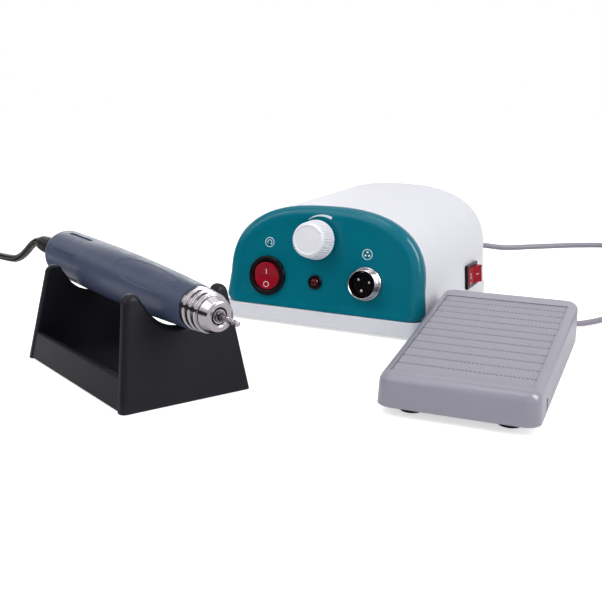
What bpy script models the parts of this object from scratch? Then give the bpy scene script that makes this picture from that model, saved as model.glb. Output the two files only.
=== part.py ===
"""Dental laboratory micromotor: control box, handpiece on its cradle, and foot pedal.

Run it with blender --background --python part.py, or from Blender's text editor.
Lengths are in metres, +Z is up and the floor is z = 0. The control box faces -Y. The origin is
on the floor under the middle of the three units, measured without their cords.
"""
import math

import bmesh
import bpy
from mathutils import Matrix, Vector

# Shared clearances and roundness
GAP = 0.0003
RUN_GAP = 0.0006
OVERRUN = 0.002
FINE_STEPS = 28
ROUND_STEPS = 20
SMALL_STEPS = 14
HIDDEN_STEPS = 12
SHARP_DEGREES = 35

# Where the units stand, from the foot of the control box's front panel
SHIFT_X = 0.000693
SHIFT_Y = -0.000166
CRADLE_X = -0.0435
CRADLE_Y = -0.1158
CRADLE_TURN_DEGREES = -27.7
PEDAL_APART = 0.0073
PEDAL_Y = -0.0400
PEDAL_TURN_DEGREES = 2.96

# Control box: arched front and rear outlines, draft and wall
BOX_DEPTH = 0.147
BASE_HEIGHT = 0.0098
FOOT_GAP = 0.0012
FRONT_HALF_BASE = 0.0607
FRONT_LEAN_IN = 0.0014
FRONT_SHOULDER = 0.0172
FRONT_TOP = 0.0600
REAR_SPREAD = 0.0020
REAR_LEAN_IN = 0.0017
REAR_SHOULDER = 0.0307
REAR_TOP = 0.0732
ARCH_POWER = 2.54
ARCH_STEPS = 26
WALL = 0.0026
REAR_ROUND = 0.0024
PANEL_LEAN_DEGREES = 7.1
PANEL_LEDGE = 0.0012
PANEL_DEPTH = 0.0076
PANEL_ROLL = 0.0060
PANEL_BOTTOM_ROLL = 0.0012
PANEL_CORNER = 0.0045
FIELD_STEP = 0.0004
ROLL_STEPS = 4
TRAY_FLOOR = 0.0024
TRAY_CORNER_X = 0.0060
TRAY_CORNER_Y = 0.0080
TRAY_EDGE = 0.0010
REAR_PLATE = 0.0024
REAR_PLATE_INSET = 0.0030

# Rubber feet under the control box
BOX_FOOT_RADIUS = 0.0055
BOX_FOOT_INSET_X = 0.0130
BOX_FOOT_INSET_Y = 0.0160

# Controls on the front panel: columns and rows from the foot of the panel
COLUMN_MIDDLE_X = -0.0031
COLUMN_LEFT_X = -0.0333
COLUMN_RIGHT_X = 0.0272
KNOB_ROW = 0.0404
SWITCH_ROW = 0.0172
LED_ROW = 0.0163
SOCKET_ROW = 0.0185

# Speed knob and the control that it turns
KNOB_RADIUS = 0.0113
KNOB_TAPER = 0.0006
KNOB_RIB = 0.0005
KNOB_RIBS = 30
KNOB_FRONT = 0.0159
KNOB_BACK = 0.0038
KNOB_FACE_RADIUS = 0.0082
KNOB_FACE_STEP = 0.0006
KNOB_SHAFT_RADIUS = 0.0030
KNOB_SHAFT_DEPTH = 0.0075
POT_RADIUS = 0.0080
POT_DEPTH = 0.0145
POT_BUSH_WALL = 0.0011
POT_NUT_RADIUS = 0.0065
POT_NUT_HEIGHT = 0.0023
POT_BUSH_HEIGHT = 0.0033

# Round rocker that sets the direction
SWITCH_FLANGE_RADIUS = 0.0115
SWITCH_FLANGE_HEIGHT = 0.0023
SWITCH_BARREL_RADIUS = 0.0099
SWITCH_BARREL_DEPTH = 0.0180
SWITCH_MOUTH_RADIUS = 0.0086
SWITCH_MOUTH_DEPTH = 0.0050
ROCKER_RADIUS = 0.0080
ROCKER_CREST = 0.0014
ROCKER_RISE_SHARE = 0.16
ROCKER_BELOW = 0.0025
ROCKER_REST_DEGREES = 8.0

# Warning light
LED_FLANGE_RADIUS = 0.0042
LED_FLANGE_HEIGHT = 0.0016
LED_BARREL_RADIUS = 0.0036
LED_LENS_RADIUS = 0.0026
LED_LENS_HEIGHT = 0.0030
LED_DEPTH = 0.0060

# Three-pin socket for the handpiece's plug
SOCKET_RADIUS = 0.0082
SOCKET_LENGTH = 0.0076
SOCKET_WALL = 0.0012
SOCKET_NUT_RADIUS = 0.0094
SOCKET_NUT_HEIGHT = 0.0022
SOCKET_DEPTH = 0.0120
SOCKET_FLOOR = 0.0016
SOCKET_EDGE = 0.0004
PIN_CIRCLE = 0.0037
PIN_RADIUS = 0.0010
PIN_TOP = 0.0052
PIN_COUNT = 3
PIN_FIRST_DEGREES = 20
PIN_STEPS = 10
KEY_WIDTH = 0.0022
KEY_HEIGHT = 0.0011

# Mains rocker on the right wall
POWER_SHARE = 0.715
POWER_HEIGHT = 0.0198
POWER_HALF_LENGTH = 0.0130
POWER_HALF_HEIGHT = 0.0077
POWER_FLANGE = 0.0020
POWER_RIM = 0.0010
POWER_DEPTH = 0.0140
POWER_MOUTH_RIM = 0.0019
POWER_MOUTH_DEPTH = 0.0062
POWER_CORNER = 0.0008
POWER_ROCKER_RISE = 0.0022
POWER_ROCKER_BELOW = 0.0015
POWER_REST_DEGREES = 10.0

# Fittings on the rear plate, from the middle of the box and the floor
FITTING_ROW = 0.0290
GLAND_X = 0.0420
GLAND_FLANGE_RADIUS = 0.0062
GLAND_FLANGE_HEIGHT = 0.0020
GLAND_ROOT_RADIUS = 0.0046
GLAND_TIP_RADIUS = 0.0028
GLAND_LENGTH = 0.0220
GLAND_DEPTH = 0.0060
GLAND_RINGS = 3
GLAND_GROOVE = 0.0006
FUSE_X = -0.0380
FUSE_CAP_RADIUS = 0.0068
FUSE_CAP_HEIGHT = 0.0085
FUSE_BARREL_RADIUS = 0.0055
FUSE_DEPTH = 0.0220
JACK_X = 0.0020
JACK_NUT_RADIUS = 0.0052
JACK_NUT_HEIGHT = 0.0022
JACK_BARREL_RADIUS = 0.0038
JACK_BORE_RADIUS = 0.0018
JACK_DEPTH = 0.0110

# Transformer and circuit board inside the box
CORE_X = -0.0060
CORE_FROM_REAR = 0.0420
CORE_HALF_X = 0.0260
CORE_HALF_Y = 0.0100
CORE_HEIGHT = 0.0420
WINDING_HALF_X = 0.0165
WINDING_HALF_Y = 0.0185
WINDING_SHARE = 0.17
BOARD_FROM_FRONT = 0.0320
BOARD_FROM_REAR = 0.0750
BOARD_HALF_X = 0.0430
BOARD_THICKNESS = 0.0016
BOARD_POST_RADIUS = 0.0030
BOARD_POST_HEIGHT = 0.0050
BOARD_POST_INSET = 0.0050
RELAY_HALF_X = 0.0080
RELAY_HALF_Y = 0.0060
RELAY_HEIGHT = 0.0120
CAPACITOR_RADIUS = 0.0065
CAPACITOR_HEIGHT = 0.0180
SINK_HALF_X = 0.0120
SINK_HALF_Y = 0.0020
SINK_HEIGHT = 0.0200

# Cradle: a tapered tray with two leaning end walls
CRADLE_HALF_LENGTH = 0.0508
CRADLE_HALF_WIDTH = 0.0315
CRADLE_HEIGHT = 0.0468
CRADLE_LEAN_SHARE = 0.190
CRADLE_SIDE_LEAN_SHARE = 0.150
CRADLE_WALL = 0.0048
CRADLE_EDGE = 0.0024
RAIL_HEIGHT = 0.0136
RAIL_WALL = 0.0030
CRADLE_FLOOR = 0.0026
TRAY_ROUND = 0.0040
HORN_RADIUS = 0.0040
SADDLE_RADIUS = 0.0170
SADDLE_STEPS = 10
HORN_STEPS = 5

# Handpiece: stations along its axis from its rear end, and its pose on the cradle
AXIS_REAR_X = -0.0783
AXIS_REAR_HEIGHT = 0.0456
AXIS_DROP_DEGREES = 1.46
SLEEVE_LENGTH = 0.1357
SLEEVE_RADIUS = 0.0122
SLEEVE_FRONT_RADIUS = 0.0094
SLEEVE_TAPER_START = 0.0470
SLEEVE_TAPER_POWER = 2.0
SLEEVE_TAPER_RINGS = 5
SLEEVE_DOME_LENGTH = 0.0073
SLEEVE_DOME_STEPS = 5
SLEEVE_REAR_HOLE = 0.0052
SLEEVE_REAR_WALL = 0.0024
SLEEVE_BORE = 0.0092
SLOT_COUNT = 6
SLOT_START = 0.0142
SLOT_LENGTH = 0.0249
SLOT_HALF_WIDTH = 0.0009
SLOT_DEPTH = 0.0012
SLOT_FIRST_DEGREES = 188

# Strain relief at the rear of the handpiece
RELIEF_RADIUS = 0.0042
RELIEF_TIP_RADIUS = 0.0028
RELIEF_TIP = 0.0040
RELIEF_LENGTH = 0.0295
RELIEF_COLLAR_RADIUS = 0.0066
RELIEF_COLLAR = 0.0020
RELIEF_STEPS = 4

# Motor inside the sleeve
REAR_BUSH_HOLE = 0.0030
CAN_START = 0.0180
CAN_FROM_FRONT = 0.0247
CAN_WALL = 0.0009
CAN_HUB = 0.0050
BEARING_RADIUS = 0.0050
BEARING_WIDTH = 0.0040
MAGNET_START = 0.0430
MAGNET_FROM_FRONT = 0.0467
MAGNET_WALL = 0.0015
ROTOR_START = 0.0460
ROTOR_FROM_FRONT = 0.0497
ROTOR_RADIUS = 0.0057
SHAFT_RADIUS = 0.0015
SHAFT_REAR = 0.0185
COMMUTATOR_RADIUS = 0.0036
COMMUTATOR_START = 0.0300
COMMUTATOR_LENGTH = 0.0090
BRUSH_LENGTH = 0.0050
BRUSH_HALF_WIDTH = 0.0014

# Steel nose: tube in the sleeve, chuck ring, cone, spindle, collet and bur
NOSE_FLANGE = 0.0028
NOSE_TUBE_RADIUS = 0.0066
NOSE_TUBE_BORE = 0.0054
RING_LENGTH = 0.0112
RING_RADIUS = 0.0091
RING_FRONT_RADIUS = 0.0084
RING_GROOVE = 0.0006
RING_GROOVES = 3
CONE_REAR_RADIUS = 0.0077
CONE_LENGTH = 0.0050
CONE_FRONT_RADIUS = 0.0064
CONE_LIP = 0.0010
NOSE_BORE = 0.0033
NOSE_RECESS_RADIUS = 0.0037
NOSE_RECESS = 0.0005
FRONT_BEARING_FROM_FRONT = 0.0167
FRONT_BEARING_WIDTH = 0.0060
SPINDLE_RADIUS = 0.0029
SPINDLE_FROM_FRONT = 0.0202
SPINDLE_SOCKET = 0.0070
SPINDLE_BORE = 0.0021
SPINDLE_BORE_DEPTH = 0.0200
SPINDLE_INSET = 0.0006
COLLET_WALL = 0.00035
COLLET_HEAD = 0.0009
COLLET_JAWS = 3
JAW_SLOT_HALF = 0.00025
JAW_SLOT_DEPTH = 0.0090
BUR_RADIUS = 0.001175
BUR_DEPTH = 0.0170
BUR_REACH = 0.0124
BUR_EDGE = 0.0003

# Foot pedal: tapered box that tips on a pin near its front
PEDAL_DEPTH = 0.1515
PEDAL_REAR_HALF = 0.0368
PEDAL_FRONT_HALF = 0.0333
PEDAL_REAR_HEIGHT = 0.0254
PEDAL_FRONT_HEIGHT = 0.0174
PEDAL_UNDER = 0.0038
PEDAL_CORNER = 0.0070
PEDAL_ROUND = 0.0042
PEDAL_DRAFT = 0.0004
PEDAL_WALL = 0.0026
PEDAL_ROOF = 0.0034
PEDAL_ROUND_STEPS = 4
PEDAL_CORNER_STEPS = 4
MAT_SIDE = 0.0042
MAT_FRONT = 0.0080
MAT_REAR = 0.0165
MAT_RECESS = 0.0014
MAT_PROUD_SHARE = 0.65
MAT_BANDS = 12
MAT_GROOVE_HALF = 0.0004
MAT_GROOVE_DEPTH = 0.0005
HINGE_FROM_FRONT = 0.0210
HINGE_HEIGHT = 0.0088
HINGE_RADIUS = 0.0009
HINGE_NOTCH_HALF = 0.0012
EAR_HALF = 0.0030
EAR_THICKNESS = 0.0022
PLATE_THICKNESS = 0.0020
PLATE_UNDER = 0.0035
PLATE_CLEAR = 0.0009
PEDAL_FOOT_RADIUS = 0.0050
PEDAL_FOOT_INSET_X = 0.01475
PEDAL_FOOT_INSET_Y = 0.0125
MICRO_HALF_X = 0.0100
MICRO_HALF_Y = 0.0032
MICRO_FROM_REAR = 0.0300
MICRO_CLEAR = 0.0026
SPRING_RADIUS = 0.0045
SPRING_WIRE = 0.0005
SPRING_CURLS = 5
SPRING_CURL_POINTS = 8
SPRING_FROM_REAR = 0.0500
LEAD_EXIT_X = 0.0240
GROMMET_RADIUS = 0.0026
GROMMET_TIP = 0.0022
GROMMET_INSIDE = 0.0080
GROMMET_OUTSIDE = 0.0110
GROMMET_CLEAR = 0.0034
STOP_THICKNESS = 0.0024

# Cords: diameters, coils and the plugs at their ends
MOTOR_CORD_RADIUS = 0.0022
MOTOR_COIL_X = -0.2400
MOTOR_COIL_Y = -0.0590
MOTOR_COIL_MEAN = 0.0260
MOTOR_COIL_LAYER_TURNS = 3.75
MOTOR_COIL_START_DEGREES = 90
MAINS_CORD_RADIUS = 0.0019
MAINS_COIL_X = 0.1745
MAINS_COIL_Y = 0.2380
MAINS_COIL_MEAN = 0.0228
MAINS_COIL_LAYER_TURNS = 3.5
MAINS_COIL_START_DEGREES = 0
PEDAL_CORD_RADIUS = 0.0017
PEDAL_COIL_X = 0.1800
PEDAL_COIL_Y = 0.1290
PEDAL_COIL_MEAN = 0.0204
PEDAL_COIL_LAYER_TURNS = 3.75
PEDAL_COIL_START_DEGREES = 180
COIL_LAYERS = 2
COIL_SPACE = 0.00045
LOOP_POINTS = 24
MOTOR_COIL_TAIL = 0.0200
MAINS_COIL_TAIL = 0.0220
PEDAL_COIL_TAIL = 0.0120
TAIL_RISE_TURN = 0.75
ROUTE_STEP_SHARE = 2.6
PLUG_RADIUS = 0.0078
PLUG_LENGTH = 0.0330
PLUG_TAIL_RADIUS = 0.0042
PLUG_NUT_RADIUS = 0.0092
PLUG_NUT_LENGTH = 0.0150
PLUG_NUT_OVERLAP = 0.0050
PLUG_NECK_RADIUS = 0.0064
PLUG_FLUTE = 0.0005
PLUG_FLUTES = 12
MAINS_PLUG_LENGTH = 0.0340
MAINS_PLUG_HALF_WIDTH = 0.0176
MAINS_PLUG_HALF_HEIGHT = 0.0068
MAINS_PLUG_TAIL_HALF = 0.0042
MAINS_PIN_RADIUS = 0.0020
MAINS_PIN_LENGTH = 0.0190
MAINS_PIN_PITCH = 0.0190
JACK_PLUG_RADIUS = 0.0048
JACK_PLUG_LENGTH = 0.0240
JACK_PLUG_TIP_RADIUS = 0.0017
JACK_PLUG_TIP_LENGTH = 0.0140

# Colours: name, red, green and blue in linear light, roughness, metallic
FINISHES = {
    "white_shell": ((0.76, 0.77, 0.81), 0.42, 0.0),
    "teal_panel": ((0.0, 0.155, 0.215), 0.30, 0.0),
    "black_plastic": ((0.022, 0.021, 0.027), 0.48, 0.0),
    "red_rocker": ((0.42, 0.012, 0.03), 0.28, 0.0),
    "red_lens": ((0.18, 0.006, 0.012), 0.15, 0.0),
    "white_knob": ((0.80, 0.81, 0.84), 0.40, 0.0),
    "polished_steel": ((0.62, 0.62, 0.64), 0.18, 1.0),
    "dark_steel": ((0.20, 0.20, 0.22), 0.35, 1.0),
    "blue_grey_sleeve": ((0.092, 0.108, 0.165), 0.60, 0.0),
    "black_rubber": ((0.018, 0.018, 0.020), 0.70, 0.0),
    "grey_pedal": ((0.40, 0.39, 0.45), 0.45, 0.0),
    "grey_mat": ((0.33, 0.32, 0.38), 0.70, 0.0),
    "grey_lead": ((0.30, 0.28, 0.34), 0.50, 0.0),
    "black_lead": ((0.030, 0.028, 0.032), 0.50, 0.0),
    "iron_core": ((0.16, 0.16, 0.17), 0.50, 1.0),
    "copper": ((0.55, 0.22, 0.10), 0.35, 1.0),
    "board_green": ((0.015, 0.13, 0.05), 0.50, 0.0),
    "carbon": ((0.03, 0.03, 0.03), 0.60, 0.0),
}


# Scene, materials and objects
def clear_scene():
    """Remove every object that the scene holds."""
    for item in list(bpy.data.objects):
        bpy.data.objects.remove(item)


def finish_material(name):
    """The Principled material of one finish, made once."""
    found = bpy.data.materials.get(name)
    if found:
        return found
    colour, roughness, metallic = FINISHES[name]
    material = bpy.data.materials.new(name)
    material.use_nodes = True
    shader = material.node_tree.nodes["Principled BSDF"]
    shader.inputs["Base Color"].default_value = (*colour, 1.0)
    shader.inputs["Roughness"].default_value = roughness
    shader.inputs["Metallic"].default_value = metallic
    material.diffuse_color = (*colour, 1.0)
    return material


def add_frame(name, matrix, parent=None):
    """An empty that carries the pieces of one unit."""
    frame = bpy.data.objects.new(name, None)
    bpy.context.scene.collection.objects.link(frame)
    frame.parent = parent
    frame.matrix_local = matrix
    return frame


def add_piece(name, shape, finish, parent, place=(0, 0, 0), turn=(0, 0, 0)):
    """One named solid from a bmesh, on its unit's frame."""
    mesh = bpy.data.meshes.new(name)
    bmesh.ops.recalc_face_normals(shape, faces=shape.faces)
    shape.to_mesh(mesh)
    shape.free()
    mesh.shade_smooth()
    mesh.set_sharp_from_angle(angle=math.radians(SHARP_DEGREES))
    mesh.materials.append(finish_material(finish))
    piece = bpy.data.objects.new(name, mesh)
    bpy.context.scene.collection.objects.link(piece)
    piece.parent = parent
    piece.location = place
    piece.rotation_euler = turn
    return piece


def add_guide(name, shape, parent, place=(0, 0, 0), turn=(0, 0, 0)):
    """A solid that only cuts or joins others."""
    guide = add_piece(name, shape, "black_plastic", parent, place, turn)
    guide.hide_render = True
    guide.display_type = 'WIRE'
    return guide


def combine(piece, guide, operation):
    """Cut a guide out of a piece, or join it on."""
    modifier = piece.modifiers.new(operation.title() + "_" + guide.name, 'BOOLEAN')
    modifier.operation = operation
    modifier.object = guide
    modifier.solver = 'EXACT'


# Outlines and solids
def circle(radius, steps, height=0.0, first=0.0):
    """Points round a circle in the XY plane."""
    turns = [first + 2 * math.pi * step / steps for step in range(steps)]
    return [Vector((radius * math.cos(a), radius * math.sin(a), height)) for a in turns]


def rounded_rectangle(half_x, half_y, corner, steps, height=0.0):
    """Points round a rectangle whose corners are quarter circles."""
    points = []
    for quarter, (side_x, side_y) in enumerate(((1, 1), (-1, 1), (-1, -1), (1, -1))):
        for step in range(steps + 1):
            angle = math.pi / 2 * (quarter + step / steps)
            points.append(Vector((side_x * (half_x - corner) + corner * math.cos(angle),
                                  side_y * (half_y - corner) + corner * math.sin(angle), height)))
    return points


def bridge(shape, low, high):
    """Faces between two rings, or between a ring and a pole."""
    count = max(len(low), len(high))
    for index in range(count):
        after = (index + 1) % count
        if len(low) == 1:
            shape.faces.new((low[0], high[index], high[after]))
        elif len(high) == 1:
            shape.faces.new((low[index], high[0], low[after]))
        else:
            shape.faces.new((low[index], low[after], high[after], high[index]))


def loft(rings, closed=False):
    """A solid through rings of points: its end rings are filled, or joined to each other."""
    shape = bmesh.new()
    rows = [[shape.verts.new(point) for point in ring] for ring in rings]
    for low, high in zip(rows, rows[1:]):
        bridge(shape, low, high)
    if closed:
        bridge(shape, rows[-1], rows[0])
    else:
        for row in (rows[0], rows[-1]):
            if len(row) > 2:
                shape.faces.new(row)
    return shape


def turned(profile, steps, closed=False):
    """A solid turned round Z from (radius, height) points: radius zero is a pole."""
    rings = []
    for radius, height in profile:
        if radius == 0:
            rings.append([Vector((0, 0, height))])
        else:
            rings.append(circle(radius, steps, height))
    return loft(rings, closed)


def block(half_x, half_y, low, high):
    """A plain box between two heights."""
    corners = [(half_x, half_y), (-half_x, half_y), (-half_x, -half_y), (half_x, -half_y)]
    return loft([[Vector((x, y, low)) for x, y in corners], [Vector((x, y, high)) for x, y in corners]])


def stack(levels, steps):
    """A solid through rounded rectangles: (half x, half y, corner radius, height) for each."""
    return loft([rounded_rectangle(x, y, corner, steps, z) for x, y, corner, z in levels])


def arch(half_base, half_shoulder, shoulder, top, base, steps=ARCH_STEPS):
    """Points (across, up) from the right foot over the crown to the left foot.

    The sides lean in from the foot to the shoulder, and a superellipse runs over the top.
    """
    points = [(half_base, base)]
    for step in range(steps + 1):
        angle = math.pi * step / steps
        cosine = math.cos(angle)
        across = math.copysign(abs(cosine) ** (2 / ARCH_POWER), cosine)
        up = math.sin(angle) ** (2 / ARCH_POWER) if 0 < step < steps else 0
        points.append((half_shoulder * across, shoulder + (top - shoulder) * up))
    points.append((-half_base, base))
    return points


# Frames of the three units
def unit_matrix(x, y, turn_degrees):
    """Place of a unit on the floor."""
    turn = Matrix.Rotation(math.radians(turn_degrees), 4, 'Z')
    return Matrix.Translation((x - SHIFT_X, y - SHIFT_Y, 0)) @ turn


def panel_matrix():
    """Front panel's frame: X across, Y up along the panel, Z out of it, origin at its foot."""
    turn = Matrix.Rotation(math.pi / 2 - math.radians(PANEL_LEAN_DEGREES), 4, 'X')
    return Matrix.Translation((0, PANEL_LEDGE, BASE_HEIGHT + GAP)) @ turn


# Control box casing
def front_arch(inset, depth):
    """The front outline at a depth behind the panel's field, its foot level with the tray."""
    foot = depth * math.tan(math.radians(PANEL_LEAN_DEGREES))
    half = FRONT_HALF_BASE - inset
    outline = arch(half, half - FRONT_LEAN_IN, FRONT_SHOULDER, FRONT_TOP - inset, foot)
    return [Vector((across, up, -depth)) for across, up in outline]


def rear_arch(inset, depth):
    """The rear outline of the shell at a depth behind the front panel."""
    half = FRONT_HALF_BASE + REAR_SPREAD - inset
    outline = arch(half, half - REAR_LEAN_IN, REAR_SHOULDER, REAR_TOP - inset, BASE_HEIGHT + GAP)
    return [Vector((across, depth, up)) for across, up in outline]


def shell_row(share, inset):
    """An arch of the shell between its front, share 0, and its rear, share 1."""
    place = panel_matrix()
    front = [place @ point for point in front_arch(inset, PANEL_DEPTH + GAP)]
    rear = rear_arch(inset, BOX_DEPTH)
    return [first.lerp(last, share) for first, last in zip(front, rear)]


def build_top_shell(box):
    """White arched cover, open at the front, the rear and below."""
    run = BOX_DEPTH - PANEL_DEPTH
    rows = [(0, 0), (1 - REAR_ROUND / run, 0)]
    for step in range(1, ROLL_STEPS):
        angle = math.pi / 2 * step / ROLL_STEPS
        rows.append((1 - REAR_ROUND * (1 - math.sin(angle)) / run, REAR_ROUND * (1 - math.cos(angle))))
    rows.append((1, REAR_ROUND))
    rings = [shell_row(share, inset) + shell_row(share, WALL)[::-1] for share, inset in rows]
    shell = add_piece("top_shell", loft(rings), "white_shell", box)
    half_x, half_y = POWER_HALF_LENGTH - POWER_RIM + GAP, POWER_HALF_HEIGHT - POWER_RIM + GAP
    window = add_guide("power_switch_window", block(half_x, half_y, -WALL - OVERRUN, OVERRUN), box)
    window.matrix_local = power_matrix()
    combine(shell, window, 'DIFFERENCE')
    return shell


def panel_ring(inset, depth, foot):
    """The front panel's closed outline: the arch, and a foot with rounded corners."""
    arc = front_arch(inset, depth)
    corner = PANEL_CORNER
    floor = arc[0].y + foot
    left, right = arc[-1].x, arc[0].x
    points = list(arc[1:-1])
    for step in range(ROLL_STEPS + 1):
        angle = math.pi * (1 + step / ROLL_STEPS / 2)
        points.append(Vector((left + corner + corner * math.cos(angle),
                              floor + corner + corner * math.sin(angle), -depth)))
    for step in range(ROLL_STEPS + 1):
        angle = math.pi * (3 + step / ROLL_STEPS) / 2
        points.append(Vector((right - corner + corner * math.cos(angle),
                              floor + corner + corner * math.sin(angle), -depth)))
    return points


def build_front_panel(panel):
    """Teal cap: a rolled rim round a field that lies a little lower, hollow behind."""
    rings = [panel_ring(PANEL_ROLL + FIELD_STEP, 0, PANEL_BOTTOM_ROLL + FIELD_STEP)]
    for step in range(ROLL_STEPS, -1, -1):
        angle = math.pi / 2 * step / ROLL_STEPS
        inset = PANEL_ROLL * (1 - math.cos(angle))
        depth = PANEL_ROLL * (1 - math.sin(angle)) - FIELD_STEP
        rings.append(panel_ring(inset, depth, PANEL_BOTTOM_ROLL * (1 - math.cos(angle))))
    rings.append(panel_ring(0, PANEL_DEPTH, 0))
    rings.append(panel_ring(WALL, PANEL_DEPTH, WALL))
    rings.append(panel_ring(max(WALL, PANEL_ROLL - WALL / 2), WALL, WALL))
    cap = add_piece("front_panel", loft(rings), "teal_panel", panel)
    holes = (("direction_switch_hole", COLUMN_LEFT_X, SWITCH_ROW, SWITCH_BARREL_RADIUS),
             ("light_hole", COLUMN_MIDDLE_X, LED_ROW, LED_BARREL_RADIUS),
             ("knob_hole", COLUMN_MIDDLE_X, KNOB_ROW, pot_bush_radius()),
             ("socket_hole", COLUMN_RIGHT_X, SOCKET_ROW, socket_barrel_radius()))
    for name, x, y, radius in holes:
        profile = [(radius + GAP, -WALL - OVERRUN), (radius + GAP, OVERRUN)]
        combine(cap, add_guide(name, turned(profile, ROUND_STEPS), panel, (x, y, 0)), 'DIFFERENCE')
    return cap


def tray_ring(inset, height, front_inset):
    """Plan of the base tray: round front corners, sides that follow the shell's feet."""
    front = FRONT_HALF_BASE + FRONT_LEAN_IN / FRONT_SHOULDER * (BASE_HEIGHT - height) - inset
    rear = front + REAR_SPREAD
    radius_x, radius_y = TRAY_CORNER_X - inset / 2, TRAY_CORNER_Y - inset / 2
    points = []
    for step in range(ROLL_STEPS + 1):
        angle = math.pi * (1 + step / ROLL_STEPS / 2)
        points.append(Vector((-front + radius_x + radius_x * math.cos(angle),
                              front_inset + radius_y + radius_y * math.sin(angle), height)))
    for step in range(ROLL_STEPS + 1):
        angle = math.pi * (3 + step / ROLL_STEPS) / 2
        points.append(Vector((front - radius_x + radius_x * math.cos(angle),
                              front_inset + radius_y + radius_y * math.sin(angle), height)))
    points.append(Vector((rear, BOX_DEPTH - inset, height)))
    points.append(Vector((-rear, BOX_DEPTH - inset, height)))
    return points


def board_edges():
    """Front and rear edges of the circuit board, from the foot of the front panel."""
    return BOARD_FROM_FRONT, BOX_DEPTH - BOARD_FROM_REAR


def build_base_tray(box):
    """White tray under the shell, with the strip that shows below the front panel."""
    bottom = FOOT_GAP + GAP
    rings = [tray_ring(TRAY_EDGE, bottom, TRAY_EDGE), tray_ring(0, bottom + TRAY_EDGE, 0),
             tray_ring(0, BASE_HEIGHT, 0), tray_ring(WALL, BASE_HEIGHT, WALL),
             tray_ring(WALL, bottom + TRAY_FLOOR, WALL)]
    tray = add_piece("base_tray", loft(rings), "white_shell", box)
    floor = bottom + TRAY_FLOOR
    front, rear = board_edges()
    front, rear, reach = front + BOARD_POST_INSET, rear - BOARD_POST_INSET, BOARD_HALF_X - BOARD_POST_INSET
    for index, (x, y) in enumerate(((reach, rear), (-reach, rear), (-reach, front), (reach, front))):
        profile = [(BOARD_POST_RADIUS, -TRAY_FLOOR / 2), (BOARD_POST_RADIUS, BOARD_POST_HEIGHT)]
        post = turned(profile, HIDDEN_STEPS)
        combine(tray, add_guide(f"board_post_{index + 1}", post, box, (x, y, floor)), 'UNION')
    return tray


def build_rear_panel(box):
    """Plate that closes the rear of the shell, with holes for its fittings."""
    near = BOX_DEPTH - REAR_PLATE_INSET - REAR_PLATE
    front, rear = shell_row(0, WALL + GAP), shell_row(1, WALL + GAP)
    rings = []
    for depth in (near, BOX_DEPTH - REAR_PLATE_INSET):
        shares = [(depth - start.y) / (end.y - start.y) for start, end in zip(front, rear)]
        rings.append([start.lerp(end, share) for start, end, share in zip(front, rear, shares)])
    plate = add_piece("rear_panel", loft(rings), "white_shell", box)
    fittings = (("gland_hole", GLAND_X, GLAND_ROOT_RADIUS), ("fuse_hole", FUSE_X, FUSE_BARREL_RADIUS),
                ("jack_hole", JACK_X, JACK_BARREL_RADIUS))
    for name, x, radius in fittings:
        profile = [(radius + GAP, -REAR_PLATE - OVERRUN), (radius + GAP, OVERRUN)]
        guide = add_guide(name, turned(profile, SMALL_STEPS), box)
        guide.matrix_local = rear_matrix(x)
        combine(plate, guide, 'DIFFERENCE')
    return plate


def build_box_feet(box):
    """Four rubber feet under the tray."""
    front, rear = BOX_FOOT_INSET_Y, BOX_DEPTH - BOX_FOOT_INSET_Y
    reach = FRONT_HALF_BASE - BOX_FOOT_INSET_X
    places = ((reach, front), (-reach, front), (-reach, rear), (reach, rear))
    for index, (x, y) in enumerate(places):
        profile = [(BOX_FOOT_RADIUS - FOOT_GAP / 2, 0), (BOX_FOOT_RADIUS, FOOT_GAP)]
        add_piece(f"box_foot_{index + 1}", turned(profile, HIDDEN_STEPS), "black_rubber", box, (x, y, 0))


# Controls on the front panel
def pot_bush_radius():
    """Outside of the bush that the knob's shaft turns in."""
    return KNOB_SHAFT_RADIUS + GAP + POT_BUSH_WALL


def socket_barrel_radius():
    """Threaded barrel of the socket behind its nut."""
    return SOCKET_RADIUS - GAP


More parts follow.
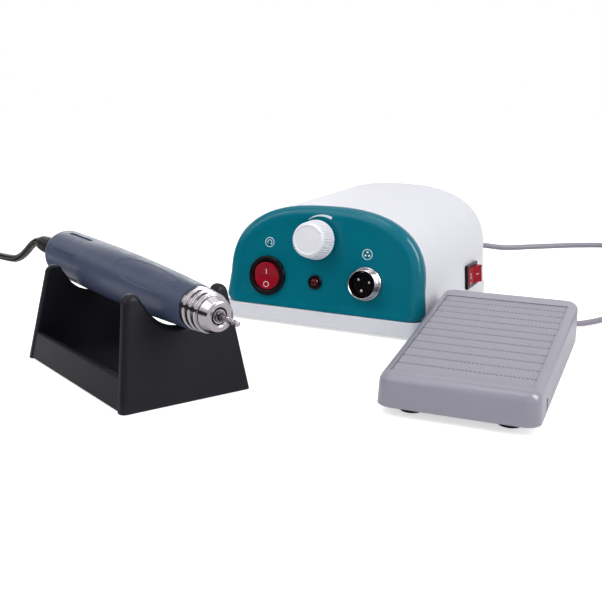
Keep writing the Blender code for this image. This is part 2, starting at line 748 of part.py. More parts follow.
def build_speed_control(panel):
    """Control behind the panel, its bush and nut, and the ribbed knob on it."""
    place = (COLUMN_MIDDLE_X, KNOB_ROW, 0)
    bush, bore = pot_bush_radius(), KNOB_SHAFT_RADIUS + GAP
    profile = [(0, -POT_DEPTH), (POT_RADIUS, -POT_DEPTH), (POT_RADIUS, -WALL - GAP), (bush, -WALL - GAP),
               (bush, GAP), (POT_NUT_RADIUS, GAP), (POT_NUT_RADIUS, GAP + POT_NUT_HEIGHT),
               (bush, GAP + POT_NUT_HEIGHT), (bush, POT_BUSH_HEIGHT), (bore, POT_BUSH_HEIGHT),
               (bore, -KNOB_SHAFT_DEPTH - GAP), (0, -KNOB_SHAFT_DEPTH - GAP)]
    add_piece("speed_control", turned(profile, HIDDEN_STEPS), "dark_steel", panel, place)

    def ribbed(radius, height, depth):
        ring = circle(radius, 2 * KNOB_RIBS, height)
        for point in ring[1::2]:
            point.xy *= (radius - depth) / radius
        return ring

    shoulder = KNOB_FRONT - 2 * KNOB_FACE_STEP
    front = KNOB_RADIUS - KNOB_TAPER
    rings = [ribbed(KNOB_RADIUS, KNOB_BACK, KNOB_RIB), ribbed(front, shoulder - KNOB_FACE_STEP, KNOB_RIB),
             ribbed(front - KNOB_RIB, shoulder, 0),
             ribbed(KNOB_FACE_RADIUS + KNOB_FACE_STEP, KNOB_FRONT, 0),
             ribbed(KNOB_FACE_RADIUS, KNOB_FRONT - KNOB_FACE_STEP, 0)]
    knob = add_piece("speed_knob", loft(rings), "white_knob", panel, place)
    middle = (KNOB_FRONT + KNOB_BACK) / 2
    shaft = turned([(KNOB_SHAFT_RADIUS, -KNOB_SHAFT_DEPTH), (KNOB_SHAFT_RADIUS, middle)], SMALL_STEPS)
    combine(knob, add_guide("knob_shaft", shaft, panel, place), 'UNION')
    return knob


def build_direction_switch(panel):
    """Round bezel with a cup, and the red rocker that tips in it about the level axis."""
    place = (COLUMN_LEFT_X, SWITCH_ROW, 0)
    height, mouth = SWITCH_FLANGE_HEIGHT, SWITCH_MOUTH_RADIUS
    profile = [(0, -SWITCH_BARREL_DEPTH), (SWITCH_BARREL_RADIUS, -SWITCH_BARREL_DEPTH),
               (SWITCH_BARREL_RADIUS, GAP), (SWITCH_FLANGE_RADIUS, GAP),
               (SWITCH_FLANGE_RADIUS, height * 0.6), (SWITCH_FLANGE_RADIUS - height / 4, height * 0.92),
               (mouth + height / 4, height), (mouth, height * 0.8), (mouth, -SWITCH_MOUTH_DEPTH),
               (0, -SWITCH_MOUTH_DEPTH)]
    add_piece("direction_switch_body", turned(profile, ROUND_STEPS), "black_plastic", panel, place)

    shape = bmesh.new()
    low = [shape.verts.new(point) for point in circle(ROCKER_RADIUS, ROUND_STEPS, -ROCKER_BELOW)]
    high = []
    for point in circle(ROCKER_RADIUS, ROUND_STEPS):
        point.z = ROCKER_CREST + ROCKER_RISE_SHARE * abs(point.y)
        high.append(shape.verts.new(point))
    half = ROUND_STEPS // 2
    shape.faces.new(low)
    shape.faces.new(high[:half + 1])
    shape.faces.new(high[half:] + high[:1])
    bridge(shape, low, high)
    turn = (math.radians(ROCKER_REST_DEGREES), 0, 0)
    return add_piece("direction_rocker", shape, "red_rocker", panel, place, turn)


def build_warning_light(panel):
    """Black bezel and the red lens in it."""
    place = (COLUMN_MIDDLE_X, LED_ROW, 0)
    bore = LED_LENS_RADIUS + GAP
    profile = [(bore, -LED_DEPTH), (LED_BARREL_RADIUS, -LED_DEPTH), (LED_BARREL_RADIUS, GAP),
               (LED_FLANGE_RADIUS, GAP), (LED_FLANGE_RADIUS, LED_FLANGE_HEIGHT * 0.6),
               (LED_FLANGE_RADIUS - LED_FLANGE_HEIGHT * 0.4, LED_FLANGE_HEIGHT),
               (bore, LED_FLANGE_HEIGHT * 0.8)]
    add_piece("light_bezel", turned(profile, SMALL_STEPS, closed=True), "black_plastic", panel, place)
    waist = LED_LENS_HEIGHT - LED_LENS_RADIUS * 0.8
    dome = [(LED_LENS_RADIUS * math.cos(a), waist + LED_LENS_RADIUS * 0.8 * math.sin(a))
            for a in (0, math.pi / 6, math.pi / 3)]
    profile = [(0, -LED_DEPTH), (LED_LENS_RADIUS, -LED_DEPTH), *dome, (0, LED_LENS_HEIGHT)]
    add_piece("light_lens", turned(profile, SMALL_STEPS), "red_lens", panel, place)


def build_motor_socket(panel):
    """Chromed socket ring with its nut, and the black insert with three pins."""
    place = (COLUMN_RIGHT_X, SOCKET_ROW, 0)
    bore, barrel, edge = SOCKET_RADIUS - SOCKET_WALL, socket_barrel_radius(), SOCKET_EDGE
    profile = [(bore, -SOCKET_DEPTH), (barrel, -SOCKET_DEPTH), (barrel, GAP), (SOCKET_NUT_RADIUS, GAP),
               (SOCKET_NUT_RADIUS, SOCKET_NUT_HEIGHT - edge), (SOCKET_NUT_RADIUS - edge, SOCKET_NUT_HEIGHT),
               (SOCKET_RADIUS, SOCKET_NUT_HEIGHT), (SOCKET_RADIUS, SOCKET_LENGTH - edge),
               (SOCKET_RADIUS - edge, SOCKET_LENGTH), (bore, SOCKET_LENGTH)]
    shell = add_piece("motor_socket_shell", turned(profile, ROUND_STEPS, closed=True), "polished_steel",
                      panel, place)
    key = block(KEY_WIDTH / 2, KEY_HEIGHT, SOCKET_FLOOR + GAP, SOCKET_LENGTH - edge)
    combine(shell, add_guide("socket_key", key, panel, (place[0], place[1] + bore, 0)), 'UNION')
    profile = [(0, -SOCKET_DEPTH + GAP), (bore - GAP, -SOCKET_DEPTH + GAP), (bore - GAP, SOCKET_FLOOR),
               (0, SOCKET_FLOOR)]
    insert = add_piece("motor_socket_insert", turned(profile, ROUND_STEPS), "black_plastic", panel, place)
    for index in range(PIN_COUNT):
        angle = math.radians(PIN_FIRST_DEGREES + 360 * index / PIN_COUNT)
        spot = (place[0] + PIN_CIRCLE * math.cos(angle), place[1] + PIN_CIRCLE * math.sin(angle), 0)
        pin = turned([(PIN_RADIUS, 0), (PIN_RADIUS, PIN_TOP - PIN_RADIUS / 2), (PIN_RADIUS / 2, PIN_TOP)],
                     PIN_STEPS)
        combine(insert, add_guide(f"socket_pin_{index + 1}", pin, panel, spot), 'UNION')


# Mains rocker on the right wall
def power_matrix():
    """Frame on the right wall: X to the rear, Y up, Z out of the wall."""
    def wall_point(share, height):
        row = shell_row(share, 0)
        foot, shoulder = row[0], row[1]
        return foot.lerp(shoulder, (height - foot.z) / (shoulder.z - foot.z))

    centre = wall_point(POWER_SHARE, POWER_HEIGHT)
    along = (wall_point(1, POWER_HEIGHT) - wall_point(0, POWER_HEIGHT)).normalized()
    up = (wall_point(POWER_SHARE, POWER_HEIGHT + POWER_HALF_HEIGHT) - centre).normalized()
    out = along.cross(up).normalized()
    turn = Matrix((along, out.cross(along), out)).transposed().to_4x4()
    return Matrix.Translation(centre) @ turn


def build_power_switch(box):
    """Black frame clipped in the wall, and the red rocker that tips about the upright axis."""
    frame = add_frame("power_switch_frame", power_matrix(), box)
    barrel_x, barrel_y = POWER_HALF_LENGTH - POWER_RIM, POWER_HALF_HEIGHT - POWER_RIM
    mouth_x, mouth_y = POWER_HALF_LENGTH - POWER_MOUTH_RIM, POWER_HALF_HEIGHT - POWER_MOUTH_RIM
    corner = POWER_CORNER
    levels = [(barrel_x, barrel_y, corner, -POWER_DEPTH), (barrel_x, barrel_y, corner, GAP),
              (POWER_HALF_LENGTH, POWER_HALF_HEIGHT, corner, GAP),
              (POWER_HALF_LENGTH, POWER_HALF_HEIGHT, corner, POWER_FLANGE - corner / 2),
              (POWER_HALF_LENGTH - corner / 2, POWER_HALF_HEIGHT - corner / 2, corner, POWER_FLANGE),
              (mouth_x, mouth_y, corner, POWER_FLANGE), (mouth_x, mouth_y, corner, -POWER_MOUTH_DEPTH)]
    add_piece("power_switch_body", stack(levels, 2), "black_plastic", frame)

    half_x, half_y = mouth_x - RUN_GAP - GAP, mouth_y - GAP
    crest = POWER_FLANGE + POWER_ROCKER_RISE
    outline = [(-half_x, -POWER_ROCKER_BELOW), (half_x, -POWER_ROCKER_BELOW), (half_x, crest - RUN_GAP),
               (half_x - RUN_GAP, crest), (0, POWER_FLANGE), (RUN_GAP - half_x, crest),
               (-half_x, crest - RUN_GAP)]
    rings = [[Vector((x, y, z)) for x, z in outline] for y in (-half_y, half_y)]
    turn = (0, -math.radians(POWER_REST_DEGREES), 0)
    return add_piece("power_rocker", loft(rings), "red_rocker", frame, (0, 0, 0), turn)


# Fittings on the rear plate
def rear_matrix(x):
    """Frame on the rear plate: Z out of it to the rear."""
    turn = Matrix.Rotation(-math.pi / 2, 4, 'X')
    return Matrix.Translation((x, BOX_DEPTH - REAR_PLATE_INSET, FITTING_ROW)) @ turn


def build_rear_fittings(box):
    """Strain relief of the mains lead, fuse holder and the pedal's jack socket."""
    profile = [(0, -GLAND_DEPTH), (GLAND_ROOT_RADIUS, -GLAND_DEPTH), (GLAND_ROOT_RADIUS, GAP),
               (GLAND_FLANGE_RADIUS, GAP), (GLAND_FLANGE_RADIUS, GLAND_FLANGE_HEIGHT)]
    taper = GLAND_LENGTH - GLAND_FLANGE_HEIGHT
    for index in range(GLAND_RINGS):
        for part, cut in ((1 / 6, 0), (2 / 3, 0), (5 / 6, GLAND_GROOVE)):
            share = (index + part) / GLAND_RINGS
            radius = GLAND_ROOT_RADIUS + (GLAND_TIP_RADIUS - GLAND_ROOT_RADIUS) * share
            profile.append((radius - cut, GLAND_FLANGE_HEIGHT + taper * share))
    profile += [(GLAND_TIP_RADIUS, GLAND_LENGTH), (0, GLAND_LENGTH)]
    gland = add_piece("mains_gland", turned(profile, HIDDEN_STEPS), "black_rubber", box)
    gland.matrix_local = rear_matrix(GLAND_X)
    profile = [(0, -FUSE_DEPTH), (FUSE_BARREL_RADIUS, -FUSE_DEPTH), (FUSE_BARREL_RADIUS, GAP),
               (FUSE_CAP_RADIUS, GAP), (FUSE_CAP_RADIUS, FUSE_CAP_HEIGHT * 0.85),
               (FUSE_CAP_RADIUS * 0.85, FUSE_CAP_HEIGHT), (0, FUSE_CAP_HEIGHT)]
    fuse = add_piece("fuse_holder", turned(profile, SMALL_STEPS), "black_plastic", box)
    fuse.matrix_local = rear_matrix(FUSE_X)
    profile = [(JACK_BORE_RADIUS, -JACK_DEPTH), (JACK_BARREL_RADIUS, -JACK_DEPTH),
               (JACK_BARREL_RADIUS, GAP), (JACK_NUT_RADIUS, GAP), (JACK_NUT_RADIUS, JACK_NUT_HEIGHT),
               (JACK_BORE_RADIUS, JACK_NUT_HEIGHT)]
    jack = add_piece("pedal_socket", turned(profile, SMALL_STEPS, closed=True), "polished_steel", box)
    jack.matrix_local = rear_matrix(JACK_X)


# Inside of the control box
def build_box_inside(box):
    """Transformer on the tray's floor, and the circuit board on its posts."""
    floor = FOOT_GAP + GAP + TRAY_FLOOR
    place = (CORE_X, BOX_DEPTH - CORE_FROM_REAR, floor + GAP)
    core = add_piece("transformer", block(CORE_HALF_X, CORE_HALF_Y, 0, CORE_HEIGHT), "iron_core", box, place)
    margin = CORE_HEIGHT * WINDING_SHARE
    winding = stack([(WINDING_HALF_X, WINDING_HALF_Y, margin / 2, margin),
                     (WINDING_HALF_X, WINDING_HALF_Y, margin / 2, CORE_HEIGHT - margin)], 2)
    combine(core, add_guide("transformer_winding", winding, box, place), 'UNION')
    top = floor + BOARD_POST_HEIGHT + GAP
    front, rear = board_edges()
    middle, half = (front + rear) / 2, (rear - front) / 2
    board = add_piece("circuit_board", block(BOARD_HALF_X, half, 0, BOARD_THICKNESS), "board_green", box,
                      (0, middle, top))
    seat = BOARD_THICKNESS / 2
    relay = block(RELAY_HALF_X, RELAY_HALF_Y, seat, BOARD_THICKNESS + RELAY_HEIGHT)
    sink = block(SINK_HALF_X, SINK_HALF_Y, seat, BOARD_THICKNESS + SINK_HEIGHT)
    profile = [(CAPACITOR_RADIUS, seat), (CAPACITOR_RADIUS, BOARD_THICKNESS + CAPACITOR_HEIGHT)]
    spots = (("relay", relay, BOARD_HALF_X / 2, 0), ("heat_sink", sink, -BOARD_HALF_X / 2, half / 2),
             ("capacitor", turned(profile, HIDDEN_STEPS), 0, half / 4))
    for name, shape, x, y in spots:
        combine(board, add_guide(name, shape, box, (x, middle + y, top)), 'UNION')


# Handpiece stations and the cradle that carries it
def sleeve_radius(station):
    """Outside of the sleeve: straight, then drawn in by a power law up to its front end."""
    run = (station - SLEEVE_TAPER_START) / (SLEEVE_LENGTH - SLEEVE_TAPER_START)
    drop = (SLEEVE_RADIUS - SLEEVE_FRONT_RADIUS) * min(max(run, 0), 1) ** SLEEVE_TAPER_POWER
    return SLEEVE_RADIUS - drop


def axis_height(x):
    """Height of the handpiece's axis over a place along the cradle."""
    return AXIS_REAR_HEIGHT - (x - AXIS_REAR_X) * math.tan(math.radians(AXIS_DROP_DEGREES))


def saddle_floor(side):
    """Lowest point of the saddle in the wall at one end, side 1 in front and -1 behind."""
    x = side * (CRADLE_HALF_LENGTH - CRADLE_HEIGHT * CRADLE_LEAN_SHARE)
    station = (x - AXIS_REAR_X) / math.cos(math.radians(AXIS_DROP_DEGREES))
    near = sleeve_radius(station - CRADLE_WALL)
    return axis_height(x + CRADLE_WALL) - near - GAP


def cradle_wall_outline(side, inset):
    """Closed outline (across, up) of an end wall: leaning sides, two horns and a saddle."""
    lean = CRADLE_SIDE_LEAN_SHARE
    centre_z = CRADLE_HEIGHT - HORN_RADIUS
    centre_y = CRADLE_HALF_WIDTH - lean * centre_z - HORN_RADIUS
    floor = saddle_floor(side)
    saddle_z = floor + SADDLE_RADIUS
    radius = HORN_RADIUS - inset
    horn_in = centre_y - radius
    reach = SADDLE_RADIUS + inset
    meet = math.asin(min(1.0, horn_in / reach))
    right = [(CRADLE_HALF_WIDTH - inset, 0)]
    for step in range(HORN_STEPS + 1):
        angle = math.pi * step / HORN_STEPS
        right.append((centre_y + radius * math.cos(angle), centre_z + radius * math.sin(angle)))
    saddle = []
    for step in range(SADDLE_STEPS + 1):
        angle = meet * (1 - 2 * step / SADDLE_STEPS)
        saddle.append((reach * math.sin(angle), saddle_z - reach * math.cos(angle)))
    left = [(-across, up) for across, up in reversed(right)]
    return right + saddle[1:-1] + left if saddle[0][1] > centre_z else right + saddle + left


def build_cradle(stand):
    """Black cradle: a low tray with rails, and two leaning end walls with saddles."""
    def tray_level(inset, height):
        return (CRADLE_HALF_LENGTH - CRADLE_LEAN_SHARE * height - inset,
                CRADLE_HALF_WIDTH - CRADLE_SIDE_LEAN_SHARE * height - inset,
                max(TRAY_ROUND - inset, TRAY_ROUND / 4), height)

    levels = [tray_level(GAP, GAP), tray_level(GAP, RAIL_HEIGHT), tray_level(RAIL_WALL, RAIL_HEIGHT),
              tray_level(RAIL_WALL, CRADLE_FLOOR)]
    cradle = add_piece("cradle", stack(levels, 4), "black_plastic", stand)
    for side, name in ((1, "front_wall"), (-1, "rear_wall")):
        rings = []
        soft = CRADLE_EDGE
        for inset, back in ((soft, 0), (soft * 0.3, soft * 0.3), (0, soft), (0, CRADLE_WALL - soft / 2),
                            (soft / 2, CRADLE_WALL)):
            ring = []
            for across, up in cradle_wall_outline(side, inset):
                x = CRADLE_HALF_LENGTH - CRADLE_LEAN_SHARE * up - back
                ring.append(Vector((side * x, across, up)))
            rings.append(ring)
        combine(cradle, add_guide(name, loft(rings), stand), 'UNION')
    return cradle


def handpiece_matrix():
    """Frame of the handpiece: Z runs along its axis from the rear end to the nose."""
    lie = Matrix.Rotation(math.pi / 2 + math.radians(AXIS_DROP_DEGREES), 4, 'Y')
    return Matrix.Translation((AXIS_REAR_X, 0, AXIS_REAR_HEIGHT)) @ lie


# Handpiece
def can_end():
    """Station where the motor can ends."""
    return SLEEVE_LENGTH - CAN_FROM_FRONT


def build_sleeve(tool):
    """Blue-grey sleeve: domed rear with a hole, slots, long taper, stepped bore."""
    outer = []
    rim = SLEEVE_REAR_HOLE + RUN_GAP
    for step in range(SLEEVE_DOME_STEPS + 1):
        angle = math.pi / 2 * step / SLEEVE_DOME_STEPS
        radius = rim + (SLEEVE_RADIUS - rim) * math.sin(angle)
        outer.append((radius, SLEEVE_DOME_LENGTH * (1 - math.cos(angle))))
    outer.append((SLEEVE_RADIUS, SLEEVE_TAPER_START))
    for step in range(1, SLEEVE_TAPER_RINGS + 1):
        station = SLEEVE_TAPER_START + (SLEEVE_LENGTH - SLEEVE_TAPER_START) * step / SLEEVE_TAPER_RINGS
        outer.append((sleeve_radius(station), station))
    mouth, step = NOSE_TUBE_RADIUS + GAP, nose_flange_end() + GAP
    inner = [(mouth, SLEEVE_LENGTH), (mouth, step), (SLEEVE_BORE, step), (SLEEVE_BORE, SLEEVE_DOME_LENGTH),
             (SLEEVE_BORE - SLEEVE_REAR_WALL, SLEEVE_REAR_WALL), (SLEEVE_REAR_HOLE, SLEEVE_REAR_WALL),
             (SLEEVE_REAR_HOLE, 0)]
    shape = turned(outer + inner, FINE_STEPS, closed=True)
    sleeve = add_piece("handpiece_sleeve", shape, "blue_grey_sleeve", tool)
    for index in range(SLOT_COUNT):
        angle = math.radians(SLOT_FIRST_DEGREES) + 2 * math.pi * index / SLOT_COUNT
        deep = SLEEVE_RADIUS - SLOT_DEPTH
        shape = block((SLOT_DEPTH + OVERRUN) / 2, SLOT_HALF_WIDTH, SLOT_START, SLOT_START + SLOT_LENGTH)
        reach = deep + (SLOT_DEPTH + OVERRUN) / 2
        place = (reach * math.cos(angle), reach * math.sin(angle), 0)
        slot = add_guide(f"sleeve_slot_{index + 1}", shape, tool, place, (0, 0, angle))
        combine(sleeve, slot, 'DIFFERENCE')
    return sleeve


def build_relief(tool):
    """Black boot with a rounded end for the cord, held by a collar inside the sleeve."""
    stem = SLEEVE_REAR_HOLE - GAP
    start = SLEEVE_REAR_WALL + GAP
    profile = [(0, start + RELIEF_COLLAR), (RELIEF_COLLAR_RADIUS, start + RELIEF_COLLAR),
               (RELIEF_COLLAR_RADIUS, start), (stem, start), (stem, 0)]
    for step in range(RELIEF_STEPS + 1):
        angle = math.pi / 2 * step / RELIEF_STEPS
        round_in = RELIEF_TIP_RADIUS + (RELIEF_RADIUS - RELIEF_TIP_RADIUS) * math.cos(angle)
        profile.append((round_in, -RELIEF_LENGTH + RELIEF_TIP * (1 - math.sin(angle))))
    profile.append((0, -RELIEF_LENGTH))
    add_piece("cord_relief", turned(profile, SMALL_STEPS), "black_rubber", tool)
    start += RELIEF_COLLAR + GAP
    outer = SLEEVE_BORE - GAP
    bush = [(REAR_BUSH_HOLE, start), (outer - SLEEVE_REAR_WALL, start), (outer, SLEEVE_DOME_LENGTH),
            (outer, CAN_START - GAP), (REAR_BUSH_HOLE, CAN_START - GAP)]
    add_piece("rear_bush", turned(bush, HIDDEN_STEPS, closed=True), "black_plastic", tool)


def build_motor(tool):
    """Motor can, magnet, brushes and bearings that stand still inside the sleeve."""
    outer, end = SLEEVE_BORE - GAP, can_end()
    inner, hub = outer - CAN_WALL, BEARING_RADIUS + GAP
    can = [(outer, CAN_START), (outer, end), (inner, end), (inner, CAN_START + CAN_HUB),
           (hub, CAN_START + CAN_HUB), (hub, CAN_START)]
    add_piece("motor_can", turned(can, SMALL_STEPS, closed=True), "polished_steel", tool)
    skin, pole, end = inner - GAP, inner - GAP - MAGNET_WALL, SLEEVE_LENGTH - MAGNET_FROM_FRONT
    magnet = [(skin, MAGNET_START), (skin, end), (pole, end), (pole, MAGNET_START)]
    add_piece("magnet_ring", turned(magnet, SMALL_STEPS, closed=True), "carbon", tool)
    shaft = SHAFT_RADIUS + GAP
    middle = CAN_START + CAN_HUB / 2
    bearing = [(BEARING_RADIUS, middle - BEARING_WIDTH / 2), (BEARING_RADIUS, middle + BEARING_WIDTH / 2),
               (shaft, middle + BEARING_WIDTH / 2), (shaft, middle - BEARING_WIDTH / 2)]
    add_piece("rear_bearing", turned(bearing, HIDDEN_STEPS, closed=True), "polished_steel", tool)
    race, start = NOSE_TUBE_BORE - GAP, SLEEVE_LENGTH - FRONT_BEARING_FROM_FRONT
    bore, end = SPINDLE_RADIUS + GAP, start + FRONT_BEARING_WIDTH
    bearing = [(race, start), (race, end), (bore, end), (bore, start)]
    add_piece("front_bearing", turned(bearing, HIDDEN_STEPS, closed=True), "polished_steel", tool)
    low, high = COMMUTATOR_RADIUS + GAP, inner - GAP
    station = COMMUTATOR_START + COMMUTATOR_LENGTH / 2
    for name, side in (("brush_upper", -1), ("brush_lower", 1)):
        shape = block((high - low) / 2, BRUSH_HALF_WIDTH, -BRUSH_LENGTH / 2, BRUSH_LENGTH / 2)
        add_piece(name, shape, "carbon", tool, (side * (high + low) / 2, 0, station))


def build_rotor(tool):
    """Armature with its commutator and shaft, spindle, collet and bur shank, which spin."""
    rotor_end, brush_end = SLEEVE_LENGTH - ROTOR_FROM_FRONT, COMMUTATOR_START + COMMUTATOR_LENGTH
    start = SLEEVE_LENGTH - SPINDLE_FROM_FRONT
    seat = start + SPINDLE_SOCKET
    tip = seat - GAP
    profile = [(0, SHAFT_REAR), (SHAFT_RADIUS, SHAFT_REAR), (SHAFT_RADIUS, COMMUTATOR_START),
               (COMMUTATOR_RADIUS, COMMUTATOR_START), (COMMUTATOR_RADIUS, brush_end),
               (SHAFT_RADIUS, brush_end), (SHAFT_RADIUS, ROTOR_START), (ROTOR_RADIUS, ROTOR_START),
               (ROTOR_RADIUS, rotor_end), (SHAFT_RADIUS, rotor_end), (SHAFT_RADIUS, tip), (0, tip)]
    add_piece("armature", turned(profile, HIDDEN_STEPS), "copper", tool)
    face = nose_face()
    front, socket = face - SPINDLE_INSET, SHAFT_RADIUS + GAP
    profile = [(0, seat), (socket, seat), (socket, start), (SPINDLE_RADIUS, start),
               (SPINDLE_RADIUS, front), (SPINDLE_BORE, front), (SPINDLE_BORE, front - SPINDLE_BORE_DEPTH),
               (0, front - SPINDLE_BORE_DEPTH)]
    add_piece("spindle", turned(profile, SMALL_STEPS), "dark_steel", tool)
    outer, bore = SPINDLE_BORE - GAP, BUR_RADIUS + GAP
    rear = front - SPINDLE_BORE_DEPTH + GAP
    profile = [(bore, rear), (outer, rear), (outer, front + GAP), (SPINDLE_BORE + COLLET_WALL, front + GAP),
               (SPINDLE_BORE, front + COLLET_HEAD), (bore, front + COLLET_HEAD)]
    collet = add_piece("collet", turned(profile, SMALL_STEPS, closed=True), "dark_steel", tool)
    for index in range(COLLET_JAWS):
        angle = 2 * math.pi * index / COLLET_JAWS
        slot = block(SPINDLE_BORE / 2 + OVERRUN / 2, JAW_SLOT_HALF, front - JAW_SLOT_DEPTH, front + OVERRUN)
        reach = (SPINDLE_BORE + OVERRUN) / 2
        place = (reach * math.cos(angle), reach * math.sin(angle), 0)
        cut = add_guide(f"jaw_slot_{index + 1}", slot, tool, place, (0, 0, angle))
        combine(collet, cut, 'DIFFERENCE')
    reach = face + BUR_REACH
    profile = [(0, face - BUR_DEPTH), (BUR_RADIUS, face - BUR_DEPTH), (BUR_RADIUS, reach - BUR_EDGE),
               (BUR_RADIUS - BUR_EDGE, reach), (0, reach)]
    add_piece("bur_shank", turned(profile, SMALL_STEPS), "polished_steel", tool)


def nose_flange_end():
    """Station where the nose's flange ends inside the sleeve."""
    return can_end() + GAP + NOSE_FLANGE


def nose_face():
    """Station of the nose's front face."""
    return SLEEVE_LENGTH + GAP + RING_LENGTH + GAP + CONE_LENGTH


def build_nose(tool):
    """Steel nose that carries the bearing, and the grooved ring that opens the chuck."""
    flange, seat = SLEEVE_BORE - GAP, can_end() + GAP
    cone = SLEEVE_LENGTH + GAP + RING_LENGTH + GAP
    face = nose_face()
    profile = [(NOSE_TUBE_BORE, seat), (flange, seat), (flange, nose_flange_end()),
               (NOSE_TUBE_RADIUS, nose_flange_end()), (NOSE_TUBE_RADIUS, cone),
               (CONE_REAR_RADIUS - RING_GROOVE, cone), (CONE_REAR_RADIUS, cone + RING_GROOVE),
               (CONE_FRONT_RADIUS, face - CONE_LIP),
               (CONE_FRONT_RADIUS - CONE_LIP / 3, face - CONE_LIP / 3),
               (CONE_FRONT_RADIUS - CONE_LIP, face), (NOSE_RECESS_RADIUS, face),
               (NOSE_BORE, face - NOSE_RECESS), (NOSE_BORE, cone + CONE_LIP),
               (NOSE_TUBE_BORE, cone - CONE_LIP)]
    add_piece("nose_cone", turned(profile, ROUND_STEPS, closed=True), "polished_steel", tool)
    start, end = SLEEVE_LENGTH + GAP, cone - GAP
    outer = []
    band = (end - start) / RING_GROOVES
    for index in range(RING_GROOVES):
        low, high = start + band * index, start + band * (index + 1)
        crest = RING_RADIUS + (RING_FRONT_RADIUS - RING_RADIUS) * index / (RING_GROOVES - 1)
        outer += [(crest, low), (crest, high - band / 3), (crest - RING_GROOVE, high - band / 4)]
        outer.append((crest - RING_GROOVE, high - band / 8 if index < RING_GROOVES - 1 else high))
    bore = NOSE_TUBE_RADIUS + GAP
    profile = outer + [(bore, end), (bore, start)]
    add_piece("chuck_ring", turned(profile, ROUND_STEPS, closed=True), "polished_steel", tool)


# Foot pedal
def pedal_half(y):
    """Half width of the pedal at a place along it."""
    share = (y + PEDAL_DEPTH / 2) / PEDAL_DEPTH
    return PEDAL_FRONT_HALF + (PEDAL_REAR_HALF - PEDAL_FRONT_HALF) * share


def pedal_top(y):
    """Height of the pedal's sloping top at a place along it."""
    share = (y + PEDAL_DEPTH / 2) / PEDAL_DEPTH
    return PEDAL_FRONT_HEIGHT + (PEDAL_REAR_HEIGHT - PEDAL_FRONT_HEIGHT) * share


def lead_height():
    """Height at which the pedal's lead leaves, over the plate."""
    return PLATE_UNDER + PLATE_THICKNESS + GAP + GROMMET_RADIUS


def pedal_ring(inset, drop=None, height=None, corner=PEDAL_CORNER):
    """Plan outline of the pedal, a drop below its top or at a height."""
    points = []
    half_y = PEDAL_DEPTH / 2 - inset
    radius = max(corner - inset, corner / 4)
    for quarter, (side_x, side_y) in enumerate(((1, 1), (-1, 1), (-1, -1), (1, -1))):
        for step in range(PEDAL_CORNER_STEPS + 1):
            angle = math.pi / 2 * (quarter + step / PEDAL_CORNER_STEPS)
            y = side_y * (half_y - radius) + radius * math.sin(angle)
            half_x = pedal_half(side_y * half_y) - inset
            x = side_x * (half_x - radius) + radius * math.cos(angle)
            z = pedal_top(y) - drop if height is None else height
            points.append(Vector((x, y, z)))
    return points


def build_pedal_cover(frame):
    """Grey cover: soft edges, recessed top for the mat, hollow below, hinge notches."""
    rings = []
    for step in range(PEDAL_ROUND_STEPS, -1, -1):
        angle = math.pi / 2 * step / PEDAL_ROUND_STEPS
        inset = PEDAL_DRAFT + PEDAL_ROUND * (1 - math.cos(angle))
        rings.append(pedal_ring(inset, PEDAL_ROUND * (1 - math.sin(angle))))
    rings += [pedal_ring(0, height=PEDAL_UNDER), pedal_ring(PEDAL_WALL, height=PEDAL_UNDER),
              pedal_ring(PEDAL_WALL + PEDAL_DRAFT, PEDAL_ROOF + PEDAL_ROUND / 2),
              pedal_ring(PEDAL_WALL + PEDAL_ROUND / 2 + PEDAL_DRAFT, PEDAL_ROOF)]
    cover = add_piece("pedal_cover", loft(rings), "grey_pedal", frame)
    recess = loft([mat_ring(-GAP, MAT_RECESS), mat_ring(-GAP, -OVERRUN)])
    combine(cover, add_guide("mat_recess", recess, frame), 'DIFFERENCE')
    hinge_y = HINGE_FROM_FRONT - PEDAL_DEPTH / 2
    for side in (1, -1):
        x = side * (pedal_half(hinge_y) - PEDAL_WALL / 2)
        notch = block(PEDAL_WALL / 2 + OVERRUN, HINGE_NOTCH_HALF, 0, HINGE_HEIGHT + HINGE_RADIUS + GAP)
        name = "hinge_notch_right" if side > 0 else "hinge_notch_left"
        combine(cover, add_guide(name, notch, frame, (x, hinge_y, 0)), 'DIFFERENCE')
    rear = PEDAL_DEPTH / 2 - PEDAL_WALL / 2
    clear = lead_height() + GROMMET_CLEAR + GROMMET_RADIUS
    notch = block(GROMMET_RADIUS + RUN_GAP, PEDAL_WALL / 2 + OVERRUN, 0, clear)
    combine(cover, add_guide("lead_notch", notch, frame, (LEAD_EXIT_X, rear, 0)), 'DIFFERENCE')
    cover.location = (0, hinge_y, HINGE_HEIGHT)
    cover.data.transform(Matrix.Translation((0, -hinge_y, -HINGE_HEIGHT)))
    return cover


def mat_ring(inset, drop):
    """Outline of the mat, a drop below the pedal's top."""
    front, rear = MAT_FRONT + inset - PEDAL_DEPTH / 2, PEDAL_DEPTH / 2 - MAT_REAR - inset
    corners = ((1, rear), (-1, rear), (-1, front), (1, front))
    points = []
    for side, y in corners:
        x = side * (pedal_half(y) - MAT_SIDE - inset)
        points.append(Vector((x, y, pedal_top(y) - drop)))
    return points


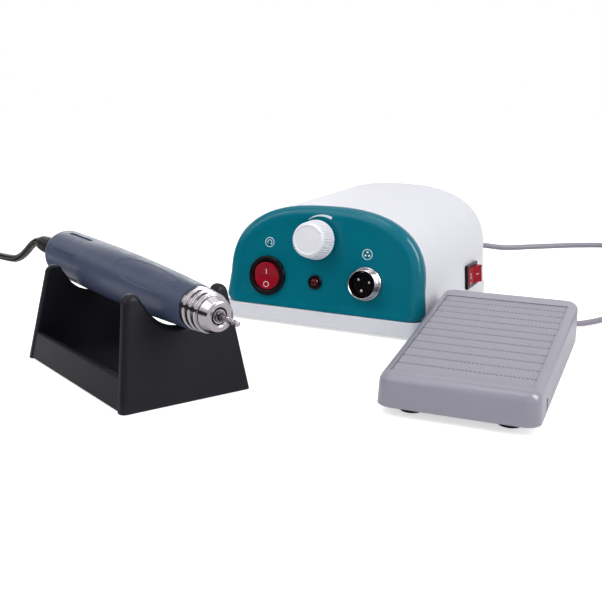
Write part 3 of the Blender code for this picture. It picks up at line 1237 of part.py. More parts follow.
def build_pedal_mat(cover):
    """Grey mat in the recess, with cross bands between fine grooves."""
    front, rear = MAT_FRONT - PEDAL_DEPTH / 2, PEDAL_DEPTH / 2 - MAT_REAR
    bottom, top = MAT_RECESS - GAP, MAT_RECESS * (1 - MAT_PROUD_SHARE)
    band = (rear - front) / MAT_BANDS
    upper = [(front, top)]
    for index in range(1, MAT_BANDS):
        middle = front + band * index
        upper += [(middle - MAT_GROOVE_HALF, top), (middle - MAT_GROOVE_HALF, top + MAT_GROOVE_DEPTH),
                  (middle + MAT_GROOVE_HALF, top + MAT_GROOVE_DEPTH), (middle + MAT_GROOVE_HALF, top)]
    upper.append((rear, top))
    outline = upper + [(rear, bottom), (front, bottom)]
    rings = []
    for side in (-1, 1):
        edges = [side * (pedal_half(y) - MAT_SIDE) for y, drop in outline]
        rings.append([Vector((x, y, pedal_top(y) - drop)) for x, (y, drop) in zip(edges, outline)])
    mat = add_piece("pedal_mat", loft(rings), "grey_mat", cover)
    hinge_y = HINGE_FROM_FRONT - PEDAL_DEPTH / 2
    mat.data.transform(Matrix.Translation((0, -hinge_y, -HINGE_HEIGHT)))
    return mat


def build_pedal_base(frame):
    """Plate under the cover, with ears for the hinge pin and a stop for the lead's grommet."""
    edge = PEDAL_WALL + PLATE_CLEAR
    top = PLATE_UNDER + PLATE_THICKNESS
    rings = [pedal_ring(edge, height=PLATE_UNDER), pedal_ring(edge, height=top)]
    plate = add_piece("pedal_base", loft(rings), "grey_pedal", frame)
    hinge_y = HINGE_FROM_FRONT - PEDAL_DEPTH / 2
    for side in (1, -1):
        x = side * (pedal_half(hinge_y) - edge - EAR_THICKNESS)
        crown = HINGE_HEIGHT + HINGE_RADIUS + EAR_THICKNESS / 2
        ear = block(EAR_THICKNESS / 2, EAR_HALF, top - PLATE_THICKNESS / 2, crown)
        name = "hinge_ear_right" if side > 0 else "hinge_ear_left"
        combine(plate, add_guide(name, ear, frame, (x, hinge_y, 0)), 'UNION')
    stop_y = PEDAL_DEPTH / 2 - GROMMET_INSIDE - GAP - STOP_THICKNESS / 2
    height = lead_height() + GROMMET_RADIUS
    stop = block(GROMMET_RADIUS, STOP_THICKNESS / 2, top - PLATE_THICKNESS / 2, height)
    combine(plate, add_guide("grommet_stop", stop, frame, (LEAD_EXIT_X, stop_y, 0)), 'UNION')
    reach = pedal_half(hinge_y)
    bore = turned([(HINGE_RADIUS + GAP, -reach), (HINGE_RADIUS + GAP, reach)], HIDDEN_STEPS)
    place, turn = (0, hinge_y, HINGE_HEIGHT), (0, math.pi / 2, 0)
    combine(plate, add_guide("hinge_bore", bore, frame, place, turn), 'DIFFERENCE')
    reach -= PEDAL_WALL / 2
    pin = turned([(HINGE_RADIUS, -reach), (HINGE_RADIUS, reach)], HIDDEN_STEPS)
    add_piece("pedal_hinge_pin", pin, "polished_steel", frame, place, turn)
    micro_y = PEDAL_DEPTH / 2 - MICRO_FROM_REAR
    roof = pedal_top(micro_y) - PEDAL_ROOF
    micro = block(MICRO_HALF_X, MICRO_HALF_Y, top + GAP, roof - MICRO_CLEAR)
    add_piece("pedal_microswitch", micro, "black_plastic", frame, (0, micro_y, 0))
    return plate


def build_pedal_feet(frame):
    """Four black rubber feet under the pedal's base."""
    reach_y = PEDAL_DEPTH / 2 - PEDAL_FOOT_INSET_Y
    reach_x = (PEDAL_FRONT_HALF + PEDAL_REAR_HALF) / 2 - PEDAL_FOOT_INSET_X
    places = ((reach_x, reach_y), (-reach_x, reach_y), (-reach_x, -reach_y), (reach_x, -reach_y))
    for index, (x, y) in enumerate(places):
        profile = [(PEDAL_FOOT_RADIUS, 0), (PEDAL_FOOT_RADIUS, PLATE_UNDER - GAP)]
        add_piece(f"pedal_foot_{index + 1}", turned(profile, SMALL_STEPS), "black_rubber", frame, (x, y, 0))


def build_pedal_spring(frame):
    """Coil spring between the base and the cover."""
    y = PEDAL_DEPTH / 2 - SPRING_FROM_REAR
    low = PLATE_UNDER + PLATE_THICKNESS + GAP + SPRING_WIRE
    high = pedal_top(y - SPRING_RADIUS) - PEDAL_ROOF - GAP - SPRING_WIRE
    count = SPRING_CURLS * SPRING_CURL_POINTS
    points = []
    for index in range(count + 1):
        angle = 2 * math.pi * index / SPRING_CURL_POINTS
        height = low + (high - low) * index / count
        across, along = SPRING_RADIUS * math.cos(angle), SPRING_RADIUS * math.sin(angle)
        points.append(Vector((across, y + along, height)))
    return add_tube("pedal_spring", points, SPRING_WIRE, 1, "polished_steel", frame)


def grommet_tip():
    """End of the pedal's grommet, in the pedal's frame."""
    return Vector((LEAD_EXIT_X, PEDAL_DEPTH / 2 + GROMMET_OUTSIDE, lead_height()))


def build_grommet(frame):
    """Rubber grommet that holds the pedal's lead at the rear."""
    tip = GROMMET_OUTSIDE
    profile = [(0, -GROMMET_INSIDE), (GROMMET_RADIUS, -GROMMET_INSIDE), (GROMMET_RADIUS, GROMMET_RADIUS),
               (GROMMET_TIP, tip), (0, tip)]
    place, turn = (LEAD_EXIT_X, PEDAL_DEPTH / 2, lead_height()), (-math.pi / 2, 0, 0)
    add_piece("pedal_grommet", turned(profile, HIDDEN_STEPS), "grey_lead", frame, place, turn)


# Cords and coils
def add_tube(name, points, radius, roundness, finish, parent=None):
    """A round tube along points, its ends filled."""
    curve = bpy.data.curves.new(name, 'CURVE')
    curve.dimensions = '3D'
    curve.bevel_depth = radius
    curve.bevel_resolution = roundness
    curve.use_fill_caps = True
    spline = curve.splines.new('POLY')
    spline.points.add(len(points) - 1)
    for target, point in zip(spline.points, points):
        target.co = (*point, 1.0)
    curve.materials.append(finish_material(finish))
    tube = bpy.data.objects.new(name, curve)
    bpy.context.scene.collection.objects.link(tube)
    tube.parent = parent
    return tube


def smooth_route(route, step):
    """Points about a step apart on the smooth curve through a route (Catmull-Rom, centripetal)."""
    ends = [2 * route[0] - route[1]] + list(route) + [2 * route[-1] - route[-2]]
    points = [route[0]]
    for before, start, end, after in zip(ends, ends[1:], ends[2:], ends[3:]):
        count = max(1, round((end - start).length / step))
        knots = [0.0]
        for first, last in ((before, start), (start, end), (end, after)):
            knots.append(knots[-1] + math.sqrt((last - first).length))
        for index in range(1, count + 1):
            at = knots[1] + (knots[2] - knots[1]) * index / count
            level = [before, start, end, after]
            level = [blend(level[i], level[i + 1], knots[i], knots[i + 1], at) for i in range(3)]
            level = [blend(level[i], level[i + 1], knots[i], knots[i + 2], at) for i in range(2)]
            points.append(blend(level[0], level[1], knots[1], knots[2], at))
    return points


def blend(first, last, low, high, at):
    """Straight blend of two points by where at lies between low and high."""
    return first * ((high - at) / (high - low)) + last * ((at - low) / (high - low))


def coil_points(centre, mean, radius, layer_turns, start_degrees, clockwise, tail, lie):
    """One unbroken coil of piled loops, in real sizes.

    The loops spiral in and out again at a steady rate and climb a layer in the half turn where
    the spiral reverses. The last part of a turn rises until the tail runs at the height where
    its plug lies. The tube's ends run straight for a diameter or more.
    """
    pitch = 2 * radius + COIL_SPACE
    turns = layer_turns * COIL_LAYERS
    sense = -1 if clockwise else 1
    count = round(turns * LOOP_POINTS)
    points = []
    for index in range(count + 1):
        done = turns * index / count
        layer, part = divmod(done, layer_turns)
        inward = part if int(layer) % 2 == 0 else layer_turns - part
        if done == turns:
            inward = 0
        across = mean + pitch * (layer_turns / 2 - inward)
        climb = 0.0
        for change in range(1, COIL_LAYERS):
            share = (done - change * layer_turns) / 0.5 + 0.5
            share = min(max(share, 0.0), 1.0)
            climb += share * share * (3 - 2 * share)
        angle = math.radians(start_degrees) + sense * 2 * math.pi * done
        height = radius + GAP + pitch * climb
        rise = max(0.0, 1 - (turns - done) / TAIL_RISE_TURN)
        height += max(0.0, lie - height) * rise * rise * (3 - 2 * rise)
        spot = (centre[0] + across * math.cos(angle), centre[1] + across * math.sin(angle), height)
        points.append(Vector(spot))
    start = math.radians(start_degrees)
    heading_in = Vector((-math.sin(start), math.cos(start), 0)) * sense
    end = start + sense * 2 * math.pi * turns
    heading_out = Vector((-math.sin(end), math.cos(end), 0)) * sense
    return [points[0] - heading_in * 2 * radius] + points + [points[-1] + heading_out * tail]


def least_gap(points, radius):
    """Least gap of a wound tube to itself, measured on its points."""
    skip = LOOP_POINTS // 2
    least = math.inf
    for index, point in enumerate(points):
        for other in points[index + skip:]:
            least = min(least, (point - other).length)
    return least - 2 * radius


def add_coil(name, centre, mean, radius, layer_turns, start_degrees, clockwise, tail, lie, finish):
    """A coil on the floor. Returns its points."""
    centre = (centre[0] - SHIFT_X, centre[1] - SHIFT_Y)
    points = coil_points(centre, mean, radius, layer_turns, start_degrees, clockwise, tail, lie)
    add_tube(name, points, radius, 1, finish)
    print(name, "least gap to itself in mm", round(1000 * least_gap(points, radius), 3))
    return points


def add_lead(name, start, heading, middle, coil, radius, finish):
    """The cord's free stretch from its exit, through a route chosen by hand, to its coil."""
    shift = Vector((SHIFT_X, SHIFT_Y, 0))
    first = start + heading * GAP
    inward = (coil[1] - coil[0]).normalized()
    last = coil[0] - inward * GAP
    route = [first, first + heading * 2 * radius]
    route += [Vector(point) - shift for point in middle]
    route += [last - inward * 2 * radius, last]
    points = smooth_route(route, 2 * radius * ROUTE_STEP_SHARE)
    length = sum((after - before).length for before, after in zip(points, points[1:]))
    print(name, "points", len(points), "length in mm", round(1000 * length, 1))
    add_tube(name, points, radius, 2, finish)
    return length


# Routes of the free stretches, chosen by hand, from the foot of the front panel
MOTOR_ROUTE = ((-0.1485, -0.0608, 0.0446), (-0.1535, -0.0582, 0.0419), (-0.1592, -0.0552, 0.0383),
               (-0.1660, -0.0516, 0.0346), (-0.1740, -0.0474, 0.0316), (-0.1845, -0.0419, 0.0300),
               (-0.1962, -0.0358, 0.0290), (-0.2060, -0.0308, 0.0275), (-0.2145, -0.0273, 0.0215),
               (-0.2215, -0.0258, 0.0130))
MAINS_ROUTE = ((0.0440, 0.1770, 0.0290), (0.0525, 0.1890, 0.0276), (0.0650, 0.1985, 0.0258),
               (0.0850, 0.2140, 0.0262), (0.1140, 0.2410, 0.0262), (0.1350, 0.2600, 0.0250),
               (0.1560, 0.2760, 0.0205), (0.1760, 0.2830, 0.0130), (0.1930, 0.2755, 0.0060))
PEDAL_ROUTE = ((0.1285, 0.0650, 0.0058), (0.1345, 0.0800, 0.0026), (0.1450, 0.1000, 0.0020))


def build_motor_cord(tool):
    """Black cord of the handpiece, its coil and its plug with a turning ring."""
    bpy.context.view_layer.update()
    place = tool.matrix_world
    start = place @ Vector((0, 0, -RELIEF_LENGTH))
    heading = (place.to_3x3() @ Vector((0, 0, -1))).normalized()
    coil = add_coil("motor_cord_coil", (MOTOR_COIL_X, MOTOR_COIL_Y), MOTOR_COIL_MEAN, MOTOR_CORD_RADIUS,
                    MOTOR_COIL_LAYER_TURNS, MOTOR_COIL_START_DEGREES, False, MOTOR_COIL_TAIL,
                    PLUG_NUT_RADIUS + GAP, "black_lead")
    add_lead("motor_cord", start, heading, MOTOR_ROUTE, coil, MOTOR_CORD_RADIUS, "black_lead")
    frame = plug_frame("motor_plug_frame", coil)
    body_end = PLUG_LENGTH - PLUG_NUT_OVERLAP
    tip = PLUG_LENGTH + PLUG_NUT_OVERLAP
    profile = [(0, 0), (PLUG_TAIL_RADIUS, 0), (PLUG_TAIL_RADIUS, PLUG_LENGTH * 0.2),
               (PLUG_RADIUS, PLUG_LENGTH * 0.4), (PLUG_RADIUS, body_end - GAP),
               (PLUG_NECK_RADIUS, body_end - GAP), (PLUG_NECK_RADIUS, tip), (0, tip)]
    add_piece("motor_plug_body", turned(profile, SMALL_STEPS), "polished_steel", frame)

    def fluted(radius, height):
        ring = circle(radius, 2 * PLUG_FLUTES, height)
        for point in ring[1::2]:
            point.xy *= (radius - PLUG_FLUTE) / radius
        return ring

    bore, end = PLUG_NECK_RADIUS + GAP, body_end + PLUG_NUT_LENGTH
    rings = [fluted(PLUG_NUT_RADIUS - PLUG_FLUTE, body_end), fluted(PLUG_NUT_RADIUS, body_end + PLUG_FLUTE),
             fluted(PLUG_NUT_RADIUS, end - PLUG_FLUTE), fluted(PLUG_NUT_RADIUS - PLUG_FLUTE, end),
             circle(bore, 2 * PLUG_FLUTES, end), circle(bore, 2 * PLUG_FLUTES, body_end)]
    add_piece("motor_plug_ring", loft(rings, closed=True), "polished_steel", frame)


def plug_frame(name, coil):
    """Frame of a plug: Z runs on from the coil's tail, at the height where the plug lies."""
    heading = (coil[-1] - coil[-2]).normalized()
    out = Vector((heading.x, heading.y, 0)).normalized()
    side = Vector((0, 0, 1)).cross(out)
    turn = Matrix((side, Vector((0, 0, 1)), out)).transposed()
    if turn.determinant() < 0:
        turn = Matrix((-side, Vector((0, 0, 1)), out)).transposed()
    return add_frame(name, Matrix.Translation(coil[-1] + out * GAP) @ turn.to_4x4())


def build_mains_cord(gland):
    """Grey mains lead, its coil and a flat plug with two round pins."""
    bpy.context.view_layer.update()
    place = gland.matrix_world
    start = place @ Vector((0, 0, GLAND_LENGTH))
    heading = (place.to_3x3() @ Vector((0, 0, 1))).normalized()
    coil = add_coil("mains_cord_coil", (MAINS_COIL_X, MAINS_COIL_Y), MAINS_COIL_MEAN, MAINS_CORD_RADIUS,
                    MAINS_COIL_LAYER_TURNS, MAINS_COIL_START_DEGREES, True, MAINS_COIL_TAIL,
                    MAINS_PLUG_HALF_HEIGHT + GAP, "grey_lead")
    add_lead("mains_cord", start, heading, MAINS_ROUTE, coil, MAINS_CORD_RADIUS, "grey_lead")
    frame = plug_frame("mains_plug_frame", coil)
    tail, long = MAINS_PLUG_TAIL_HALF, MAINS_PLUG_LENGTH
    wide, high = MAINS_PLUG_HALF_WIDTH, MAINS_PLUG_HALF_HEIGHT
    levels = [(tail * 0.8, tail * 0.8, tail * 0.5, 0), (tail, tail, tail * 0.6, long * 0.3),
              (wide * 0.7, high, tail, long * 0.6), (wide, high, tail, long * 0.8),
              (wide, high, tail, long)]
    plug = add_piece("mains_plug", stack(levels, 3), "grey_lead", frame)
    for side, name in ((1, "mains_pin_right"), (-1, "mains_pin_left")):
        profile = [(MAINS_PIN_RADIUS, long - OVERRUN), (MAINS_PIN_RADIUS, long + MAINS_PIN_LENGTH)]
        pin = turned(profile, PIN_STEPS)
        combine(plug, add_guide(name, pin, frame, (side * MAINS_PIN_PITCH / 2, 0, 0)), 'UNION')


def build_pedal_cord(frame):
    """Grey pedal lead, its coil and its small jack plug."""
    bpy.context.view_layer.update()
    place = frame.matrix_world
    start = place @ grommet_tip()
    heading = (place.to_3x3() @ Vector((0, 1, 0))).normalized()
    coil = add_coil("pedal_cord_coil", (PEDAL_COIL_X, PEDAL_COIL_Y), PEDAL_COIL_MEAN, PEDAL_CORD_RADIUS,
                    PEDAL_COIL_LAYER_TURNS, PEDAL_COIL_START_DEGREES, True, PEDAL_COIL_TAIL,
                    JACK_PLUG_RADIUS + GAP, "grey_lead")
    add_lead("pedal_cord", start, heading, PEDAL_ROUTE, coil, PEDAL_CORD_RADIUS, "grey_lead")
    plug = plug_frame("pedal_plug_frame", coil)
    tip, long = JACK_PLUG_TIP_RADIUS, JACK_PLUG_LENGTH
    end = long + JACK_PLUG_TIP_LENGTH
    profile = [(0, 0), (PEDAL_CORD_RADIUS * 1.4, 0), (JACK_PLUG_RADIUS * 0.8, long * 0.35),
               (JACK_PLUG_RADIUS, long * 0.45), (JACK_PLUG_RADIUS, long), (tip, long), (tip, end - 2 * tip),
               (tip * 0.7, end - 1.6 * tip), (tip, end - 1.2 * tip), (tip / 3, end), (0, end)]
    add_piece("pedal_plug", turned(profile, HIDDEN_STEPS), "polished_steel", plug)


def build_control_box():
    """The control box with everything on and in it."""
    box = add_frame("control_box_frame", unit_matrix(0, 0, 0))
    panel = add_frame("front_panel_frame", panel_matrix(), box)
    build_base_tray(box)
    build_top_shell(box)
    build_rear_panel(box)
    build_box_feet(box)
    build_front_panel(panel)
    build_speed_control(panel)
    build_direction_switch(panel)
    build_warning_light(panel)
    build_motor_socket(panel)
    build_power_switch(box)
    build_rear_fittings(box)
    build_box_inside(box)
    return bpy.data.objects["mains_gland"]


def build_handpiece_and_cradle():
    """The cradle and the handpiece that lies in its saddles."""
    stand = add_frame("cradle_frame", unit_matrix(CRADLE_X, CRADLE_Y, CRADLE_TURN_DEGREES))
    build_cradle(stand)
    tool = add_frame("handpiece_frame", handpiece_matrix(), stand)
    build_sleeve(tool)
    build_relief(tool)
    build_motor(tool)
    build_rotor(tool)
    build_nose(tool)
    return tool


def build_pedal():
    """The foot pedal."""
    x = FRONT_HALF_BASE + PEDAL_APART + PEDAL_REAR_HALF
    frame = add_frame("pedal_frame", unit_matrix(x, PEDAL_Y, PEDAL_TURN_DEGREES))
    cover = build_pedal_cover(frame)
    build_pedal_mat(cover)
    build_pedal_base(frame)
    build_pedal_feet(frame)
    build_pedal_spring(frame)
    build_grommet(frame)
    return frame


def main():
    """Build the whole set."""
    clear_scene()
    gland = build_control_box()
    tool = build_handpiece_and_cradle()
    pedal = build_pedal()
    build_motor_cord(tool)
    build_mains_cord(gland)
    build_pedal_cord(pedal)


main()
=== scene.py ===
"""Looks of a dental laboratory micromotor: control box, handpiece on its cradle, foot pedal.

Lengths are in metres, +Z is up and the floor is z = 0. The control box faces -Y. Each visible
piece is a surface worked out with numpy on a grid of two parameters, most of them a profile
turned round an axis, an outline carried through levels, or a section carried along a path.
"""
from __future__ import annotations

import logging
import math
from dataclasses import dataclass
from enum import Enum
from typing import Callable, Sequence

import bmesh
import bpy
import numpy as np
from mathutils import Matrix, Vector
from mathutils.geometry import delaunay_2d_cdt


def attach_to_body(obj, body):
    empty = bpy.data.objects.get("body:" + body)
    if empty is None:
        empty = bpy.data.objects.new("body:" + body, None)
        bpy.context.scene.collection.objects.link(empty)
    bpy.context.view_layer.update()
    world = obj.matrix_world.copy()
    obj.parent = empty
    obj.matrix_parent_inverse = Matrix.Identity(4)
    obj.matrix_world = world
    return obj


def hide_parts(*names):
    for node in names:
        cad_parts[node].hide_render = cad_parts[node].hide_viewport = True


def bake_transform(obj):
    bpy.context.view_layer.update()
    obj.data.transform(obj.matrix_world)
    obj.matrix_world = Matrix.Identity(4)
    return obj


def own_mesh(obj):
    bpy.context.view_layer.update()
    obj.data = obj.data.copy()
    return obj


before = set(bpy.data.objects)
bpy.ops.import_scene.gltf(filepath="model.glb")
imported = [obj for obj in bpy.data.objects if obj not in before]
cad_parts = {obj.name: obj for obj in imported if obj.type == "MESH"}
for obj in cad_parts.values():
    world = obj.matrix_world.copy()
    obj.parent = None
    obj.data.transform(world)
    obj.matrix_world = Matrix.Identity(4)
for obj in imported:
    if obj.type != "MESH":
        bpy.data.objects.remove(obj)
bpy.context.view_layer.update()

LOG = logging.getLogger("micromotor")
Grid = np.ndarray
Spot = tuple[float, float]
Point = tuple[float, float, float]
Profile = Sequence[Spot]
Socket = bpy.types.NodeSocket
Piece = bpy.types.Object


class Body(Enum):
    """Moving and still bodies that the pieces ride on."""

    BASE = "base"
    HANDPIECE = "handpiece"
    SPINDLE = "spindle"
    CHUCK = "chuck"
    PLUG_RING = "plug_ring"
    SPEED_KNOB = "speed_knob"
    DIRECTION_ROCKER = "direction_rocker"
    POWER_ROCKER = "power_rocker"
    PEDAL_COVER = "pedal_cover"


class Axis(Enum):
    """Axes that a frame can turn about."""

    X = 0
    Y = 1
    Z = 2


# Frames and points
def shifted(x: float, y: float, z: float) -> Grid:
    """Matrix of a shift.

    Args:
        x: shift along X.
        y: shift along Y.
        z: shift along Z.

    Returns:
        The 4 by 4 matrix.
    """
    place = np.eye(4)
    place[:3, 3] = (x, y, z)
    return place


def turned_about(axis: Axis, degrees: float) -> Grid:
    """Matrix of a right-hand turn about one axis.

    Args:
        axis: the axis.
        degrees: the turn.

    Returns:
        The 4 by 4 matrix.
    """
    cosine, sine = math.cos(math.radians(degrees)), math.sin(math.radians(degrees))
    first, second = [(1, 2), (2, 0), (0, 1)][axis.value]
    place = np.eye(4)
    place[first, first] = place[second, second] = cosine
    place[second, first], place[first, second] = sine, -sine
    return place


def framed(origin: Grid, across: Grid, up: Grid, out: Grid) -> Grid:
    """Matrix of a frame from its origin and its three axes.

    Args:
        origin: where the frame stands.
        across: its X axis.
        up: its Y axis.
        out: its Z axis.

    Returns:
        The 4 by 4 matrix.
    """
    place = np.eye(4)
    place[:3, 0], place[:3, 1], place[:3, 2], place[:3, 3] = across, up, out, origin
    return place


def placed(points: Grid, place: Grid) -> Grid:
    """Points of any grid carried into a frame."""
    return points @ place[:3, :3].T + place[:3, 3]


def unit(vector: Grid) -> Grid:
    """Vectors brought to length one along the last axis."""
    return vector / np.linalg.norm(vector, axis=-1, keepdims=True)


# Profiles and outlines
def soften(profile: Profile, radius: float, steps: int = 5, closed: bool = False) -> Grid:
    """Round the corners of a line of points.

    At each corner P between legs to A and B, the points run along the quadratic curve
    (1-t)(1-t) S + 2t(1-t) P + t t E, where S and E lie on the legs a radius from P. A point a
    little further out on each leg keeps the flat beside the round flat when it is shaded.

    Args:
        profile: corner points.
        radius: reach of the round along each leg, cut down on short legs.
        steps: spans along each round.
        closed: whether the last point joins the first.

    Returns:
        The rounded line, one row for each point.
    """
    corners = np.array(profile, float)
    before, after = np.roll(corners, 1, 0), np.roll(corners, -1, 0)
    shares = np.linspace(0, 1, steps + 1)[:, None]
    line = []
    for index, (start, corner, end) in enumerate(zip(before, corners, after)):
        if not closed and index in (0, len(corners) - 1):
            line.append(corner[None])
            continue
        back, on = start - corner, end - corner
        legs = np.linalg.norm(back), np.linalg.norm(on)
        turn = abs(back[0] * on[1] - back[1] * on[0]) / (legs[0] * legs[1] + 1e-12)
        if turn < 0.02:
            line.append(corner[None])
            continue
        reach = min(radius, 0.38 * legs[0], 0.38 * legs[1])
        first, last = corner + back / legs[0] * reach, corner + on / legs[1] * reach
        bend = (1 - shares) ** 2 * first + 2 * shares * (1 - shares) * corner + shares ** 2 * last
        outer = corner + back / legs[0] * reach * 1.25, corner + on / legs[1] * reach * 1.25
        line.append(np.vstack([outer[0], bend, outer[1]]))
    return np.vstack(line)


def evened(line: Grid, step: float) -> Grid:
    """A line with points added on it, so that no span is longer than a step.

    Args:
        line: points, one row each.
        step: the longest span.

    Returns:
        The line with its added points.
    """
    reach = np.concatenate([[0], np.cumsum(np.linalg.norm(np.diff(line, axis=0), axis=1))])
    parts = [np.linspace(a, b, math.ceil((b - a) / step) + 1)[:-1] for a, b in zip(reach, reach[1:])]
    at = np.concatenate([*parts, reach[-1:]])
    return np.column_stack([np.interp(at, reach, line[:, axis]) for axis in range(line.shape[1])])


def soften_rows(levels: Grid, radius: float) -> Grid:
    """Levels with added rows about each inner one, so that the change of slope is round.

    Each inner row is replaced by five on the quadratic curve between its neighbours' sides.

    Args:
        levels: rows of values.
        radius: reach of the round to each side of a row.

    Returns:
        The levels with their added rows.
    """
    shares = np.linspace(0, 1, 5)[:, None]
    rows = [levels[:1]]
    for before, row, after in zip(levels, levels[1:], levels[2:]):
        back, on = before - row, after - row
        first = row + back * min(0.38, radius / (np.linalg.norm(back) + 1e-9))
        last = row + on * min(0.38, radius / (np.linalg.norm(on) + 1e-9))
        rows.append((1 - shares) ** 2 * first + 2 * shares * (1 - shares) * row + shares ** 2 * last)
    return np.vstack([*rows, levels[-1:]])


def whole_turn(steps: int) -> Grid:
    """Even bearings over one whole turn, in radians."""
    return np.linspace(0, 2 * math.pi, steps, endpoint=False)


def polar(radius: Grid | float, bearing: Grid) -> Grid:
    """Points (x, y) at radii and bearings."""
    return np.stack([radius * np.cos(bearing), radius * np.sin(bearing)], 1)


def ring_points(radius: float, steps: int) -> Grid:
    """Points (x, y) round a circle."""
    return polar(radius, whole_turn(steps))


def rounded_box(half_x: float, half_y: float, corner: float, steps: int = 8) -> Grid:
    """Outline (x, y) of a rectangle whose corners are quarter circles.

    Args:
        half_x: half width.
        half_y: half depth.
        corner: radius of the corners.
        steps: spans round each corner.

    Returns:
        The outline, one row for each point.
    """
    parts = []
    for quarter, (side_x, side_y) in enumerate(((1, 1), (-1, 1), (-1, -1), (1, -1))):
        angles = math.pi / 2 * (quarter + np.linspace(0, 1, steps + 1))
        parts.append(np.stack([side_x * (half_x - corner) + corner * np.cos(angles),
                               side_y * (half_y - corner) + corner * np.sin(angles)], 1))
    return np.vstack(parts)


def lift(outline: Grid, height: float) -> Grid:
    """An (x, y) outline set at a height."""
    return np.column_stack([outline, np.full(len(outline), height)])


def smoothstep(value: Grid) -> Grid:
    """Smooth rise from 0 to 1: three shares squared less two cubed."""
    share = np.clip(value, 0, 1)
    return share * share * (3 - 2 * share)


# Surfaces
def linked(name: str, data: bpy.types.ID) -> Piece:
    """An object in the scene.

    Args:
        name: the object's name.
        data: its mesh, lamp or camera.

    Returns:
        The object.
    """
    piece = bpy.data.objects.new(name, data)
    bpy.context.scene.collection.objects.link(piece)
    return piece


class Skin:
    """Gathers grids of points and rings, and makes one closed mesh of them."""

    def __init__(self) -> None:
        """Start with nothing."""
        self.points: list[Grid] = []
        self.faces: list[list[int]] = []
        self.uvs: list[Grid] = []
        self.count = 0

    def sheet(self, grid: Grid, around: bool = False, along: bool = False) -> "Skin":
        """Add a grid of quads.

        The UV of a point is its distance in metres across the grid, along the widest row, and
        down the grid, along the first column.

        Args:
            grid: points, rows by columns by 3.
            around: whether the last column joins the first.
            along: whether the last row joins the first.

        Returns:
            This skin.
        """
        rows, columns = grid.shape[:2]
        full = np.concatenate([grid, grid[:, :1]], 1) if around else grid
        full = np.concatenate([full, full[:1]], 0) if along else full
        spans = np.linalg.norm(np.diff(full, axis=1), axis=2)
        wide = spans[spans.sum(1).argmax()]
        across = np.concatenate([[0], np.cumsum(wide)])
        down = np.concatenate([[0], np.cumsum(np.linalg.norm(np.diff(full[:, 0], axis=0), axis=1))])
        row, column = np.meshgrid(np.arange(full.shape[0] - 1), np.arange(full.shape[1] - 1), indexing="ij")
        row, column = row.ravel(), column.ravel()
        after_row, after_column = (row + 1) % rows, (column + 1) % columns
        quads = np.stack([row * columns + column, row * columns + after_column,
                          after_row * columns + after_column, after_row * columns + column], 1)
        corner = [np.stack([across[c], down[r]], 1) for r, c in
                  ((row, column), (row, column + 1), (row + 1, column + 1), (row + 1, column))]
        self.points.append(grid.reshape(-1, 3))
        self.faces += (quads + self.count).tolist()
        self.uvs.append(np.stack(corner, 1).reshape(-1, 2))
        self.count += rows * columns
        return self

    def lid(self, ring: Grid) -> "Skin":
        """Add one flat face over a ring of points.

        Args:
            ring: points in order.

        Returns:
            This skin.
        """
        self.points.append(ring)
        self.faces.append(list(range(self.count, self.count + len(ring))))
        self.uvs.append(ring[:, :2] * 1.0)
        self.count += len(ring)
        return self

    def flat(self, points: Grid, faces: Sequence[Sequence[int]]) -> "Skin":
        """Add faces between given points.

        Args:
            points: the points.
            faces: indexes into them, in order round each face.

        Returns:
            This skin.
        """
        self.points.append(points)
        for face in faces:
            self.faces.append([index + self.count for index in face])
            self.uvs.append(points[list(face), :2])
        self.count += len(points)
        return self

    def column(self, rings: Grid | Sequence[Grid], low_lid: bool = True, high_lid: bool = True) -> "Skin":
        """Add a wall through rings, with lids on its ends.

        Args:
            rings: rings of equal length.
            low_lid: whether the first ring is closed.
            high_lid: whether the last ring is closed.

        Returns:
            This skin.
        """
        self.sheet(np.stack(rings), around=True)
        for ring, wanted in ((rings[0], low_lid), (rings[-1], high_lid)):
            if wanted:
                self.lid(ring)
        return self

    def join(self, other: "Skin") -> "Skin":
        """Add what another skin holds.

        Args:
            other: the skin that is taken in.

        Returns:
            This skin.
        """
        self.points += other.points
        self.faces += [[index + self.count for index in face] for face in other.faces]
        self.uvs += other.uvs
        self.count += other.count
        return self

    def make(self, name: str, finish: "Finish", place: Grid | None = None, sharp: float = 38.0) -> Piece:
        """Weld the gathered grids into an object at the origin.

        Args:
            name: the object's name.
            finish: what it is made of.
            place: frame that the points are in, the part's own when left out.
            sharp: edges that turn more than this many degrees are shaded sharp.

        Returns:
            The object.
        """
        points = np.concatenate(self.points)
        if place is not None:
            points = placed(points, place)
        mesh = bpy.data.meshes.new(name)
        mesh.from_pydata(points.tolist(), [], self.faces)
        layer = mesh.uv_layers.new(name="surface")
        layer.data.foreach_set("uv", np.concatenate(self.uvs).astype(np.float32).ravel())
        shape = bmesh.new()
        shape.from_mesh(mesh)
        bmesh.ops.remove_doubles(shape, verts=shape.verts, dist=2e-6)
        bmesh.ops.recalc_face_normals(shape, faces=shape.faces)
        shape.to_mesh(mesh)
        shape.free()
        mesh.shade_smooth()
        mesh.set_sharp_from_angle(angle=math.radians(sharp))
        mesh.materials.append(finish.material())
        return linked(name, mesh)


def spun(radius: Grid, bearing: Grid, station: Grid) -> Grid:
    """Grid of points at radii and bearings about Z, and at stations along it."""
    return np.stack(np.broadcast_arrays(radius * np.cos(bearing), radius * np.sin(bearing), station), 2)


def lathe(profile: Grid, steps: int = 96) -> Grid:
    """Grid of a profile of (radius, station) points turned round Z."""
    line = np.asarray(profile, float)
    return spun(line[:, :1], whole_turn(steps), line[:, 1:])


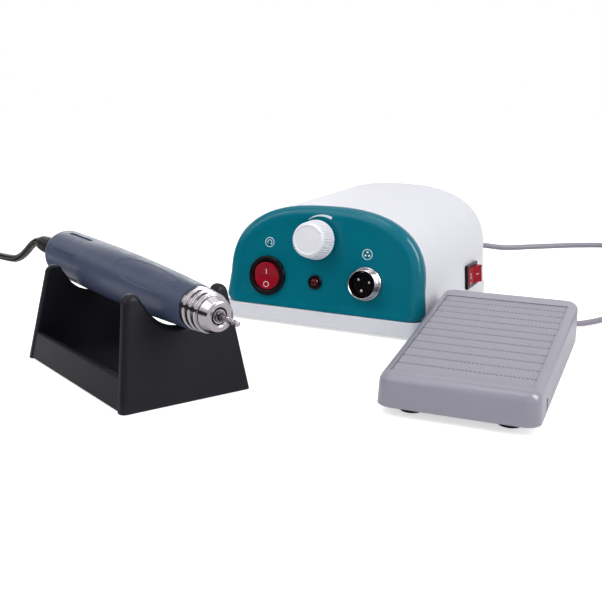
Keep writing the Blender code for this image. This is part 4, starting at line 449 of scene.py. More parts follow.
def lathed(name: str, profile: Profile, finish: "Finish", place: Grid, soft: float = 0.0003,
           closed: bool = False, steps: int = 96) -> Piece:
    """A turned piece: its profile's corners are rounded, and it is turned round its frame's Z."""
    rounded = soften(profile, soft, closed=closed)
    return Skin().sheet(lathe(rounded, steps), around=True, along=closed).make(name, finish, place)


def ribbon(path: Grid, width: Grid | float, low: float, high: Callable[[Grid], Grid] | float,
           joined: bool = False) -> Skin:
    """A flat printed or moulded line on a surface.

    The section at each point of the path is a rectangle: the width across the path, and from
    low to high above the surface. High may be a function of the point's place.

    Args:
        path: points (x, y).
        width: full width, one value or one for each point.
        low: height of the underside over the surface.
        high: height of the top over z = 0, or a function that gives the surface's own height.
        joined: whether the path closes on itself.

    Returns:
        The skin, ready to be made.
    """
    if joined:
        ahead = np.roll(path, -1, 0) - np.roll(path, 1, 0)
    else:
        ahead = np.gradient(path, axis=0)
    side = unit(np.stack([-ahead[:, 1], ahead[:, 0]], 1)) * (np.broadcast_to(width, len(path)) / 2)[:, None]
    base = high if callable(high) else (lambda spot: np.full(len(spot), high))
    thick = 0.00008
    left, right = path + side, path - side
    rows = np.stack([np.column_stack([left, base(left) + low]), np.column_stack([left, base(left) + low + thick]),
                     np.column_stack([right, base(right) + low + thick]),
                     np.column_stack([right, base(right) + low])], 1)
    skin = Skin().sheet(rows, around=True, along=joined)
    if not joined:
        skin.lid(rows[0]).lid(rows[-1])
    return skin


def tube_rings(path: Grid, radius: Grid | float, steps: int = 20) -> Grid:
    """Grid of a round tube: a circle square to the path at each of its points.

    The circle's first axis is level, the cross product of the path's heading and +Z.

    Args:
        path: middle line.
        radius: one value, or one for each point.
        steps: points round the circle.

    Returns:
        The grid, one row for each point of the path.
    """
    heading = unit(np.gradient(path, axis=0))
    level = unit(np.cross(heading, (0, 0, 1)))
    upward = np.cross(level, heading)
    bearing = whole_turn(steps)[None, :, None]
    reach = np.broadcast_to(radius, len(path))[:, None, None]
    return path[:, None] + reach * (level[:, None] * np.cos(bearing) + upward[:, None] * np.sin(bearing))


def within(spots: Grid, loop: Grid) -> Grid:
    """Which points lie inside a loop, by how many of its sides a level ray crosses.

    Args:
        spots: points (x, y) to test.
        loop: points (x, y) round the loop.

    Returns:
        True for each point inside.
    """
    ahead = np.roll(loop, -1, 0)
    x, y = spots[:, :1], spots[:, 1:]
    spans = (loop[:, 1] > y) != (ahead[:, 1] > y)
    rise = np.where(ahead[:, 1] == loop[:, 1], 1e-12, ahead[:, 1] - loop[:, 1])
    meets = loop[:, 0] + (y - loop[:, 1]) / rise * (ahead[:, 0] - loop[:, 0])
    return (spans & (x < meets)).sum(1) % 2 == 1


def pierced(outline: Grid, holes: Sequence[Grid]) -> tuple[Grid, list[list[int]]]:
    """Flat triangles between an outline and its holes, by constrained Delaunay.

    Args:
        outline: points (x, y) round the plate.
        holes: points round each hole.

    Returns:
        The points (x, y) and the triangles between them.
    """
    edges, start = [], 0
    for loop in (outline, *holes):
        edges += [(start + i, start + (i + 1) % len(loop)) for i in range(len(loop))]
        start += len(loop)
    flat = [Vector(point) for point in np.vstack([outline, *holes])]
    spots, _, faces, *_ = delaunay_2d_cdt(flat, edges, [], 1, 1e-7)
    points = np.array([tuple(spot) for spot in spots])
    middles = np.array([points[list(face)].mean(0) for face in faces])
    open_part = np.any([within(middles, hole) for hole in holes], axis=0)
    return points, [list(face) for face, cut in zip(faces, open_part) if not cut]


def attach(piece: Piece, body: Body | None, slot: str, *nodes: str) -> Piece:
    """Put a piece on the body it rides on, hide the solids it stands for, and log both.

    Args:
        piece: the visible piece.
        body: the body it rides on, none for a piece bent between two.
        slot: the part finish that it stands in for, which is not used.
        nodes: the solids that it replaces.

    Returns:
        The piece.
    """
    if body:
        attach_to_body(piece, body.value)
    if nodes:
        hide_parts(*nodes)
    LOG.info("%s rides on %s and stands for %s", piece.name, body.value if body else "two bodies",
             ", ".join(nodes) or "no solid")
    return piece


# Finishes
class Board:
    """Short ways to add and join the nodes of one material."""

    def __init__(self, name: str) -> None:
        """Start a material with its Principled shader.

        Args:
            name: the material's name.
        """
        self.material = bpy.data.materials.new(name)
        self.material.use_nodes = True
        self.tree = self.material.node_tree
        self.shader = self.tree.nodes["Principled BSDF"]

    def add(self, kind: str, links: dict[str | int, object] | None = None, **values: object) -> bpy.types.Node:
        """Add a node, set its own options, and set or join its sockets.

        Args:
            kind: the node's type, less its prefix.
            links: what goes into each of its sockets.
            values: the node's own options.

        Returns:
            The node.
        """
        node = self.tree.nodes.new("ShaderNode" + kind)
        for option, value in values.items():
            setattr(node, option, value)
        for socket, value in (links or {}).items():
            self.set(node, socket, value)
        return node

    def set(self, node: bpy.types.Node, socket: str | int, value: object) -> None:
        """Join an output to a socket, or write a plain value on it.

        Args:
            node: the node.
            socket: its input, by name or number.
            value: an output to join, or a plain value.
        """
        if isinstance(value, Socket):
            self.tree.links.new(value, node.inputs[socket])
        else:
            node.inputs[socket].default_value = value

    def plain(self, **values: object) -> None:
        """Write flat values on the shader's own sockets, or join them."""
        for socket, value in values.items():
            self.set(self.shader, socket.replace("_", " "), value)

    def spots(self, scale: Sequence[float] = (1, 1, 1), turn: Sequence[float] = (0, 0, 0),
              surface: bool = False) -> Socket:
        """Coordinates of the object, or of its surface in metres, scaled and turned."""
        source = self.add("TexCoord").outputs["UV" if surface else "Object"]
        return self.add("Mapping", {"Vector": source, "Scale": scale, "Rotation": turn}).outputs["Vector"]

    def noise(self, spots: Socket, scale: float, detail: float = 2.0) -> Socket:
        """Soft noise from 0 to 1."""
        return self.add("TexNoise", {"Vector": spots, "Scale": scale, "Detail": detail}).outputs["Fac"]

    def span(self, value: Socket, low: float, high: float, first: float, last: float) -> Socket:
        """A value carried from one range to another and held within it."""
        return self.add("MapRange", {"Value": value, "From Min": low, "From Max": high, "To Min": first,
                                     "To Max": last}).outputs["Result"]

    def tint(self, share: Socket, low: Sequence[float], high: Sequence[float]) -> Socket:
        """Colour between two colours by a share.

        Args:
            share: from 0 to 1.
            low: the colour at 0.
            high: the colour at 1.

        Returns:
            The mixed colour.
        """
        node = self.add("Mix", data_type="RGBA")
        self.set(node, 0, share)
        self.set(node, 6, (*low, 1.0))
        self.set(node, 7, (*high, 1.0))
        return node.outputs[2]

    def over(self, share: Socket, under: Socket, high: Sequence[float]) -> Socket:
        """A colour laid over another by a share.

        Args:
            share: from 0 to 1.
            under: the colour below.
            high: the plain colour on top.

        Returns:
            The mixed colour.
        """
        node = self.add("Mix", data_type="RGBA")
        self.set(node, 0, share)
        self.set(node, 6, under)
        self.set(node, 7, (*high, 1.0))
        return node.outputs[2]

    def sum(self, first: Socket, second: Socket | float, way: str = "ADD") -> Socket:
        """Arithmetic on two values."""
        return self.add("Math", {0: first, 1: second}, operation=way).outputs[0]

    def bump(self, height: Socket, distance: float, under: Socket | None = None) -> Socket:
        """Relief of a height in metres, over another relief.

        Args:
            height: the relief, from 0 to 1.
            distance: its full height in metres.
            under: the relief below it.

        Returns:
            The normal.
        """
        links: dict[str | int, object] = {"Height": height, "Distance": distance, "Strength": 1.0}
        if under is not None:
            links["Normal"] = under
        return self.add("Bump", links).outputs["Normal"]

    def edges(self, low: float = 0.52, high: float = 0.60) -> Socket:
        """Share that rises on outer edges, for wear."""
        source = self.add("NewGeometry").outputs["Pointiness"]
        return self.span(source, low, high, 0.0, 1.0)


def scaled(colour: Sequence[float], share: float) -> tuple[float, ...]:
    """A colour made lighter or darker."""
    return tuple(min(1.0, channel * share) for channel in colour)


@dataclass(frozen=True)
class Finish:
    """What a piece is made of: its name, colour in linear light, roughness and gloss."""

    name: str
    colour: Point
    roughness: float = 0.45
    specular: float = 0.5
    coat: float = 0.0
    metallic: float = 0.0

    def material(self) -> bpy.types.Material:
        """The material, made once, under a name that none of the model's own materials has."""
        return bpy.data.materials.get(f"{self.name}_finish") or self.dress()

    def dress(self) -> bpy.types.Material:
        """Make the material: flat values first, then what varies over the surface.

        Returns:
            The material.
        """
        board = Board(f"{self.name}_finish")
        board.plain(Metallic=self.metallic, Specular_IOR_Level=self.specular, Coat_Weight=self.coat,
                    Coat_Roughness=0.08)
        board.material.diffuse_color = (*self.colour, 1.0)
        self.detail(board)
        return board.material

    def tones(self, board: Board, share: Socket, dark: float, light: float) -> Socket:
        """The colour, from a darker to a lighter tone by a share."""
        return board.tint(share, scaled(self.colour, dark), scaled(self.colour, light))

    def roughen(self, board: Board, share: Socket, less: float, more: float, low: float = 0.3,
                high: float = 0.7) -> None:
        """Let the roughness vary about its plain value by a share."""
        board.plain(Roughness=board.span(share, low, high, self.roughness - less, self.roughness + more))

    def detail(self, board: Board) -> None:
        """Add the colour, roughness and relief that vary."""
        board.plain(Base_Color=(*self.colour, 1.0), Roughness=self.roughness)


@dataclass(frozen=True)
class Moulded(Finish):
    """Moulded plastic: fine spark-eroded grain, faint flow marks, and edges rubbed lighter."""

    grain: float = 0.00028
    depth: float = 0.000010
    flow: float = 0.03
    wear: float = 0.10

    def detail(self, board: Board) -> None:
        """Grain is a cell noise; flow marks and smears are slow noises.

        Args:
            board: the material's board.
        """
        spots = board.spots()
        slow = board.noise(spots, 28.0, 4.0)
        base = self.tones(board, slow, 1 - self.flow, 1 + self.flow)
        rubbed = board.sum(board.edges(), board.noise(spots, 240.0, 3.0), "MULTIPLY")
        rubbed = board.sum(rubbed, self.wear * 2, "MULTIPLY")
        light = tuple(0.55 * channel + 0.30 for channel in self.colour)
        board.plain(Base_Color=board.over(rubbed, base, light))
        smears = board.noise(board.spots((1, 1, 0.35)), 34.0, 1.0)
        self.roughen(board, smears, 0.02, 0.02, 0.2, 0.8)
        grain = board.noise(spots, 1 / self.grain, 1.5)
        broad = board.noise(spots, 55.0, 1.0)
        board.plain(Normal=board.bump(grain, self.depth, board.bump(broad, 0.00004)))


@dataclass(frozen=True)
class Glossy(Finish):
    """Glossy moulded plastic: nearly smooth, with faint ripples, smears and tiny specks."""

    ripple: float = 0.00006

    def detail(self, board: Board) -> None:
        """Ripples are a slow relief; specks are sparse cells that are a little duller.

        Args:
            board: the material's board.
        """
        spots = board.spots()
        slow = board.noise(spots, 22.0, 3.0)
        board.plain(Base_Color=self.tones(board, slow, 0.96, 1.04))
        cells = board.add("TexVoronoi", {"Vector": spots, "Scale": 420.0}, feature="F1").outputs["Distance"]
        specks = board.span(cells, 0.06, 0.11, 0.16, 0.0)
        smears = board.span(board.noise(board.spots((1, 1, 0.3)), 60.0, 5.0), 0.35, 0.7,
                            self.roughness - 0.04, self.roughness + 0.05)
        board.plain(Roughness=board.sum(smears, specks))
        fine = board.noise(spots, 1500.0, 1.0)
        board.plain(Normal=board.bump(fine, 0.000004, board.bump(board.noise(spots, 30.0, 1.0), self.ripple)))


@dataclass(frozen=True)
class TurnedMetal(Finish):
    """Turned and polished metal: fine tool marks round the axis, with slight stains.

    The marks are a noise that depends only on the distance down the turned profile.
    """

    metallic: float = 1.0
    pitch: float = 0.00012
    relief: float = 0.0000022

    def detail(self, board: Board) -> None:
        """Fine and broad marks down the profile, and a soft stain over the whole.

        Args:
            board: the material's board.
        """
        fine = board.noise(board.spots((0.0, 1.0, 0.0), surface=True), 1 / self.pitch, 3.0)
        broad = board.noise(board.spots((0.0, 1.0, 0.0), surface=True), 0.12 / self.pitch, 2.0)
        stain = board.noise(board.spots(), 170.0, 4.0)
        mixed = board.sum(board.sum(fine, 0.5, "MULTIPLY"), board.sum(stain, 0.5, "MULTIPLY"))
        board.plain(Base_Color=self.tones(board, mixed, 0.86, 1.10), Anisotropic=0.35)
        self.roughen(board, mixed, 0.05, 0.09)
        board.plain(Normal=board.bump(fine, self.relief, board.bump(broad, self.relief * 4)))


@dataclass(frozen=True)
class Machined(Finish):
    """Metal or hard plastic inside the units: fine scratches along one axis, and slight stains."""

    scratch: float = 0.000004

    def detail(self, board: Board) -> None:
        """Scratches are a noise drawn out along one axis; stains are a slow noise.

        Args:
            board: the material's board.
        """
        lines = board.noise(board.spots((1.0, 0.06, 1.0)), 2600.0, 2.0)
        stain = board.noise(board.spots(), 190.0, 4.0)
        board.plain(Base_Color=self.tones(board, stain, 0.84, 1.12))
        self.roughen(board, stain, 0.06, 0.10)
        board.plain(Normal=board.bump(lines, self.scratch))


@dataclass(frozen=True)
class Satin(Finish):
    """Satin paint on the handpiece: a fine even grain, soft sheen and faint finger marks."""

    def detail(self, board: Board) -> None:
        """Grain, a slow drift of tone, and patches that are a little glossier.

        Args:
            board: the material's board.
        """
        spots = board.spots()
        slow = board.noise(spots, 34.0, 3.0)
        base = self.tones(board, slow, 0.94, 1.07)
        worn = board.sum(board.edges(0.53, 0.62), 0.35, "MULTIPLY")
        board.plain(Base_Color=board.over(worn, base, scaled(self.colour, 2.1)))
        marks = board.noise(board.spots((1, 1, 1.6)), 95.0, 5.0)
        self.roughen(board, marks, 0.08, 0.06, 0.32, 0.7)
        grain = board.noise(spots, 5200.0, 1.5)
        board.plain(Normal=board.bump(grain, 0.000006, board.bump(board.noise(spots, 700.0, 2.0), 0.000008)))


@dataclass(frozen=True)
class Rubber(Finish):
    """Soft rubber: a matt skin with a fine grain, and dust that gathers in the hollows."""

    dust: float = 0.10

    def detail(self, board: Board) -> None:
        """Dust lies where the surface is hollow, broken up by noise.

        Args:
            board: the material's board.
        """
        spots = board.spots()
        hollow = board.span(board.add("NewGeometry").outputs["Pointiness"], 0.42, 0.5, 1.0, 0.0)
        broken = board.sum(hollow, board.noise(spots, 520.0, 4.0), "MULTIPLY")
        base = self.tones(board, board.noise(spots, 60.0, 3.0), 0.88, 1.12)
        pale = tuple(0.5 * channel + 0.12 for channel in self.colour)
        board.plain(Base_Color=board.over(board.sum(broken, self.dust * 3, "MULTIPLY"), base, pale))
        self.roughen(board, board.noise(spots, 130.0, 4.0), 0.07, 0.07)
        board.plain(Normal=board.bump(board.noise(spots, 3400.0, 2.0), 0.000014))


@dataclass(frozen=True)
class Sheath(Finish):
    """Cord sheath: faint rings from the extruder, a soft lay under the skin, and slight scuffs.

    It reads the surface's own coordinates, so the marks follow the cord.
    """

    lay: float = 0.011

    def detail(self, board: Board) -> None:
        """The lay is a wave that runs at a slant round the cord.

        Args:
            board: the material's board.
        """
        surface = board.spots((1, 1, 1), surface=True)
        slanted = board.spots((1.2, 1.0, 1.0), (0, 0, 0.9), surface=True)
        wave = board.add("TexWave", {"Vector": slanted, "Scale": 1 / self.lay / 2, "Distortion": 0.4,
                                     "Detail": 1.0}, wave_profile="SIN").outputs["Fac"]
        scuffs = board.noise(surface, 190.0, 5.0)
        board.plain(Base_Color=self.tones(board, scuffs, 0.88, 1.14))
        self.roughen(board, scuffs, 0.08, 0.10, 0.3, 0.72)
        rings = board.noise(board.spots((0.15, 1.0, 1.0), surface=True), 1600.0, 2.0)
        board.plain(Normal=board.bump(rings, 0.000012, board.bump(wave, 0.00002)))


@dataclass(frozen=True)
class Tinted(Finish):
    """Clear tinted plastic with a faceted lens pattern inside, over a coloured body."""

    facet: float = 0.0011

    def detail(self, board: Board) -> None:
        """Facets show through as cells of lighter and darker tone.

        Args:
            board: the material's board.
        """
        spots = board.spots()
        cells = board.add("TexVoronoi", {"Vector": spots, "Scale": 1 / self.facet}, feature="F1").outputs["Distance"]
        shade = board.sum(board.span(cells, 0.0, 0.75, 1.0, 0.0),
                          board.span(board.noise(spots, 330.0, 3.0), 0.3, 0.7, 0.0, 1.0), "MULTIPLY")
        board.plain(Base_Color=self.tones(board, shade, 0.82, 1.22), IOR=1.49)
        self.roughen(board, board.noise(spots, 150.0, 4.0), 0.04, 0.07)
        board.plain(Normal=board.bump(board.noise(spots, 900.0, 2.0), 0.000010))


@dataclass(frozen=True)
class RibbedMat(Finish):
    """Pedal mat: rubber with a fine knurl of two crossing sets of ridges.

    Each set is a sine wave across its own direction; the height is their product.
    """

    pitch: float = 0.0012
    turn: float = 0.0

    def detail(self, board: Board) -> None:
        """Knurl in relief with painted shade in the hollows between its ridges and in the pressed grooves, and slow
        wear over the middle of the mat.

        Args:
            board: the material's board.
        """
        height = None
        for slant in (math.radians(58.0), math.radians(-58.0)):
            wave = board.add("TexWave", {"Vector": board.spots((1, 1, 0), (0, 0, slant - self.turn)),
                                         "Scale": 1 / self.pitch / 3.0, "Distortion": 0.0},
                             bands_direction="X").outputs["Fac"]
            height = wave if height is None else board.sum(height, wave, "MULTIPLY")
        slow = board.noise(board.spots(), 45.0, 4.0)
        base = self.tones(board, slow, 0.95, 1.05)
        # Painted shade: the low places between the knurl's ridges are darkened to about half the mat's colour.
        painted_pit_shade = board.span(height, 0.0, 0.50, 0.95, 0.0)
        knurl_with_painted_shade = board.over(painted_pit_shade, base, scaled(self.colour, 0.52))
        # Painted shade: where pointiness finds a hollow, in the pressed grooves, the colour is darkened to about a
        # sixth.
        hollow = board.span(board.add("NewGeometry").outputs["Pointiness"], 0.44, 0.496, 1.0, 0.0)
        board.plain(Base_Color=board.over(hollow, knurl_with_painted_shade, scaled(self.colour, 0.16)))
        self.roughen(board, slow, 0.05, 0.08)
        grain = board.noise(board.spots(), 2600.0, 2.0)
        board.plain(Normal=board.bump(height, 0.00012, board.bump(grain, 0.000012)))


@dataclass(frozen=True)
class Ink(Finish):
    """Printed ink: nearly even, a little thin in places."""

    def detail(self, board: Board) -> None:
        """Thin places let a darker tone through.

        Args:
            board: the material's board.
        """
        thin = board.noise(board.spots(), 1900.0, 3.0)
        board.plain(Base_Color=board.tint(board.span(thin, 0.35, 0.6, 0.0, 1.0), scaled(self.colour, 0.90),
                                          self.colour))
        self.roughen(board, thin, 0.08, 0.08)


@dataclass(frozen=True)
class Layered(Finish):
    """Wound or stacked metal inside the box and the motor: thin layers seen as fine bands."""

    pitch: float = 0.0006
    gap: float = 0.35

    def detail(self, board: Board) -> None:
        """Bands are a sine wave along one axis of the part.

        Args:
            board: the material's board.
        """
        wave = board.add("TexWave", {"Vector": board.spots(), "Scale": 1 / self.pitch / 3.0, "Distortion": 0.8,
                                     "Detail": 1.0}, bands_direction="Y").outputs["Fac"]
        board.plain(Base_Color=board.tint(wave, scaled(self.colour, self.gap), self.colour))
        self.roughen(board, board.noise(board.spots(), 300.0, 3.0), 0.08, 0.1)
        board.plain(Normal=board.bump(wave, 0.00005))


WHITE = Moulded("white_moulding", (0.785, 0.787, 0.842), 0.50, 0.04, depth=0.000006, flow=0.010, wear=0.0)
TEAL = Glossy("teal_moulding", (0.0003, 0.156, 0.218), 0.19, 0.14, coat=0.06)
BLACK = Moulded("black_moulding", (0.0098, 0.0092, 0.0140), 0.40, 0.12, wear=0.03, flow=0.15)
GLOSS_BLACK = Moulded("black_switch_plastic", (0.0060, 0.0045, 0.0060), 0.24, 0.10, wear=0.02, flow=0.08)
RED = Tinted("red_rocker_plastic", (0.350, 0.0045, 0.018), 0.24, 0.12, coat=0.08)
LENS = Tinted("red_lamp_lens", (0.070, 0.0012, 0.004), 0.10, 0.16, coat=0.12, facet=0.0016)
KNOB_WHITE = Moulded("knob_white", (0.860, 0.860, 0.915), 0.42, 0.30, depth=0.000006, flow=0.008, wear=0.0)
STEEL = TurnedMetal("polished_steel", (0.400, 0.374, 0.396), 0.16)
# Collet steel: darker than the bright steel, partly its own duller tone and partly painted shade for the deep mouth of
# the chuck it sits in.
COLLET_STEEL_WITH_SHADE = TurnedMetal("collet_steel_with_shade", (0.170, 0.155, 0.165), 0.28, relief=0.000005)
SLEEVE = Satin("blue_grey_satin", (0.053, 0.068, 0.118), 0.38, 0.22)
RUBBER = Rubber("black_rubber", (0.010, 0.0085, 0.010), 0.42, 0.16, dust=0.04)
PEDAL_GREY = Moulded("pedal_grey", (0.290, 0.278, 0.340), 0.30, 0.38, depth=0.000008, flow=0.02, wear=0.0)
MAT_GREY = RibbedMat("mat_grey", (0.470, 0.455, 0.525), 0.55, 0.22, pitch=0.00100, turn=math.radians(2.96))
GREY_LEAD = Sheath("grey_lead", (0.265, 0.246, 0.296), 0.40, 0.26)
BLACK_LEAD = Sheath("black_lead", (0.0105, 0.0085, 0.0095), 0.30, 0.20)
WHITE_INK = Ink("white_ink", (0.80, 0.89, 0.93), 0.55)
BLACK_INK = Ink("black_ink", (0.012, 0.010, 0.013), 0.40, 0.15)
MARK_INK = Ink("rocker_mark", (0.86, 0.66, 0.68), 0.45)
IRON = Layered("laminated_iron", (0.16, 0.16, 0.17), 0.5, metallic=1.0)
COPPER = Layered("wound_copper", (0.55, 0.22, 0.10), 0.35, metallic=1.0, pitch=0.0005)
BOARD_GREEN = Moulded("board_green", (0.015, 0.130, 0.050), 0.35, 0.5, flow=0.15)
CARBON = Rubber("pressed_carbon", (0.030, 0.030, 0.030), 0.60, dust=0.05)
BUSH_PLASTIC = Machined("black_part_plastic", (0.030, 0.030, 0.034), 0.45, 0.4)
CAN_STEEL = Machined("drawn_can_steel", (0.42, 0.42, 0.42), 0.38, metallic=1.0)
RACE_STEEL = Machined("ground_steel", (0.55, 0.54, 0.54), 0.24, metallic=1.0)
MAGNET = Machined("sintered_magnet", (0.070, 0.068, 0.070), 0.55, 0.35)


# Places of the units
GAP = 0.0003
SHIFT_X, SHIFT_Y = 0.000693, -0.000166


def unit_place(x: float, y: float, degrees: float) -> Grid:
    """Frame of a unit on the floor."""
    return shifted(x - SHIFT_X, y - SHIFT_Y, 0) @ turned_about(Axis.Z, degrees)


BOX = unit_place(0, 0, 0)
PANEL_LEAN = 7.1
PANEL_LOCAL = shifted(0, 0.0012, 0.0101) @ turned_about(Axis.X, 90 - PANEL_LEAN)
PANEL = BOX @ PANEL_LOCAL
STAND = unit_place(-0.0435, -0.1158, -27.7)
TOOL_X, TOOL_HEIGHT, TOOL_DROP = -0.0783, 0.0456, 1.46
TOOL = STAND @ shifted(TOOL_X, 0, TOOL_HEIGHT) @ turned_about(Axis.Y, 90 + TOOL_DROP)
PEDAL = unit_place(0.1048, -0.0400, 2.96)

# Middles of what sits on the panel, across and up
KNOB_SPOT = (-0.0031, 0.0404)
SWITCH_SPOT = (-0.0333, 0.0172)
LAMP_SPOT = (-0.0031, 0.0163)
SOCKET_SPOT = (0.0272, 0.0185)


# Rear plate: places across it of the cord's relief, the fuse and the jack, their height, its thickness
RELIEF_X, FUSE_X, JACK_X = 0.0420, -0.0380, 0.0020
REAR_ROW, REAR_PLATE = 0.0290, 0.0030


# Control box
@dataclass(frozen=True)
class Arch:
    """An arched outline: straight sides that lean in, and a superellipse over the top."""

    half: float
    lean_in: float
    shoulder: float
    top: float
    power: float = 2.54

    def line(self, inset: float, base: float, steps: int = 220) -> Grid:
        """Points (across, up) from the right foot over the crown to the left foot.

        Across is the half width times the cosine to the power 2/n, up is the rise times the
        sine to the power 2/n, n being the superellipse's power.

        Args:
            inset: how far the outline is drawn in.
            base: height of its foot.
            steps: spans over the crown.

        Returns:
            The points.
        """
        angle = np.linspace(0, math.pi, steps + 1)
        across = np.sign(np.cos(angle)) * np.abs(np.cos(angle)) ** (2 / self.power)
        up = np.clip(np.sin(angle), 0, 1) ** (2 / self.power)
        half = self.half - inset
        crown = np.column_stack([(half - self.lean_in) * across,
                                 self.shoulder + (self.top - inset - self.shoulder) * up])
        return np.vstack([[half, base], crown, [-half, base]])


@dataclass(frozen=True)
class Casing:
    """Arched white shell, tray, rear plate and feet of the control box."""

    depth: float = 0.147
    base_height: float = 0.0098
    wall: float = 0.0026
    panel_depth: float = 0.0076
    lean: float = math.radians(PANEL_LEAN)
    rear_round: float = 0.0024
    foot_gap: float = 0.0012
    tray_floor: float = 0.0024
    corner_x: float = 0.0060
    corner_y: float = 0.0080
    front: Arch = Arch(0.0607, 0.0014, 0.0172, 0.0600)
    rear: Arch = Arch(0.0627, 0.0017, 0.0307, 0.0732)

    def front_arch(self, inset: float, depth: float) -> Grid:
        """The front outline in the panel's frame, at a depth behind its field."""
        line = self.front.line(inset, depth * math.tan(self.lean))
        return lift(line, -depth)

    def row(self, share: float, inset: float) -> Grid:
        """An arch of the shell between its front, share 0, and its rear, share 1.

        Args:
            share: place between the two.
            inset: how far it is drawn in.

        Returns:
            The points.
        """
        first = placed(self.front_arch(inset, self.panel_depth + GAP), PANEL_LOCAL)
        line = self.rear.line(inset, self.base_height + GAP)
        last = np.column_stack([line[:, 0], np.full(len(line), self.depth), line[:, 1]])
        return first + (last - first) * share

    def build_shell(self) -> None:
        """Shell: outer rows from front to rear with rounded rims, inner rows back again."""
        run = self.depth - self.panel_depth
        turn = np.linspace(0, math.pi / 2, 9)[1:]
        rows = [(0.0, 0.0003), (0.0004 / run, 0.00008), (0.0010 / run, 0), (0.0030 / run, 0)]
        rows += [(share, 0) for share in np.linspace(0.06, 0.94, 23)]
        rows += [(1 - 1.15 * self.rear_round / run, 0), (1 - self.rear_round / run, 0)]
        rows += [(1 - self.rear_round * (1 - math.sin(a)) / run, self.rear_round * (1 - math.cos(a)))
                 for a in turn]
        rows += [(share, self.wall) for share in (1.0, 0.9, 0.5, 0.1, 0.0)]
        grid = np.stack([self.row(share, inset) for share, inset in rows])
        skin = Skin().sheet(grid, along=True).lid(grid[:, 0]).lid(grid[:, -1])
        attach(skin.make("console_shell", WHITE, BOX), Body.BASE, "white_shell", "top_shell")

    def tray_ring(self, inset: float, height: float) -> Grid:
        """Plan of the tray: round front corners, and sides that follow the shell's feet.

        Args:
            inset: how far it is drawn in.
            height: its height.

        Returns:
            The points.
        """
        front = self.front.half + self.front.lean_in / self.front.shoulder * (self.base_height - height) - inset
        rear = front + self.rear.half - self.front.half
        radius = np.array([self.corner_x, self.corner_y]) - inset / 2
        first, last = np.pi * (1 + np.linspace(0, 0.5, 13)), np.pi * (1.5 + np.linspace(0, 0.5, 13))
        left = np.stack([-front + radius[0] * (1 + np.cos(first)), inset + radius[1] * (1 + np.sin(first))], 1)
        right = np.stack([front - radius[0] * (1 - np.cos(last)), inset + radius[1] * (1 + np.sin(last))], 1)
        back = [(rear, self.depth - inset), (-rear, self.depth - inset)]
        return lift(np.vstack([left, right, back]), height)

    def build_tray(self) -> None:
        """Tray with a rounded lower edge, a rim and four posts for the circuit board."""
        bottom = self.foot_gap + GAP
        top = self.base_height + GAP * 0.8
        profile = soften([(0.0040, bottom), (0, bottom), (0, top), (self.wall, top),
                          (self.wall, bottom + self.tray_floor), (0.0080, bottom + self.tray_floor)], 0.00030)
        skin = Skin().column([self.tray_ring(inset, height) for inset, height in profile])
        floor = bottom + self.tray_floor
        for x, y in ((0.038, 0.067), (-0.038, 0.067), (-0.038, 0.037), (0.038, 0.037)):
            post = soften([(0.0032, floor - 0.0012), (0.0030, floor + 0.005), (0, floor + 0.005)], 0.0004)
            skin.sheet(lathe(post, 32) + (x, y, 0), around=True).lid(lathe(post[:1], 32)[0] + (x, y, 0))
        attach(skin.make("console_tray", WHITE, BOX), Body.BASE, "white_shell", "base_tray")

    def build_rear_plate(self) -> None:
        """Flat plate in the rear of the shell, with three round holes."""
        rings = []
        for depth in (self.depth - 0.0054, self.depth - REAR_PLATE):
            low, high = self.row(0, self.wall + GAP), self.row(1, self.wall + GAP)
            share = (depth - low[:, 1:2]) / (high[:, 1:2] - low[:, 1:2])
            rings.append(low + (high - low) * share)
        holes = [(RELIEF_X, REAR_ROW, 0.0049), (FUSE_X, REAR_ROW, 0.0058), (JACK_X, REAR_ROW, 0.0041)]
        skin = Skin().sheet(np.stack(rings), around=True)
        for ring in rings:
            flat, faces = pierced(ring[:, [0, 2]], [ring_points(r, 48) + (x, z) for x, z, r in holes])
            depth = np.full(len(flat), ring[0, 1])
            skin.flat(np.column_stack([flat[:, 0], depth, flat[:, 1]]), faces)
        for x, z, radius in holes:
            rim = ring_points(radius, 48) + (x, z)
            wall = [np.column_stack([rim[:, 0], np.full(48, ring[0, 1]), rim[:, 1]]) for ring in rings]
            skin.sheet(np.stack(wall), around=True)
        attach(skin.make("rear_plate", WHITE, BOX), Body.BASE, "white_shell", "rear_panel")

    def build_feet(self) -> None:
        """Four round rubber feet with a dished sole."""
        reach = self.front.half - 0.0130
        places = [(reach, 0.0160), (-reach, 0.0160), (-reach, 0.131), (reach, 0.131)]
        for index, (x, y) in enumerate(places):
            profile = [(0, 0.0003), (0.0030, 0.0003), (0.0034, 0.0), (0.0049, 0), (0.0055, self.foot_gap),
                       (0, self.foot_gap)]
            foot = lathed(f"console_foot_{index + 1}", profile, RUBBER, BOX @ shifted(x, y, 0), 0.0002, steps=48)
            attach(foot, Body.BASE, "black_rubber", f"box_foot_{index + 1}")

    def build(self) -> None:
        """Build every piece of the casing."""
        self.build_shell()
        self.build_tray()
        self.build_rear_plate()
        self.build_feet()


